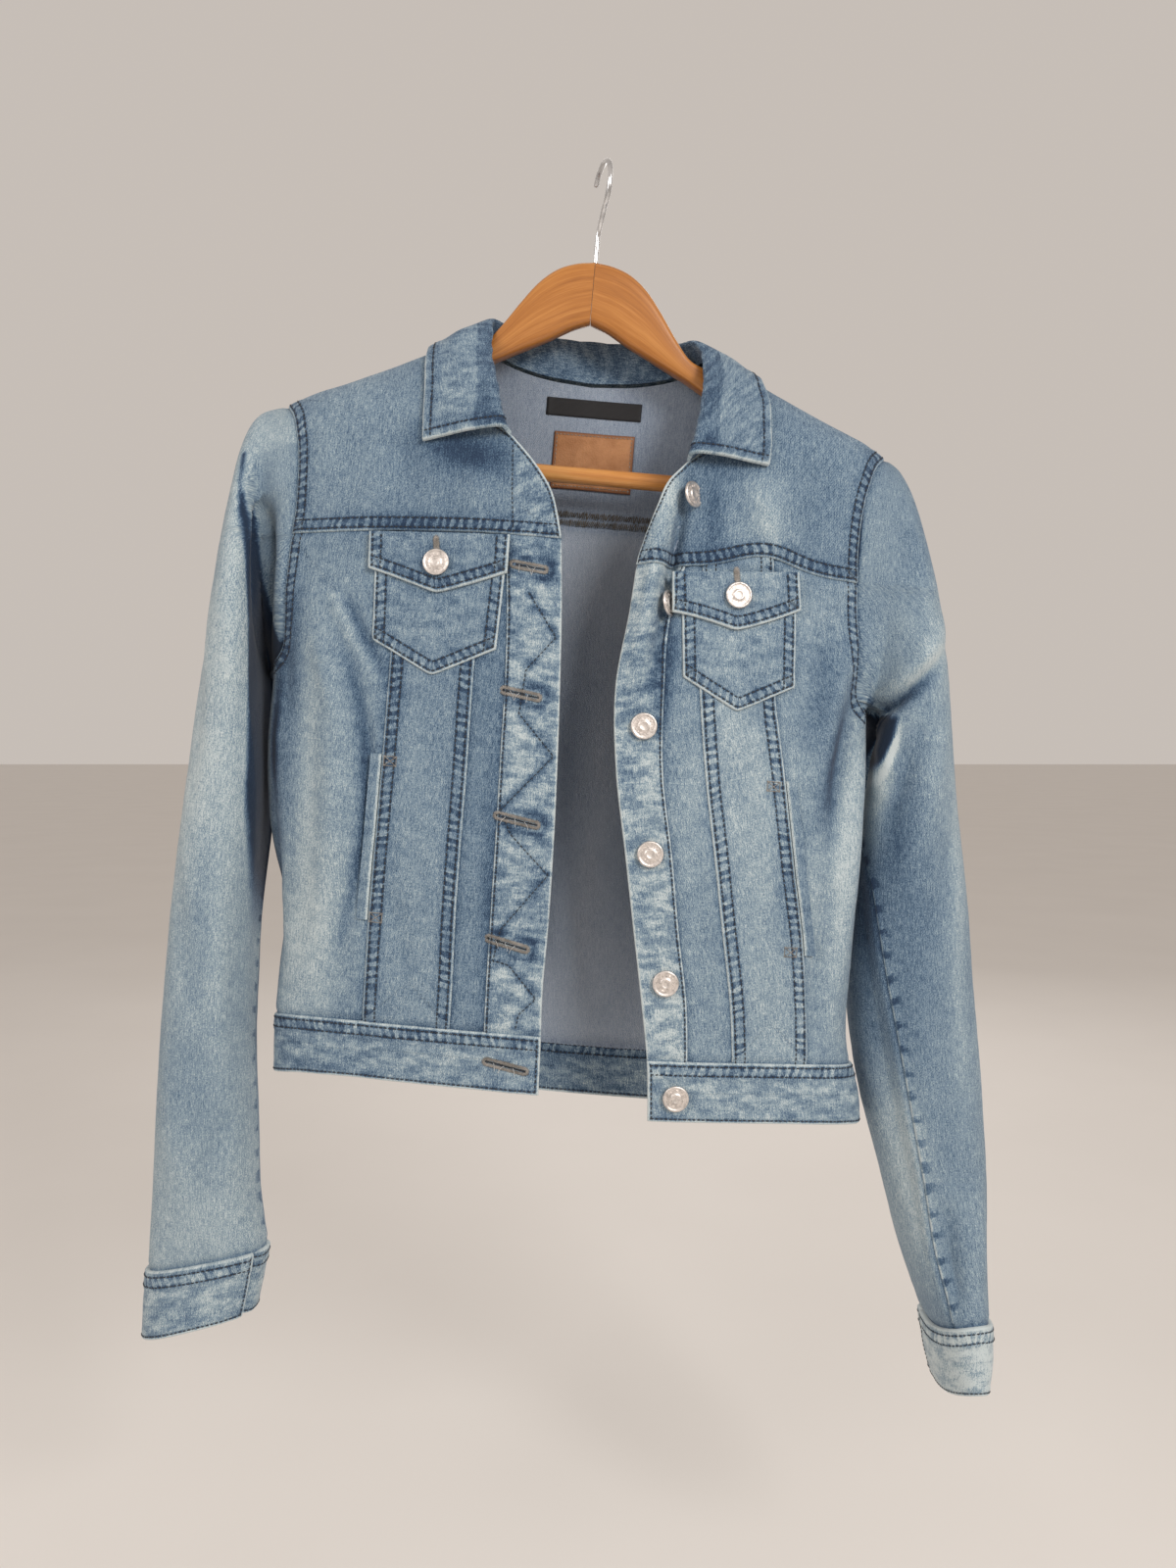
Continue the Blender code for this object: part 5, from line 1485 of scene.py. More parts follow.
def cloth_piece(name, grid, centre, edges, materials, thickness=CLOTH, lift=0.0, amount=1.0,
                mottle=0.0, height=None, extra=None, grain=None, pale=0.0):
    """Builds one piece of cloth from its grid and its seams, and remembers it for the stitches.

    centre is a place inside the jacket, or a function that gives one for each point. amount scales the
    ripples. mottle is wear. pale makes the whole piece paler or darker, which on some pieces is painted
    light and on others painted shade. height gives the folds, whose ridges get paler and troughs darker, as
    wear and as painted light and shade. extra adds height and paint, painted shade among it, and grain
    gives the lie of the threads."""
    found = measure_sides(grid, edges)
    diagonals = grid[1:, 1:] - grid[:-1, :-1], grid[1:, :-1] - grid[:-1, 1:]
    area = 0.5 * np.linalg.norm(np.cross(*diagonals), axis=-1).sum()
    size = (reach_across(grid)[:, -1].max(), reach_below(grid)[-1].max())
    for side, edge in edges.items():
        if any(kind["lies"] == "under" for _, _, kind in spans_of(edge)):
            grid = extended(grid, side, REACH_UNDER)
            spread_sides(found, side, REACH_UNDER)
    normal, flipped = grid_normals(grid, centre(grid) if callable(centre) else centre)
    seed = sum(ord(letter) for letter in name) % 97
    both, outer_only, fade, where, rows = relief(found, edges, seed)
    ripple = ripples(grid, amount)
    both = both + ripple + lift
    if extra is not None:
        added, paint = extra(grid)
        outer_only = outer_only + added
        fade = fade + paint
    # The fade number gathers the seams' wear and painted shade, the piece's tone, and ripple tops and fold
    # ridges paler and troughs darker, as wear and as painted light and shade, and the listed painted shadows
    # and highlights.
    fade = fade + pale + 0.10 * ripple
    if height:
        fade = fade + 0.045 * height(grid)
        fade = fade + fold_height(grid, SHADE_AND_TONE_PATHS, SHADE_AND_TONE, "pale")
    outer = grid + normal * (both + thickness / 2 + outer_only)[..., None]
    inner = grid + normal * (both - thickness / 2)[..., None]
    across = reach_across(grid)
    uv = MM * (grain(grid) if grain else np.stack([across - across[:, -1:] / 2, -reach_below(grid)], -1))
    data = {"seam": where * np.array([MM, MM, 1.0]), "rows": rows * np.array([MM, MM, 1.0]),
            "fade": fade, "mottle": mottle(grid) if callable(mottle) else np.full(fade.shape, mottle)}
    made = shell_mesh(name, outer, inner, uv, data, materials, flipped)
    PIECES[name] = {"object": made, "outer": outer, "inner": inner, "normal": normal, "found": found,
                    "edges": edges, "size": size, "area": area}
    return made


print("cloth is", CLOTH, "mm thick, and", DOUBLE, "mm where it is doubled")

# %% [markdown]
# ## Denim
# Denim is woven from blue warp threads that run down the panel and white weft threads that cross behind
# them. Washing wears the blue off the raised threads, so the cloth shows fine upright streaks and a salt
# and pepper speckle. It is paler on every fold and edge and darker in every furrow, partly from wear and
# partly as painted light and shade. The material builds one number, how pale the cloth is, from those
# layers and from the painted shadows and highlights kept on each piece, and turns it into a colour at the
# end. It reads the piece's own coordinates in metres, so the weave has its true size.

# %% Denim for the face and for the reverse
def map_range(tree, value, start, end, first=0.0, last=1.0):
    """The value eased from one range into another."""
    made = put(tree, "ShaderNodeMapRange", {0: value, 1: start, 2: end, 3: first, 4: last},
               interpolation_type="SMOOTHSTEP")
    return made.outputs[0]


def centred(tree, value, amount):
    """A noise value turned into a change around zero."""
    return product(tree, less(tree, value, 0.5), amount)


def read_number(tree, name):
    """A number that is stored on the mesh."""
    return put(tree, "ShaderNodeAttribute", attribute_name=name).outputs["Fac"]


def read_vector(tree, name):
    """The three parts of a vector that is stored on the mesh."""
    stored = put(tree, "ShaderNodeAttribute", attribute_name=name).outputs["Vector"]
    return list(put(tree, "ShaderNodeSeparateXYZ", {0: stored}).outputs)


def weave(tree, uv):
    """Streaks of the warp, speckle, and the slanting lines of the twill."""
    streaks = noise(tree, uv, 1.0, 2.0, 0.6, stretch=(1100.0, 190.0, 1.0))
    broad = noise(tree, uv, 1.0, 2.0, 0.5, stretch=(380.0, 40.0, 1.0), shift=(3.0, 7.0, 0.0))
    speckle = noise(tree, uv, 1.0, 2.0, 0.8, stretch=(1400.0, 950.0, 1.0), shift=(5.0, 1.0, 0.0))
    slanted = put(tree, "ShaderNodeMapping", {"Vector": uv, "Rotation": (0.0, 0.0, math.radians(27.0))})
    twill = put(tree, "ShaderNodeTexWave", {"Vector": slanted.outputs[0], "Scale": 285.0,
                                            "Distortion": 1.2, "Detail": 1.0, "Detail Scale": 2.0})
    return streaks, broad, speckle, twill.outputs["Fac"]


def seam_wear(tree):
    """Paler edges, dark lines under the rows of stitches, and ladders between them."""
    along, away, lies = read_vector(tree, "seam")
    first, second, pucker = read_vector(tree, "rows")
    edge = map_range(tree, away, 0.0005, 0.0015, 0.36, 0.0)
    gaps = [calc(tree, "ABSOLUTE", less(tree, away, row)) for row in (first, second)]
    nearest = calc(tree, "MINIMUM", *gaps)
    lines = map_range(tree, nearest, 0.0003, 0.0014, 0.22, 0.0)
    # the last row that lies on this seam ends the ladder
    has_second = calc(tree, "LESS_THAN", second, 0.02)
    chosen = put(tree, "ShaderNodeMix", {0: has_second, 2: first, 3: second}, data_type="FLOAT").outputs[0]
    last = calc(tree, "MINIMUM", chosen, 0.02)
    slanted = total(tree, along, product(tree, away, 0.25))
    spot = put(tree, "ShaderNodeCombineXYZ", {0: slanted, 1: product(tree, away, 0.6)}).outputs[0]
    loose = noise(tree, spot, 150.0, 2.0, 0.6)
    bars = calc(tree, "SINE", total(tree, product(tree, slanted, 1120.0), product(tree, loose, 8.0)))
    bars = map_range(tree, bars, -0.6, 0.5, -0.40, 0.22)
    beside = map_range(tree, nearest, 0.0006, 0.0030, 1.0, 0.45)
    bars = product(tree, bars, beside)
    strength = map_range(tree, noise(tree, spot, 70.0, 1.0, shift=(9.0, 4.0, 0.0)), 0.3, 0.6, 0.2, 1.0)
    within = product(tree, map_range(tree, less(tree, away, first), -0.0012, 0.0, 0.15, 1.0),
                     map_range(tree, less(tree, away, last), -0.0002, 0.0010, 1.0, 0.0))
    ladder = product(tree, bars, strength, within)
    halo = map_range(tree, less(tree, away, last), -0.001, 0.008, -0.12, 0.0)
    ladder = product(tree, total(tree, ladder, halo), calc(tree, "MAXIMUM", pucker, 0.0))
    # soft blotches beside a seam that has no rows, where the cloth rubs over the seam's lumps
    blotch = calc(tree, "SINE", total(tree, product(tree, along, 400.0), product(tree, loose, 6.0)))
    blotch = product(tree, map_range(tree, blotch, 0.15, 0.9, 0.0, 0.42),
                     map_range(tree, away, 0.001, 0.009, 1.0, 0.0))
    blotch = product(tree, blotch, calc(tree, "MINIMUM", pucker, 0.0))
    wear = total(tree, edge, product(tree, lines, -1.0), ladder, blotch)
    outside = calc(tree, "GREATER_THAN", lies, 0.0)
    relief = less(tree, product(tree, ladder, 2.5), lines)
    return product(tree, wear, outside), product(tree, relief, outside)


def paint_denim(name, colours, contrast, worn, seams):
    """Denim as pale as its level, which holds wear and painted light and shade: 0 is the darkest colour, 1
    the palest.
    """
    made, tree, shader = new_material(name)
    uv = piece_place(tree)
    where = object_place(tree)
    streaks, broad, speckle, twill = weave(tree, uv)
    clouds = noise(tree, where, 13.0, 4.0, 0.55, stretch=(1.0, 1.0, 0.6))
    smudges = noise(tree, where, 75.0, 3.0, 0.6)
    patches = map_range(tree, noise(tree, uv, 150.0, 3.0, 0.65, stretch=(0.42, 1.0, 1.0)), 0.34, 0.66)
    mottle = read_number(tree, "mottle")
    # wear, and painted light and shade, kept on the piece
    fade = read_number(tree, "fade")
    thread = total(tree, centred(tree, streaks, 0.85 * contrast), centred(tree, broad, 0.24 * contrast),
                   centred(tree, speckle, 1.35 * contrast), centred(tree, twill, 0.10 * contrast))
    cloud = total(tree, centred(tree, clouds, 0.36 * contrast), centred(tree, smudges, 0.20 * contrast))
    level = total(tree, thread, cloud, product(tree, fade, 0.5), worn)
    level = total(tree, level, product(tree, less(tree, patches, 0.42), product(tree, mottle, 0.42)))
    puckers = 0.0
    if seams:
        wear, puckers = seam_wear(tree)
        level = total(tree, level, wear)
    colour = ramp(tree, level, *colours)
    # cloth that was always hidden in a fold is darker than any other
    # Painted shade: where the fade number is lowest, in deep folds and under the arm, the colour is darkened
    # further.
    deep = map_range(tree, fade, -1.9, -0.8, 0.30, 1.0)
    colour = put(tree, "ShaderNodeVectorMath", {0: colour, "Scale": deep}, operation="SCALE").outputs[0]
    fill(tree, shader, {"Base Color": colour, "Roughness": map_range(tree, level, 0.0, 1.0, 0.95, 0.8),
                        "Specular IOR Level": 0.22, "Sheen Weight": 0.12, "Sheen Roughness": 0.5})
    height = total(tree, product(tree, streaks, 0.5), product(tree, speckle, 0.6),
                   product(tree, twill, 0.25), product(tree, smudges, 0.9), puckers)
    raise_surface(tree, shader, height, 0.0006, 0.7)
    return made


FACE_BLUES = ((0.02, (0.022, 0.044, 0.088)), (0.25, (0.060, 0.110, 0.182)), (0.5, (0.155, 0.226, 0.305)),
              (0.75, (0.295, 0.378, 0.430)), (0.98, (0.54, 0.605, 0.62)))
REVERSE_GREYS = ((0.05, (0.13, 0.165, 0.235)), (0.4, (0.265, 0.32, 0.405)), (0.65, (0.35, 0.40, 0.48)),
                 (0.95, (0.50, 0.54, 0.60)))
DENIM_FACE = paint_denim("washed_denim", FACE_BLUES, 1.0, 0.5, True)
DENIM_REVERSE = paint_denim("denim_reverse", REVERSE_GREYS, 0.8, 0.5, False)
DENIM = [DENIM_FACE, DENIM_REVERSE]
DENIM_TWICE = [DENIM_FACE, DENIM_FACE]
print("denim:", len(DENIM_FACE.node_tree.nodes), "nodes for the face")

# %% [markdown]
# ## The fronts
# Each front has five upright pieces under a shoulder yoke: the strip with the buttonholes or the buttons,
# a centre panel, a middle panel, a side panel, and the hem band below them all. The middle panel lies over
# both of its neighbours, and the yoke over all of them.

# %% Yokes and panels of the fronts
BODY_CENTRE = np.array([10.0, -4.0, -400.0])
SHOULDER_CENTRE = np.array([4.0, 0.0, -260.0])
ARM_EDGE = [(UNDERARM - 3.0, ARM_SEAM), (FAR, BUTTED)]  # the armhole, and the side seam below it


def body_folds_height(points):
    return fold_height(points, BODY_PATHS, FOLDS)


def straight_grain(points):
    """Warp threads that hang straight down, whatever the panel's outline is."""
    return np.stack([points[..., 0], -reach_below(points)], -1)


def strip_of_yoke(points):
    """The buttonhole strip runs on up the yoke, with the same mottled wear."""
    return 0.9 * ease((points[..., 0] + 41.0) / 5.0)


# Buttonholes as a piece and two places (x, down), of which the first ones are on the front edge, and the
# row of stitches that crosses between those.
HOLES = (("placket_right", (-34, 275), (-14, 277)), ("placket_right", (-33, 355), (-11, 358)),
         ("placket_right", (-30, 434), (-5, 438)), ("placket_right", (-29, 512), (-5, 517)),
         ("hem_band_right", (-24, 591), (1, 595)), ("pocket_flap_right", (-84, 263), (-83, 270)),
         ("pocket_flap_left", (107, 266), (108, 273)))
FRONT_HOLES = 5
CROSSED_ROW = ((-22, 293), (-3, 319), (-20, 341), (-22, 369), (2, 394), (-28, 430), (-21, 445), (5, 469),
               (-22, 506), (-25, 526), (-15, 528), (4, 548), (-6, 559), (-7, 567))


def crossed_wear_and_shade(points):
    """The crossed row lies in a furrow with dark smears; a buttonhole has a pale lip and painted shadow
    beside it.
    """
    flat = flattened(points)
    uneven = 0.75 + 0.6 * soft_noise(points, 7.0, 41)
    away = distance_to_line(flat, in_plane(CROSSED_ROW))[0]
    sunk = -0.7 * np.exp(-((away / 1.4) ** 2))
    paint = -0.45 * uneven * np.exp(-((away / 2.0) ** 2)) + 0.25 * np.exp(-(((away - 7) / 4) ** 2))
    for _, start, end in HOLES[:FRONT_HOLES]:
        away = distance_to_line(flat, in_plane((start, end)))[0]
        sunk = sunk + 0.5 * np.exp(-((away / 3.0) ** 2))
        # painted shadow beside each buttonhole
        paint = paint - 1.0 * uneven * np.exp(-(((away - 5.5) / 2.6) ** 2))
    return sunk, paint


# How much paler each upright piece is: placket or band, centre, middle and side.
FRONT_PALE = {RIGHT: (0.05, -0.16, 0.0, 0.0), LEFT: (0.35, 0.15, 0.35, 0.15)}


def add_front(side):
    strip = "placket" if side == RIGHT else "button_band"
    yoke = fine_grid(lambda u, v: front_yoke(side, u, v), (0, 1), (0, ROWS_TO_YOKE))
    # the left yoke is painted a little darker: painted shade
    cloth_piece(f"front_yoke_{side}_cloth", yoke, SHOULDER_CENTRE,
                {"n": UNDER, "s": FELLED, "w": FREE_ROW, "e": ARM_SEAM}, DENIM, height=body_folds_height,
                grain=straight_grain, mottle=strip_of_yoke if side == RIGHT else 0.1,
                pale=-0.08 if side == LEFT else 0.0)
    lines = [seam_angle(side, key) for key in ("edge", "placket", "inner", "outer")]
    lines.append(side_angle(side))
    sides = ((strip, FREE, PLACKET_SEAM), ("front_centre", UNDER, UNDER), ("front_mid", FELLED, FELLED),
             ("front_side", UNDER, ARM_EDGE))
    for i, (name, west, east) in enumerate(sides):
        place = panel(side, lines[i], lines[i + 1], at_arm=i == 3)
        edges = {"n": UNDER, "s": UNDER, "w": west, "e": east}
        cloth_piece(f"{name}_{side}_cloth", fine_grid(place), BODY_CENTRE, edges, DENIM,
                    mottle=1.0 if i == 0 else 0.25, height=body_folds_height, pale=FRONT_PALE[side][i],
                    extra=crossed_wear_and_shade if i == 0 and side == RIGHT else None)
    place = band(lines[0], side_angle(side))
    cloth_piece(f"hem_band_{side}_cloth", fine_grid(place), BODY_CENTRE,
                {"n": HEM_TOP, "s": HEM_EDGE, "w": HEM_EDGE, "e": BUTTED}, DENIM_TWICE, DOUBLE, mottle=0.8,
                pale=0.2 if side == LEFT else 0.12)


for side in (RIGHT, LEFT):
    add_front(side)
print("front pieces:", len(PIECES))

# %% [markdown]
# ## The back
# The back has a deep yoke and three panels. Its centre panel lies over the side panels.

# %% Yoke, panels and band of the back
def add_back():
    yoke = fine_grid(back_yoke, (0, 1), (0, ROWS_TO_BACK_YOKE))
    # painted darker all over, on both faces: painted shade inside the top of the back
    cloth_piece("back_yoke_cloth", yoke, SHOULDER_CENTRE,
                {"n": FELLED, "s": FELLED, "w": ARM_SEAM, "e": ARM_SEAM}, DENIM, height=body_folds_height,
                grain=straight_grain, pale=-0.25)
    for side in (RIGHT, LEFT):
        place = panel(side, princess_angle(side), side_angle(side, True), True, True)
        cloth_piece(f"back_side_{side}_cloth", fine_grid(place), BODY_CENTRE,
                    {"n": UNDER, "s": UNDER, "w": UNDER, "e": ARM_EDGE}, DENIM, height=body_folds_height)
    right, left = princess_angle(RIGHT), princess_angle(LEFT)
    place = panel(LEFT, lambda d: right(d) + 2 * math.pi, left, True)
    # painted paler all over, on both faces: painted light on the inside of the back
    cloth_piece("back_centre_cloth", fine_grid(place), BODY_CENTRE,
                {"n": UNDER, "s": UNDER, "w": FELLED, "e": FELLED}, DENIM, height=body_folds_height,
                pale=0.2)
    right, left = side_angle(RIGHT, True), side_angle(LEFT, True)
    place = band(lambda d: right(d) + 2 * math.pi, left)
    cloth_piece("hem_band_back_cloth", fine_grid(place), BODY_CENTRE,
                {"n": HEM_TOP, "s": HEM_EDGE, "w": BUTTED, "e": BUTTED}, DENIM_TWICE, DOUBLE, mottle=0.8)


add_back()
print("front and back pieces:", len(PIECES))

# %% [markdown]
# ## Sleeves and cuffs
# A sleeve is two tubes cut lengthways: the wide top piece laps over the narrow under piece. The cuff goes
# once round and tucks its end in, so that its vent can open.

# %% Sleeves and cuffs
SLEEVE_PALE = {RIGHT: {"top": 0.45, "under": 0.1}, LEFT: {"top": 0.12, "under": 0.15}}
ARM_RADIUS = 42.0
# Turns of the sleeve's front seam, by ring number.
UNDER_TURN = {
    RIGHT: table("ring turn", (0, 180), (6, 182), (12, 182)),
    LEFT: table("ring turn", (0, 150), (3, 158), (4.5, 168), (6, 164), (7, 138), (8, 118), (9, 110),
                (10, 113), (11, 118), (12, 124)),
}
# Cloth nearer to the body than this line is hidden under the arm, and gets painted shade.
HIDDEN = {
    RIGHT: table("down x", (190, -150), (216, -212), (279, -206), (335, -202), (398, -195), (451, -189),
                 (492, -185), (531, -182), (575, -176), (640, -150)),
    LEFT: table("down x", (342, 190), (350, 224), (362, 223), (378, 218), (393, 213), (404, 205),
                (425, 190)),
}
# Above this slanting line the cloth beside the right armhole is still in the light.
SHADED = table("down x", (236, -214), (258, -207), (294, -200.5), (312, -194.5), (333, -184), (346, -150))
# How dark the painted shade is on hidden cloth, and on cloth in the shade of the arm.
HIDDEN_SHADE, IN_SHADE = -1.8, -0.22
# Places on the front of a sleeve painted paler or darker: painted highlights and shadows at its folds, and
# broader tone changes.
SLEEVE_SHADE_AND_TONE = {
    RIGHT: table(
        THREE_PLACES + "pale",
        (-222, 560, -216, 640, -206, 730, 26, -0.3),
        (-232, 300, -228, 400, -226, 520, 12, 0.25),
        (-218, 420, -215, 520, -208, 620, 9, -0.25),
    ),
    LEFT: table(
        THREE_PLACES + "pale",
        (232, 330, 240, 470, 262, 640, 16, -0.45),
        (224, 400, 222, 520, 240, 620, 9, -0.35),
        (262, 300, 276, 470, 296, 640, 7, 0.35),
        (236, 560, 262, 650, 284, 740, 12, 0.6),
        (214, 430, 218, 470, 226, 540, 7, -0.5),
        (218, 346, 229, 334, 250, 312, 4.5, -0.9),
        (216, 338, 230, 324, 260, 286, 4.5, 0.7),
        (223, 350, 221, 374, 212, 402, 2.2, 1.6),
        (222, 380, 219, 400, 213, 430, 4, 0.5),
        (238, 250, 246, 300, 262, 350, 12, 0.3),
        (236, 390, 230, 430, 226, 470, 8, -0.4),
    ),
}


def sleeve_middle(side):
    """A function that gives the middle of the sleeve beside each point."""
    t = np.linspace(0, len(SLEEVE[side]["y"]) - 1, 60)
    x, y, z = ring_centre(SLEEVE[side], t).T

    def middle(points):
        height = points[..., 2]
        return np.stack([np.interp(-height, -z, x), np.interp(-height, -z, y), height], -1)

    return middle


def underarm_shade(side, points):
    """Painted shade on the cloth hidden under the arm, and on the right sleeve a lighter painted shade
    where the arm shades the cloth beside it.
    """
    x, y, down = points[..., 0], points[..., 1], -points[..., 2]
    inside = FRONT[side]["sign"] * (np.interp(down, HIDDEN[side]["down"], HIDDEN[side]["x"]) - x)
    before_rear = ease((26 - y) / 8)
    paint = HIDDEN_SHADE * ease(inside / 3.0) * before_rear
    if side == RIGHT:
        sunk = ease((inside + 8) / 4) * ease((y + 39) / 4) * ease((575 - down) / 40)
        lit = ease((np.interp(down, SHADED["down"], SHADED["x"]) - x) / 3.0)
        paint = np.minimum(paint, HIDDEN_SHADE * sunk * before_rear) * lit
        paint = paint + IN_SHADE * ease(inside / 3.0) * (1 - lit)
    return paint


def sleeve_shade_and_tone(side, points):
    """No height, and the painted shade of the hidden cloth and the painted light, shade and tone of the
    listed places, which are on the front.
    """
    lines = [in_plane(path) for path in seen_paths(SLEEVE_SHADE_AND_TONE[side])]
    painted_tones = fold_height(flattened(points), lines, SLEEVE_SHADE_AND_TONE[side], "pale")
    return 0.0, underarm_shade(side, points) + (points[..., 1] < 12) * painted_tones


def add_sleeve(side):
    last = len(SLEEVE[side]["y"]) - 1
    front_seam = UNDER_TURN[side]
    middle = sleeve_middle(side)

    def grain(points):
        """Warp threads that run down the arm: the turn round its middle, and the height."""
        out = points - middle(points)
        turn = np.unwrap(np.unwrap(np.arctan2(-out[..., 1], out[..., 0]), axis=1), axis=0)
        return np.stack([ARM_RADIUS * turn, points[..., 2]], -1)

    for name, lap in (("top", SLEEVE_SEAM), ("under", UNDER)):
        def place(u, t, top=name == "top"):
            under = curve(front_seam["ring"], front_seam["turn"], t)
            turn = mix(BACK_SEAM, under, u) if top else mix(under, BACK_SEAM + 360, u)
            return sleeve(side, turn, t)

        cloth_piece(f"sleeve_{name}_{side}_cloth", fine_grid(place, (0, 1), (0, last)), middle,
                    {"n": UNDER, "s": UNDER, "w": lap, "e": lap}, DENIM, grain=grain,
                    pale=SLEEVE_PALE[side][name], extra=lambda points: sleeve_shade_and_tone(side, points),
                    height=lambda points: fold_height(points, SLEEVE_PATHS[side], SLEEVE_FOLDS[side]))


def add_cuff(side):
    whole = 360.0 + CUFF_UNDERLAP

    def place(u, v):
        past = whole * u
        turn = CUFF_VENT[side] - past
        tuck = np.interp(past, [346, 360], [0, UNDERLAP_TUCK])
        return cuff(side, turn, v) + cuff_normal(side, turn, v) * tuck[..., None]

    centre = ring_centre(CUFF[side], np.array(1.0))
    level = np.array([1.0, 1.0, 0.0])
    cloth_piece(f"cuff_{side}_cloth", fine_grid(place), lambda points: points * (1 - level) + centre * level,
                {"n": CUFF_TOP, "s": HEM_EDGE, "w": HEM_EDGE, "e": BUTTED}, DENIM_TWICE, DOUBLE, mottle=0.8,
                amount=0.6, pale=0.8 if side == LEFT else 0.3)


for side in (RIGHT, LEFT):
    add_sleeve(side)
    add_cuff(side)
print("with sleeves and cuffs:", len(PIECES), "pieces")

# %% [markdown]
# ## Collar
# The collar's two layers are turned out through one side, so its edge is a rounded roll with a row of
# stitches beside it.

# %% Collar
STAND_SHARE = 0.42  # of the collar's width
COLLAR_STEP = 2.2


def on_stand(points):
    """Which points of the collar's grid are on the stand."""
    return np.broadcast_to(np.arange(points.shape[1]) < STAND_SHARE * points.shape[1], points.shape[:2])


def collar_middle(points):
    """The stand shows its inner side, and the leaf its outer side."""
    return np.where(on_stand(points)[..., None], 2 * points - SHOULDER_CENTRE, SHOULDER_CENTRE)


def add_collar():
    grid = spaced(collar_grid(np.linspace(0, 7, 90), np.linspace(0, STATIONS, 420)), COLLAR_STEP)
    edges = {"n": COLLAR_EDGE, "s": COLLAR_EDGE, "w": BUTTED, "e": COLLAR_EDGE}
    # the stand is painted darker than the leaf
    cloth_piece("collar_cloth", grid, collar_middle, edges, DENIM_TWICE, DOUBLE, mottle=0.6, amount=0.8,
                extra=lambda points: (0.0, -0.45 * on_stand(points)))


add_collar()
print("collar grid:", PIECES["collar_cloth"]["outer"].shape)

# %% [markdown]
# ## Chest pockets, flaps and welts
# The patch pockets and their flaps end in a point. They are flat pieces that lie on the front, so they
# are drawn on the body's surface and lifted by the layers below them.

# %% Pockets
POCKET = {
    RIGHT: {"top": (-122.5, -38.5, 268), "low": (-119, -40, 330, 330, 350),
            "flap": (-126.5, -37.5, 262, 257.5), "flap_low": (-125, -37, 285.5, 281.5, 298),
            "button": (-82, 279)},
    LEFT: {"top": (73, 147, 276), "low": (79, 151, 337, 337, 356),
           "flap": (66.5, 147, 271.5, 264), "flap_low": (68.5, 150, 297, 288, 305),
           "button": (109, 283)},
}
WELT = {RIGHT: (402, 508), LEFT: (397, 508)}
WELT_WIDTH = 7.0
POCKET_LIFT = 1.75
FLAP_LIFT = 4.1


def on_front(x, down):
    return torso(angle_at(x, down), down, -0.4)


def pointed(top, low):
    """A pointed patch: u across, v from its upper edge to its lower one.

    Each edge is its two ends' x and how far down they are; the lower one has its tip's too."""

    def place(u, v):
        tip = 1 - np.sqrt((2 * u - 1) ** 2 + 0.0016)
        x = mix(mix(top[0], top[1], u), mix(low[0], low[1], u), v)
        end = mix(mix(low[2], low[3], u), low[4], tip)
        return on_front(x, mix(mix(top[2], top[-1], u), end, v))

    return place


def add_pocket(side):
    sizes = POCKET[side]
    for name, top, low, edge, thickness, lift, pale in (
            ("chest_pocket", "top", "low", POCKET_EDGE, CLOTH, POCKET_LIFT, 0.12),
            ("pocket_flap", "flap", "flap_low", FLAP_EDGE, 2.0, FLAP_LIFT, 0.08)):
        cloth_piece(f"{name}_{side}_cloth", fine_grid(pointed(sizes[top], sizes[low]), step=SMALL_STEP),
                    BODY_CENTRE, {"n": BUTTED, "s": edge, "w": edge, "e": edge}, DENIM, thickness, lift,
                    mottle=0.5, pale=pale)
    first, last = WELT[side]
    seams = FRONT[side]["seams"]

    def welt(u, v):
        down = mix(first, last, v)
        line = curve(seams["down"], seams["outer"], down)
        return on_front(line + FRONT[side]["sign"] * (0.4 + WELT_WIDTH * u), down)

    grid = fine_grid(welt, step=SMALL_STEP)
    edges = {"n": BUTTED, "s": BUTTED, "w": FREE, "e": BUTTED}
    cloth_piece(f"side_pocket_welt_{side}_cloth", grid, BODY_CENTRE, edges, DENIM, 1.0, 1.1, mottle=0.3)


for side in (RIGHT, LEFT):
    add_pocket(side)
print("cloth pieces:", len(PIECES))

# %% [markdown]
# ## Stitches
# A row of lockstitches is one small shape repeated thousands of times, which is what Geometry Nodes are
# for. The tree takes bare lines, walks along them in equal steps, and lays a short rounded stitch at each
# step, turned along the line and flat on the cloth. The same tree makes dense satin bars, when the
# stitches are turned across the line. Its sizes are inputs, so one tree serves every kind of sewing.

# %% Tree for a row of stitches
def number_input(tree, name, value):
    made = tree.interface.new_socket(name, in_out="INPUT", socket_type="NodeSocketFloat")
    made.default_value = value
    return made.identifier


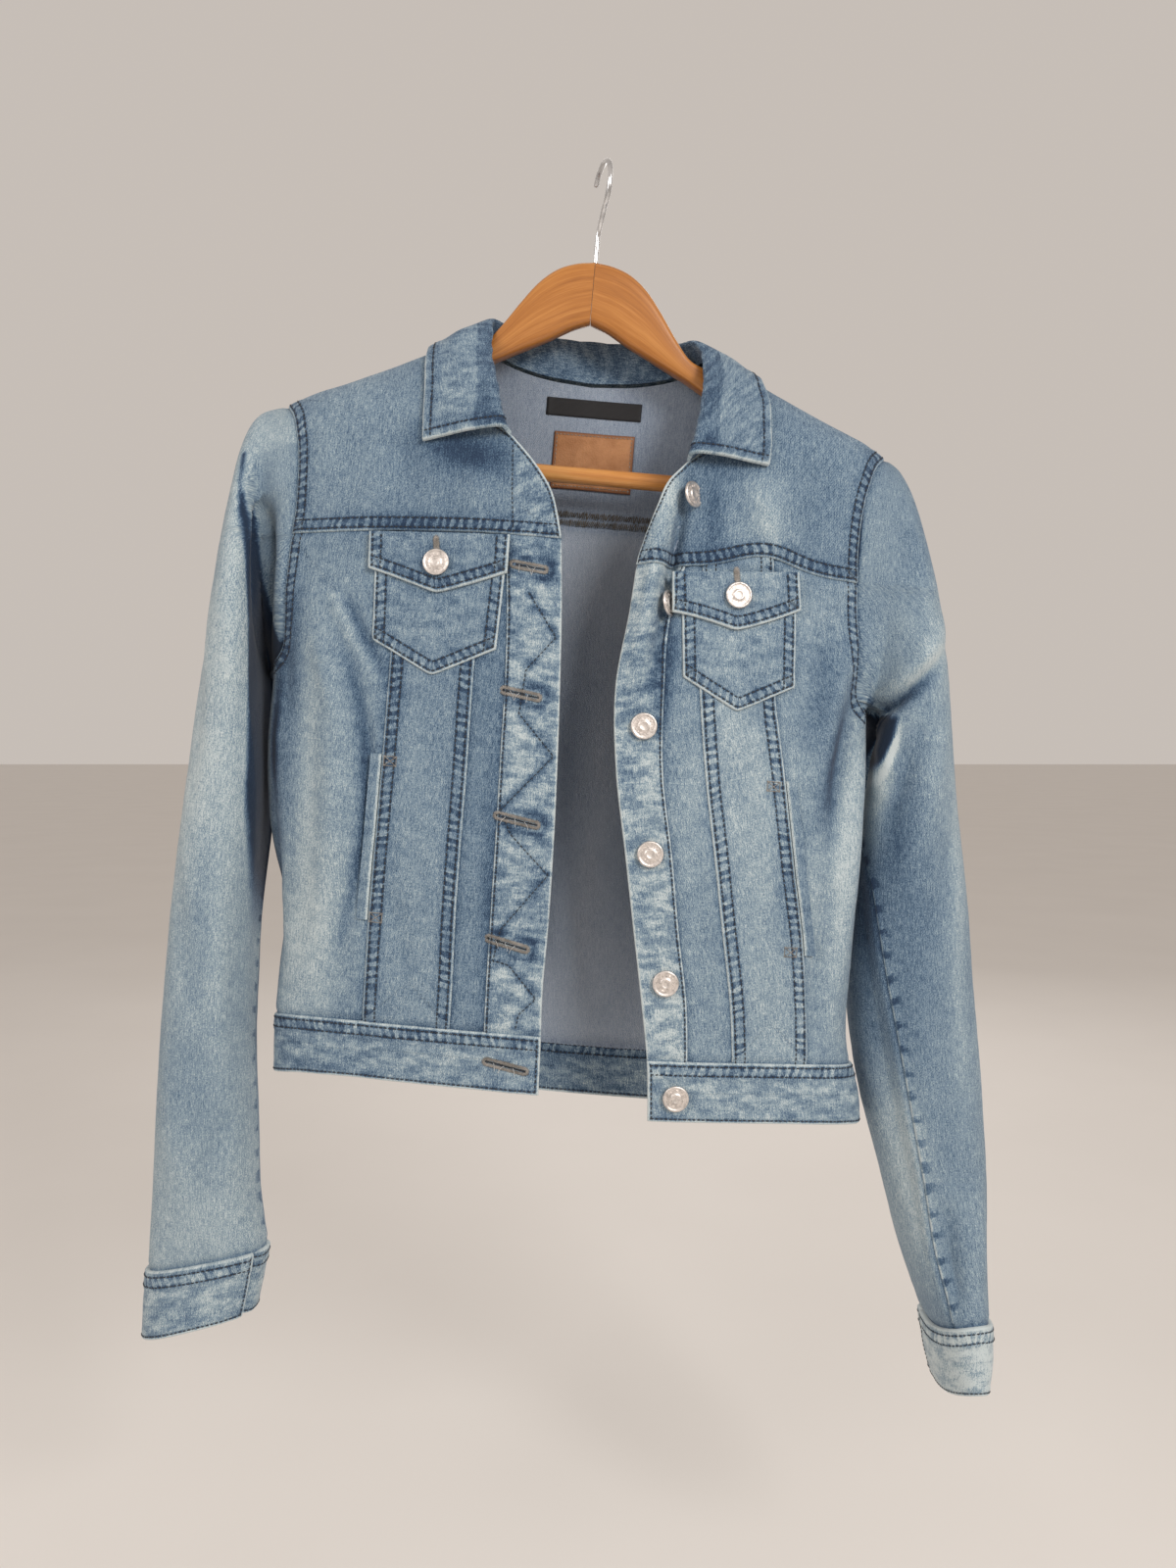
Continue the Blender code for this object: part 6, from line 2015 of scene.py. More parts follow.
def stitch_tree():
    tree = bpy.data.node_groups.new("rows_of_stitches", "GeometryNodeTree")
    tree.interface.new_socket("Geometry", in_out="INPUT", socket_type="NodeSocketGeometry")
    tree.interface.new_socket("Geometry", in_out="OUTPUT", socket_type="NodeSocketGeometry")
    keys = {name: number_input(tree, name, value) for name, value in
            (("Pitch", 0.003), ("Length", 0.0025), ("Width", 0.0007), ("Height", 0.0005), ("Turn", 0.0),
             ("Jitter", 0.12), ("Seed", 1.0))}
    made = tree.interface.new_socket("Thread", in_out="INPUT", socket_type="NodeSocketMaterial")
    keys["Thread"] = made.identifier
    source = put(tree, "NodeGroupInput").outputs
    line = put(tree, "GeometryNodeMeshToCurve", {"Mesh": source["Geometry"]}).outputs[0]
    steps = put(tree, "GeometryNodeResampleCurve", {"Curve": line, "Length": source["Pitch"]}, mode="LENGTH")
    flat = put(tree, "GeometryNodeInputNamedAttribute", {"Name": "lay"}, data_type="FLOAT_VECTOR").outputs[0]
    along = put(tree, "GeometryNodeInputTangent").outputs[0]
    lying = put(tree, "FunctionNodeAxesToRotation", {"Primary Axis": flat, "Secondary Axis": along},
                primary_axis="Z", secondary_axis="X").outputs[0]
    uneven = []
    for number in range(3):
        seed = total(tree, source["Seed"], 10.0 * number)
        seed = put(tree, "FunctionNodeFloatToInt", {0: seed}).outputs[0]
        made = put(tree, "FunctionNodeRandomValue", {"Min": -1.0, "Max": 1.0, "Seed": seed},
                   data_type="FLOAT")
        value = next(socket for socket in made.outputs if socket.enabled)
        uneven.append(product(tree, value, source["Jitter"]))
    swing = total(tree, source["Turn"], uneven[0])
    spin = put(tree, "ShaderNodeCombineXYZ", {2: swing}).outputs[0]
    local = put(tree, "FunctionNodeEulerToRotation", {0: spin}).outputs[0]
    lying = put(tree, "FunctionNodeRotateRotation", {0: lying, 1: local}, rotation_space="LOCAL").outputs[0]
    longer = product(tree, total(tree, uneven[1], 1.0), source["Length"])
    wider = product(tree, total(tree, uneven[2], 1.0), source["Width"])
    size = put(tree, "ShaderNodeCombineXYZ", {0: longer, 1: wider, 2: source["Height"]}).outputs[0]
    bead = put(tree, "GeometryNodeMeshUVSphere", {"Segments": 6, "Rings": 4, "Radius": 0.5}).outputs["Mesh"]
    placed = put(tree, "GeometryNodeInstanceOnPoints", {"Points": steps.outputs[0], "Instance": bead,
                                                        "Rotation": lying, "Scale": size})
    real = put(tree, "GeometryNodeRealizeInstances", {0: placed.outputs[0]})
    smooth = put(tree, "GeometryNodeSetShadeSmooth", {0: real.outputs[0]})
    dyed = put(tree, "GeometryNodeSetMaterial", {0: smooth.outputs[0], "Material": source["Thread"]})
    tree.links.new(dyed.outputs[0], put(tree, "NodeGroupOutput").inputs[0])
    return tree, keys


STITCHES, STITCH_KEYS = stitch_tree()
print("stitch tree:", len(STITCHES.nodes), "nodes, inputs", list(STITCH_KEYS))

# %% [markdown]
# The thread is spun cotton, a little shiny, with its twist seen as fine slanting bands. A row is a mesh of
# bare edges with the cloth's normal stored on each point. Evaluating the tree once turns it into a plain
# mesh, and the modifier goes.

# %% Thread, and sewing along lines
def paint_thread(name, dark, light):
    made, tree, shader = new_material(name)
    where = object_place(tree)
    twist = put(tree, "ShaderNodeTexWave", {"Vector": where, "Scale": 700.0, "Distortion": 3.0},
                bands_direction="DIAGONAL").outputs["Fac"]
    worn = noise(tree, where, 160.0, 2.0)
    level = total(tree, product(tree, twist, 0.3), product(tree, worn, 0.9))
    colour = ramp(tree, level, (0.35, dark), (0.85, light))
    fill(tree, shader, {"Base Color": colour, "Roughness": 0.55, "Specular IOR Level": 0.3})
    raise_surface(tree, shader, twist, 0.0001)
    return made


BLUE_THREAD = paint_thread("slate_thread", (0.020, 0.023, 0.030), (0.055, 0.060, 0.070))
BEIGE_THREAD = paint_thread("beige_thread", (0.16, 0.145, 0.13), (0.42, 0.39, 0.36))
GREY_THREAD = paint_thread("grey_thread", (0.10, 0.095, 0.085), (0.24, 0.22, 0.20))


def sew(name, lines, thread, pitch=3.0, length=2.5, width=1.0, height=0.6, turn=0.0, jitter=0.1, seed=1):
    """One mesh of stitches along the lines, each a pair of points and normals in the jacket's frame."""
    points = world(np.concatenate([line for line, _ in lines]))
    lay = world_direction(np.concatenate([normal for _, normal in lines]))
    edges = []
    start = 0
    for line, _ in lines:
        edges += [(start + i, start + i + 1) for i in range(len(line) - 1)]
        start += len(line)
    mesh = bpy.data.meshes.new(name)
    mesh.from_pydata(points.tolist(), edges, [])
    slot = mesh.attributes.new("lay", "FLOAT_VECTOR", "POINT")
    slot.data.foreach_set("vector", lay.astype(np.float32).ravel())
    bare = add_object(name, mesh)
    modifier = bare.modifiers.new("stitches", "NODES")
    modifier.node_group = STITCHES
    values = {"Pitch": pitch * MM, "Length": length * MM, "Width": width * MM, "Height": height * MM,
              "Turn": turn, "Jitter": jitter, "Seed": float(seed), "Thread": thread}
    for key, value in values.items():
        modifier[STITCH_KEYS[key]] = value
    view = bpy.context.evaluated_depsgraph_get()
    finished = bpy.data.meshes.new_from_object(bare.evaluated_get(view), depsgraph=view)
    bpy.data.objects.remove(bare)
    if "lay" in finished.attributes:
        finished.attributes.remove(finished.attributes["lay"])
    finished.name = name
    return add_object(name, finished)


print("threads:", [m.name for m in (BLUE_THREAD, BEIGE_THREAD, GREY_THREAD)])

# %% [markdown]
# Each seam says how far its rows are from the edge. The row is found on the finished cloth, at that
# distance on every line of the grid, so that it follows all the folds and puckers.

# %% Rows of stitches on every seam
LIE = 0.26  # how far the thread's middle stands above the cloth


def row_on(piece, side, row, low=-FAR, high=FAR):
    """Points and normals at a distance from a side, cut where they would cross another side's edge."""
    axis, end = SIDES[side]
    found = piece["found"]
    others = [found[s][0] for s in found if s != side and piece["edges"][s] is not UNDER]
    grids = [piece["outer"], piece["normal"], found[side][0], found[side][2], *others]
    if axis == 0:
        grids = [turned(grid) for grid in grids]
    if end == -1:
        grids = [grid[:, ::-1] for grid in grids]
    outer, normal, away, down, *others = grids
    points, lays = [], []
    for i in range(len(outer)):
        last = int(np.argmax(away[i] > row + 0.05))
        if last == 0 or not low <= down[i, last] < high:
            continue
        share = (row - away[i, last - 1]) / (away[i, last] - away[i, last - 1])
        if any(mix(other[i, last - 1], other[i, last], share) < min(row, 2.4) - 0.2 for other in others):
            continue
        points.append(mix(outer[i, last - 1], outer[i, last], share) + normal[i, last] * LIE)
        lays.append(normal[i, last])
    return np.array(points), np.array(lays)


def rows_of(piece):
    """The lines of all the rows that a piece's seams ask for."""
    lines = []
    for side, edge in piece["edges"].items():
        for low, high, kind in spans_of(edge):
            for row in kind["rows"]:
                points, lays = row_on(piece, side, row, low, high)
                if len(points) > 2:
                    lines.append((points, lays))
    return lines


SEWN = {"front_right": ("front_yoke_right", "placket_right", "front_mid_right", "front_side_right",
                        "hem_band_right"),
        "front_left": ("front_yoke_left", "button_band_left", "front_mid_left", "front_side_left",
                       "hem_band_left"),
        "back": ("back_yoke", "back_centre", "back_side_right", "back_side_left", "hem_band_back"),
        "sleeves": ("sleeve_top_right", "sleeve_top_left", "cuff_right", "cuff_left"),
        "collar": ("collar",),
        "pockets": ("chest_pocket_right", "chest_pocket_left", "pocket_flap_right", "pocket_flap_left")}
THREADS = {}
for place, names in SEWN.items():
    lines = [line for name in names for line in rows_of(PIECES[f"{name}_cloth"])]
    THREADS[place] = sew(f"stitches_{place}", lines, BLUE_THREAD, seed=len(THREADS) + 1)
print("stitches:", {place: len(made.data.polygons) // 24 for place, made in THREADS.items()})

# %% [markdown]
# ## Buttonholes, tacks and the crossed row
# A buttonhole is a slit with dense satin stitches all round it. The placket also carries a row of plain
# stitches that crosses from one edge to the other between the buttonholes, and small boxed crosses hold
# the ends of the side pockets. They are drawn as places on the front and laid on the finished cloth.

# %% Sewn details of the front
def on_cloth(name, places, lift=LIE):
    """Points and normals of a piece at places (x, down) seen from the front."""
    points = PIECES[f"{name}_cloth"]["outer"].reshape(-1, 3)
    lays = PIECES[f"{name}_cloth"]["normal"].reshape(-1, 3)
    found, turned_up = [], []
    for x, down in places:
        near = np.argpartition(np.hypot(points[:, 0] - x, points[:, 2] + down), 12)[:12]
        flat = np.column_stack([np.ones(12), points[near, 0] - x, points[near, 2] + down])
        depth = np.linalg.lstsq(flat, points[near, 1], rcond=None)[0][0]
        lay = unit(lays[near].mean(axis=0))
        found.append(np.array([x, depth, -down]) + lay * lift)
        turned_up.append(lay)
    return np.array(found), np.array(turned_up)


def dense(stops, step=0.9):
    """Places at equal steps along straight lines."""
    stops = np.array(stops, float)
    reach = along_line(stops)
    at = np.linspace(0, reach[-1], max(int(reach[-1] / step), 2))
    return np.column_stack([np.interp(at, reach, stops[:, 0]), np.interp(at, reach, stops[:, 1])])


def slit_loop(start, end, half):
    """The outline round a slit from start to end, with round ends."""
    start, end = np.array(start, float), np.array(end, float)
    along = (end - start) / np.hypot(*(end - start))
    aside = np.array([-along[1], along[0]])
    turn = np.linspace(-math.pi / 2, math.pi / 2, 9)
    cap = [end + half * (math.cos(t) * along + math.sin(t) * aside) for t in turn]
    tail = [start - half * (math.cos(t) * along + math.sin(t) * aside) for t in turn]
    return dense([*cap, *tail, cap[0]], 0.5)


YOKE_ROW = ((-41, 200), (-39, 228), (-36, 254))
TACKS = (("front_mid_right", -101, 406), ("front_mid_right", -102, 506), ("front_mid_left", 143, 401),
         ("front_mid_left", 164, 506))


def tack_lines(x, down):
    box = [(x - 4, down - 3), (x + 4, down - 3), (x + 4, down + 3), (x - 4, down + 3), (x - 4, down - 3)]
    return [box, [(x - 4, down - 3), (x + 4, down + 3)], [(x - 4, down + 3), (x + 4, down - 3)]]


def add_details():
    loops = [on_cloth(name, slit_loop(start, end, 0.9 if "flap" in name else 1.9), 0.3)
             for name, start, end in HOLES]
    # the slits are sewn in near-black: painted shadow inside each buttonhole
    slits = [on_cloth(name, dense([start, end]), 0.12) for name, start, end in HOLES[:FRONT_HOLES]]
    tacks = [on_cloth(name, dense(line, 0.8), 0.3)
             for name, x, down in TACKS for line in tack_lines(x, down)]
    fray = []
    for number, (name, start, end) in enumerate(HOLES[:FRONT_HOLES]):
        for k in range(3):
            x = mix(start[0], end[0], 0.2 + 0.25 * k)
            down = mix(start[1], end[1], 0.2 + 0.25 * k)
            swing = math.sin(number * 2.3 + k * 1.9)
            thread = [(x, down), (x + 2 * swing, down + 2), (x + 3 * swing, down + 4.4)]
            fray.append(on_cloth(name, dense(thread, 0.5), 0.9))
    rows = [on_cloth("placket_right", dense(CROSSED_ROW)), on_cloth("front_yoke_right", dense(YOKE_ROW))]
    return {"placket": sew("stitches_placket", rows, BLUE_THREAD, width=0.75, seed=21),
            "holes": sew("buttonholes", loops, BEIGE_THREAD, 0.5, 2.7, 0.55, 0.7, math.pi / 2, 0.16, 22),
            "slits": sew("buttonhole_slits", slits, SLIT_SHADOW, 0.9, 1.4, 1.3, 0.4, seed=23),
            "tacks": sew("tacks", tacks, BEIGE_THREAD, 0.9, 1.3, 0.6, 0.5, seed=24),
            "fray": sew("loose_threads", fray, WHITE_THREAD, 0.7, 1.0, 0.34, 0.34, seed=25)}


# Painted shadow: a near-black paint for the slits, where the gap of a buttonhole is in shade.
SLIT_SHADOW = paint_thread("painted_slit_shadow", (0.010, 0.012, 0.018), (0.03, 0.035, 0.045))
WHITE_THREAD = paint_thread("white_weft", (0.55, 0.56, 0.56), (0.74, 0.74, 0.73))
THREADS.update(add_details())
print("buttonholes:", len(HOLES), "tacks:", len(TACKS))

# %% [markdown]
# Inside, the seam below the back yoke is overlocked: two bands of loops, the colour of dry earth, close
# over the raw edges. The hem band shows its rows on both sides, because it is sewn through.

# %% Sewing on the inside
KHAKI_THREAD = paint_thread("khaki_thread", (0.050, 0.042, 0.030), (0.19, 0.16, 0.12))


def inside_row(name, side, row, lift):
    piece = dict(PIECES[f"{name}_cloth"])
    piece["outer"] = piece["inner"] - piece["normal"] * lift
    piece["normal"] = -piece["normal"]
    return row_on(piece, side, row)


OVERLOCK = [inside_row("back_yoke", "s", 5.0, 1.2), inside_row("back_yoke", "s", 10.6, 0.7)]
THREADS["overlock"] = sew("overlock", OVERLOCK, KHAKI_THREAD, 1.3, 5.4, 0.8, 0.7, 1.35, 0.25, 31)
INSIDE = [inside_row("hem_band_back", "n", 2.4, 0.1), inside_row("hem_band_back", "n", 8.3, 0.1),
          inside_row("hem_band_back", "s", 2.2, 0.1)]
THREADS["inside"] = sew("stitches_inside", INSIDE, BLUE_THREAD, seed=32)
print("inside rows:", len(OVERLOCK) + len(INSIDE))

# %% [markdown]
# ## Buttons
# A jacket button is a pressed metal cap on a nail: a raised rim, a flat ring and a small disc in the
# middle. It is turned like a bowl from half its outline, with a ring of small raised dots where a maker
# would put letters. The metal is a warm silver, dull in the hollows and bright on the rim.

# %% Metal
def paint_metal(name, colour, roughness, scale):
    made, tree, shader = new_material(name)
    where = object_place(tree)
    tarnish = noise(tree, where, scale, 3.0, 0.6)
    dull = tuple(0.62 * value for value in colour)
    fill(tree, shader, {"Base Color": ramp(tree, tarnish, (0.32, dull), (0.55, colour)), "Metallic": 1.0,
                        "Roughness": map_range(tree, tarnish, 0.3, 0.7, roughness + 0.18, roughness)})
    fine = noise(tree, where, 2400.0, 2.0)
    raise_surface(tree, shader, fine, 0.00005, 0.6)
    return made


BUTTON_METAL = paint_metal("warm_silver", (0.80, 0.74, 0.70), 0.36, 420.0)
CHROME = paint_metal("polished_steel", (0.80, 0.80, 0.81), 0.12, 90.0)
print("metals:", BUTTON_METAL.name, CHROME.name)

# %% Turned buttons
CAP = ((4.1, 0.0), (4.1, 1.2), (7.6, 1.25), (8.35, 1.6), (8.5, 2.2), (8.3, 2.85), (7.75, 3.2), (7.2, 3.15),
       (6.75, 2.85), (6.4, 2.78), (3.9, 2.85), (3.6, 3.0), (3.3, 3.3), (2.7, 3.4), (2.2, 3.25), (1.7, 3.1),
       (0.0, 3.1))
CAP_SIDES = 40
DOTS = 22
BAND_BUTTONS = table("x down", (75, 221), (65, 291), (57, 370), (68, 450), (85, 531), (98, 604))
CUFF_BUTTON = {RIGHT: 240.0, LEFT: 272.0}


def turned_faces(rings, sides):
    """Faces of rings of points; the first ring is open and the last is a single point."""
    faces = [tuple(range(sides))[::-1]]
    for i in range(rings - 2):
        for k in range(sides):
            a, b = i * sides + k, i * sides + (k + 1) % sides
            faces.append((a, b, b + sides, a + sides))
    top = (rings - 1) * sides
    for k in range(sides):
        faces.append(((rings - 2) * sides + k, (rings - 2) * sides + (k + 1) % sides, top))
    return faces


def dot_faces(start):
    """A small raised dot: a square base and a smaller square top."""
    a = start
    return [(a, a + 1, a + 5, a + 4), (a + 1, a + 2, a + 6, a + 5), (a + 2, a + 3, a + 7, a + 6),
            (a + 3, a, a + 4, a + 7), (a + 4, a + 5, a + 6, a + 7)]


def add_button(name, base, normal):
    side = unit(np.cross(normal, np.array([0.0, 0.3, 1.0])))
    other = np.cross(normal, side)
    points = []
    for radius, height in CAP[:-1]:
        for k in range(CAP_SIDES):
            turn = 2 * math.pi * k / CAP_SIDES
            points.append(base + normal * height + radius * (math.cos(turn) * side + math.sin(turn) * other))
    points.append(base + normal * CAP[-1][1])
    faces = turned_faces(len(CAP), CAP_SIDES)
    for number in range(DOTS):
        turn = 2 * math.pi * (number + 0.3 * math.sin(number * 2.1)) / DOTS
        out = math.cos(turn) * side + math.sin(turn) * other
        round_it = np.cross(normal, out)
        faces += dot_faces(len(points))
        for half, height in ((0.55, 2.7), (0.38, 3.12)):
            for p, q in ((-1, -1), (1, -1), (1, 1), (-1, 1)):
                points.append(base + normal * height + out * (5.2 + 1.5 * half * p) + round_it * half * q)
    mesh = bpy.data.meshes.new(name)
    mesh.from_pydata(world(np.array(points)).tolist(), [], faces)
    mesh.materials.append(BUTTON_METAL)
    return add_smooth(name, mesh, 45.0)


# The two upper buttons sit on the flank of the rolled band, so they face sideways: tilt and shift.
SIDEWAYS = {"front_button_1": (1.5, np.array([2.0, -3.5, 0.0])),
            "front_button_2": (2.2, np.array([2.0, -5.0, 0.0]))}


def add_buttons():
    made = {}
    places = [(f"front_button_{i}", x, down, CLOTH / 2 if down < NEAR_HEM else DOUBLE / 2)
              for i, (x, down) in enumerate(zip(BAND_BUTTONS["x"], BAND_BUTTONS["down"]), 1)]
    places += [(f"flap_button_{side}", *POCKET[side]["button"], FLAP_LIFT + 1.0) for side in (RIGHT, LEFT)]
    for name, x, down, lift in places:
        angle = angle_at(np.array([float(x)]), np.array([float(down)]))
        normal = torso_normal(angle, float(down))[0]
        point = torso(angle, float(down))
        base = (point + normal * (lift + ripples(point)[0] + 0.1))[0]
        if name in SIDEWAYS:
            middle = base + normal * 1.6 + SIDEWAYS[name][1]
            normal = unit(normal + SIDEWAYS[name][0] * np.array([1.0, 0.0, 0.1]))
            base = middle - normal * 1.6
        made[name] = add_button(f"{name}_cap", base, normal)
    for side in (RIGHT, LEFT):
        turn, v = np.array([CUFF_BUTTON[side]]), np.array([0.55])
        normal = cuff_normal(side, turn, v)[0]
        base = cuff(side, turn, v)[0] + normal * (DOUBLE / 2 + 0.2)
        made[f"cuff_button_{side}"] = add_button(f"cuff_button_{side}_cap", base, normal)
    return made


BUTTONS = add_buttons()
print("buttons:", len(BUTTONS), "each with", DOTS, "dots")

# %% [markdown]
# ## Hanger
# The hanger is two curved halves of varnished beech, glued in the middle, with a round bar below and a wire
# hook. Each half is swept along its length as a rounded board, so that the varnish catches light along its
# edges. The grain runs along the arm, which is why the material reads coordinates that follow it.

# %% Wood
# Top and bottom edge along one arm.
HANGER = table(
    "x top bottom",
    (0.15, 65, 105),
    (13, 67, 110),
    (26, 72.5, 117.5),
    (37, 82, 123),
    (47, 95, 128),
    (58, 111, 133.6),
    (68, 123.3, 138.5),
    (79, 128.5, 145),
    (110, 142, 160),
    (150, 159.5, 178),
    (180, 174, 193),
    (188.3, 178, 197),
    (188.8, 178.5, 214),
    (201, 186, 214),
    (207, 194, 210),
)
WOOD_THICKNESS = 14.0
HOOKED_END = 180.0  # distance out where the arm drops to hold the trouser bar
BAR_RADIUS = 5.6
BAR_DOWN = 205.5
BAR_HALF = 188.0
BOARD_SIDES = 28


def paint_wood(name, dark, middle, light):
    made, tree, shader = new_material(name)
    uv = piece_place(tree)
    grain = noise(tree, uv, 1.0, 4.0, 0.65, stretch=(14.0, 420.0, 1.0))
    pores = noise(tree, uv, 1.0, 2.0, 0.7, stretch=(60.0, 1900.0, 1.0), shift=(2.0, 5.0, 0.0))
    wide = noise(tree, uv, 1.0, 2.0, 0.5, stretch=(5.0, 55.0, 1.0))
    level = total(tree, product(tree, grain, 0.5), product(tree, wide, 0.45), product(tree, pores, 0.15))
    fill(tree, shader, {"Base Color": ramp(tree, level, (0.36, dark), (0.54, middle), (0.72, light)),
                        "Roughness": map_range(tree, pores, 0.3, 0.7, 0.30, 0.42),
                        "Coat Weight": 0.35, "Coat Roughness": 0.18})
    raise_surface(tree, shader, level, 0.0004, 0.5)
    return made


WOOD = paint_wood("honey_varnished_wood", (0.26, 0.085, 0.014), (0.42, 0.155, 0.028), (0.58, 0.25, 0.06))
PALE_WOOD = paint_wood("pale_varnished_wood", (0.42, 0.15, 0.03), (0.62, 0.26, 0.06), (0.78, 0.40, 0.13))


def swept(name, rings, uv, material):
    """A closed tube through rings of points, with its ends filled."""
    count, sides = rings.shape[:2]
    faces, corners = [], []
    for i in range(count - 1):
        for k in range(sides):
            after = (k + 1) % sides
            a = i * sides
            faces.append((a + k, a + after, a + sides + after, a + sides + k))
            corners.append([uv[i, k], uv[i, k + 1], uv[i + 1, k + 1], uv[i + 1, k]])
    for ring, order in ((0, range(sides - 1, -1, -1)), (count - 1, range(sides))):
        faces.append(tuple(ring * sides + k for k in order))
        corners.append([uv[ring, k] for k in order])
    middle = rings.mean(axis=1)
    along = middle[1] - middle[0]
    turn = np.cross(rings[0, 1] - rings[0, 0], rings[0, 0] - middle[0])
    if np.dot(turn, along) > 0:
        faces = [face[::-1] for face in faces]
        corners = [corner[::-1] for corner in corners]
    mesh = bpy.data.meshes.new(name)
    mesh.from_pydata(world(rings.reshape(-1, 3)).tolist(), [], faces)
    mesh.materials.append(material)
    layer = mesh.uv_layers.new(name="UVMap")
    layer.data.foreach_set("uv", (np.concatenate(corners) * MM).ravel())
    return add_smooth(name, mesh, 40.0)


def ring_uv(along, around):
    """Place on a swept tube: how far along it, and how far round its ring."""
    return np.stack(np.broadcast_arrays(along[:, None], around), -1)


def add_arm(side):
    x = np.concatenate([np.linspace(HANGER["x"][0], HOOKED_END, 90), np.linspace(182, 207, 14)])
    top = curve(HANGER["x"], HANGER["top"], x)
    smooth = HANGER["x"] <= HOOKED_END
    bottom = np.where(x > HOOKED_END, np.interp(x, HANGER["x"], HANGER["bottom"]),
                      curve(HANGER["x"][smooth], HANGER["bottom"][smooth], x))
    turn = 2 * math.pi * np.arange(BOARD_SIDES + 1) / BOARD_SIDES
    across = power(np.cos(turn), 0.42)
    upright = power(np.sin(turn), 0.55)
    half_height = (bottom - top) / 2
    tip = np.sqrt(np.clip((x[-1] + 1.0 - x) / 8.0, 0, 1))[:, None]
    rings = np.stack([FRONT[side]["sign"] * x[:, None] + 0 * turn,
                      WOOD_THICKNESS / 2 * across * (0.6 + 0.4 * tip),
                      -(top + half_height)[:, None] + half_height[:, None] * upright * tip], -1)
    uv = ring_uv(x, along_line(rings[20])) + 300 * (side == LEFT)
    return swept(f"hanger_arm_{side}_board", rings[:, :-1], uv, WOOD)


def add_bar():
    x = np.concatenate([[-BAR_HALF, -BAR_HALF + 0.6], np.linspace(-BAR_HALF + 3, BAR_HALF - 3, 24),
                        [BAR_HALF - 0.6, BAR_HALF]])
    turn = 2 * math.pi * np.arange(25) / 24
    radius = np.where(np.abs(x) > BAR_HALF - 0.3, BAR_RADIUS - 0.6, BAR_RADIUS)[:, None]
    rings = np.stack([x[:, None] + 0 * turn, radius * np.cos(turn), -BAR_DOWN + radius * np.sin(turn)], -1)
    return swept("hanger_bar_rod", rings[:, :-1], ring_uv(x, BAR_RADIUS * turn) + 900, PALE_WOOD)


ARMS = {side: add_arm(side) for side in (RIGHT, LEFT)}
BAR = add_bar()
print("hanger arms:", [len(arm.data.polygons) for arm in ARMS.values()], "faces")

# %% [markdown]
# The hook is one bent wire: a loop over the rail, an open bend back under its middle, and a straight stem
# into the wood. A round tube is swept along that line, with rings turned to stay square to it.

# %% Hook
WIRE_RADIUS = 1.75
HOOK_RADIUS = 18.0
HOOK_TIP, HOOK_END = 152.0, -52.0  # degrees round the loop, from level with its centre
HOOK_TURN = math.radians(73.0)  # the hook's plane, turned from the hanger's
# Below the loop the wire swings back under its middle: distance along the hook's plane, height.
HOOK_BEND = ((8.6, -33.5), (5.4, -37.4), (2.6, -41.4), (0.9, -45.6), (0.15, -50), (0, -56))
STEM_BOTTOM = 90.0


def add_hook():
    centre = -HOOK_RADIUS + WIRE_RADIUS
    turns = np.radians(np.linspace(HOOK_TIP, HOOK_END, 60))
    loop = np.stack([HOOK_RADIUS * np.cos(turns), centre + HOOK_RADIUS * np.sin(turns)], -1)
    bend = np.array(HOOK_BEND)
    t = np.linspace(0, 1, 30)
    reach = along_line(bend)
    smooth = np.stack([curve(reach, bend[:, k], reach[-1] * t) for k in (0, 1)], -1)
    stem = np.stack([np.zeros(8), np.linspace(-60, -STEM_BOTTOM, 8)], -1)
    flat = np.concatenate([loop, smooth[1:], stem])
    route = np.stack([flat[:, 0] * math.cos(HOOK_TURN), -flat[:, 0] * math.sin(HOOK_TURN), flat[:, 1]], -1)
    sideways = np.array([math.sin(HOOK_TURN), math.cos(HOOK_TURN), 0.0])
    run = unit(np.gradient(route, axis=0))
    other = np.cross(run, sideways)
    turn = 2 * math.pi * np.arange(17) / 16
    radius = np.full(len(route), WIRE_RADIUS)
    radius[0] *= 0.6
    ring = np.cos(turn)[None, :, None] * sideways + np.sin(turn)[None, :, None] * other[:, None]
    rings = route[:, None] + radius[:, None, None] * ring
    return swept("hanger_hook_wire", rings[:, :-1], ring_uv(along_line(route), WIRE_RADIUS * turn), CHROME)


HOOK = add_hook()
print("hook:", len(HOOK.data.polygons), "faces")

# %% [markdown]
# ## Labels
# Inside the back yoke are sewn a narrow woven label and a leather patch. Both are left without words. The
# woven one is dense black satin, and the leather is grained and darker along its stitched edge.

# %% Woven label and leather patch
# Labels inside the back yoke: left, right, top and bottom edge.
LABEL_WOVEN = (-26, 40, 147.5, 159.5)
LABEL_PATCH = (-19, 37, 170, 209.5)


def paint_leather():
    made, tree, shader = new_material("tan_leather")
    where = object_place(tree)
    grain = put(tree, "ShaderNodeTexVoronoi", {"Vector": where, "Scale": 900.0}).outputs["Distance"]
    cloudy = noise(tree, where, 90.0, 3.0, 0.6)
    away = read_vector(tree, "seam")[1]
    edge = map_range(tree, away, 0.0, 0.0035, 0.0, 1.0)
    colour = ramp(tree, cloudy, (0.3, (0.33, 0.135, 0.045)), (0.7, (0.47, 0.215, 0.085)))
    fill(tree, shader, {"Base Color": blend(tree, edge, (0.20, 0.075, 0.028), colour),
                        "Roughness": map_range(tree, cloudy, 0.3, 0.7, 0.62, 0.5)})
    raise_surface(tree, shader, grain, 0.0003, 0.6)
    return made


def paint_satin():
    made, tree, shader = new_material("black_woven_satin")
    ribs = put(tree, "ShaderNodeTexWave", {"Vector": piece_place(tree), "Scale": 420.0, "Distortion": 0.6},
               bands_direction="Y").outputs["Fac"]
    colour = ramp(tree, ribs, (0.2, (0.004, 0.004, 0.006)), (0.8, (0.010, 0.0105, 0.013)))
    fill(tree, shader, {"Base Color": colour, "Roughness": 0.48, "Sheen Weight": 0.08})
    raise_surface(tree, shader, ribs, 0.0002, 0.7)
    return made


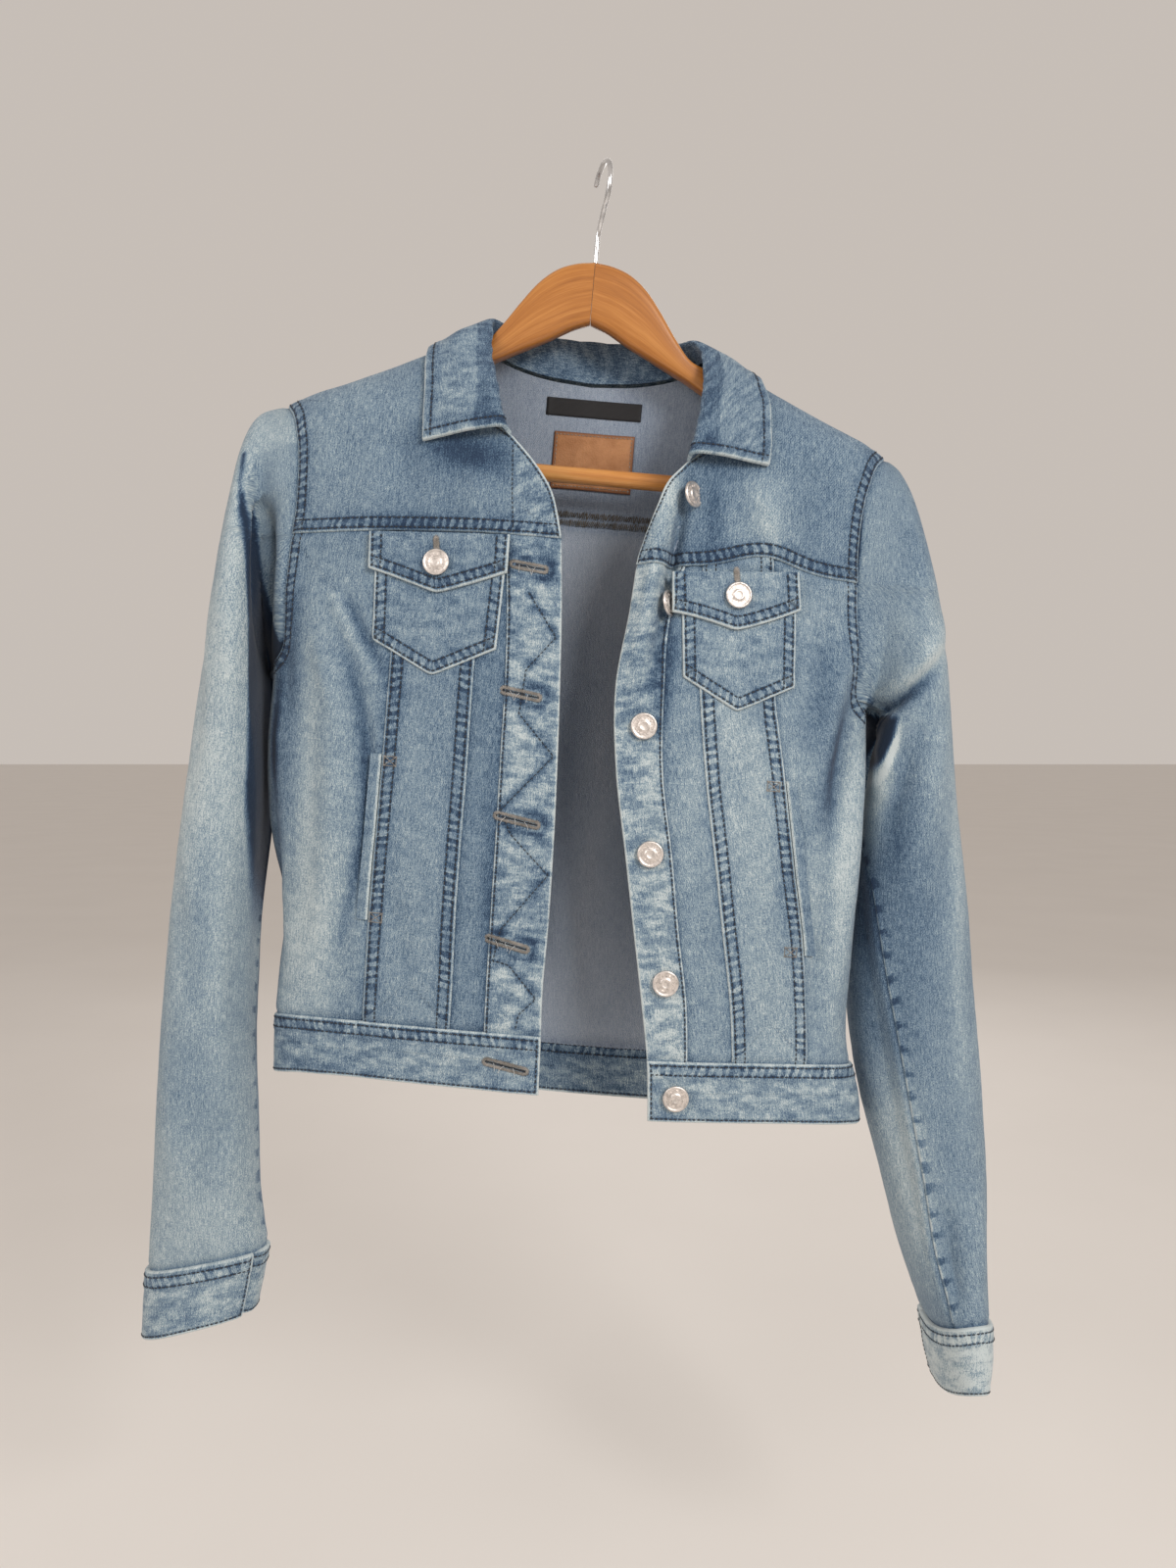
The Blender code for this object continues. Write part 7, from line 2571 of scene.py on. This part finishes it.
LABEL_EDGE = seam("free", (2.0,), 0.2, 3.0, 0.0)
TAPE_EDGE = seam("free", (), 0.2, 2.0, 0.15)


def add_label(name, sizes, thickness, gap, material, edge):
    first, last, top, bottom = sizes

    def place(u, v):
        down = mix(top, bottom, v)
        return torso(angle_at(mix(first, last, u), down, back=True), down)

    grid = fine_grid(place, step=SMALL_STEP)
    edges = {side: edge for side in SIDES}
    return cloth_piece(name, grid, lambda p: 2 * p - SHOULDER_CENTRE, edges, [material, material], thickness,
                       CLOTH / 2 + gap + thickness / 2, amount=-1.0)


TAPE = add_label("label_woven_tape", LABEL_WOVEN, 0.8, 0.3, paint_satin(), TAPE_EDGE)
PATCH = add_label("label_patch_leather", LABEL_PATCH, 1.2, 0.4, paint_leather(), LABEL_EDGE)
PATCH_THREAD = sew("stitches_patch", rows_of(PIECES["label_patch_leather"]), BEIGE_THREAD, 2.6, 2.0, 0.6,
                   0.4, seed=9)
print("labels:", TAPE.name, PATCH.name)

# %% [markdown]
# ## Fixing each piece to the body
# Every piece rides on the one body and stands for its solid, which is hidden. The size that a cloth piece
# was cut to is measured on the smooth surface before the ripples were added, and kept with the piece.

DOUBLED = ("hem_band", "cuff", "flap", "pocket", "welt", "placket", "button_band", "collar")
LABELS = {"label_woven_tape": ("label_woven", "label_cloth"),
          "label_patch_leather": ("label_patch", "label_leather")}


def declare_cloth():
    for name, piece in PIECES.items():
        made = piece["object"]
        node, slot = LABELS.get(name, (name.removesuffix("_cloth"), None))
        slot = slot or ("denim_double" if any(word in node for word in DOUBLED) else "denim")
        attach(made, "root")
        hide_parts(node)
        if "welt" in node:
            continue


def declare(made, slot, *nodes):
    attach(made, "root")
    if nodes:
        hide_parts(*nodes)


declare_cloth()
for made in (*THREADS.values(), PATCH_THREAD):
    declare(made, "denim")
for node, made in BUTTONS.items():
    declare(made, "button_metal", node)
for side, made in ARMS.items():
    declare(made, "wood", f"hanger_arm_{side}")
declare(BAR, "wood", "hanger_bar")
declare(HOOK, "hook_metal", "hanger_hook")
print("sheets:", len(PIECES))
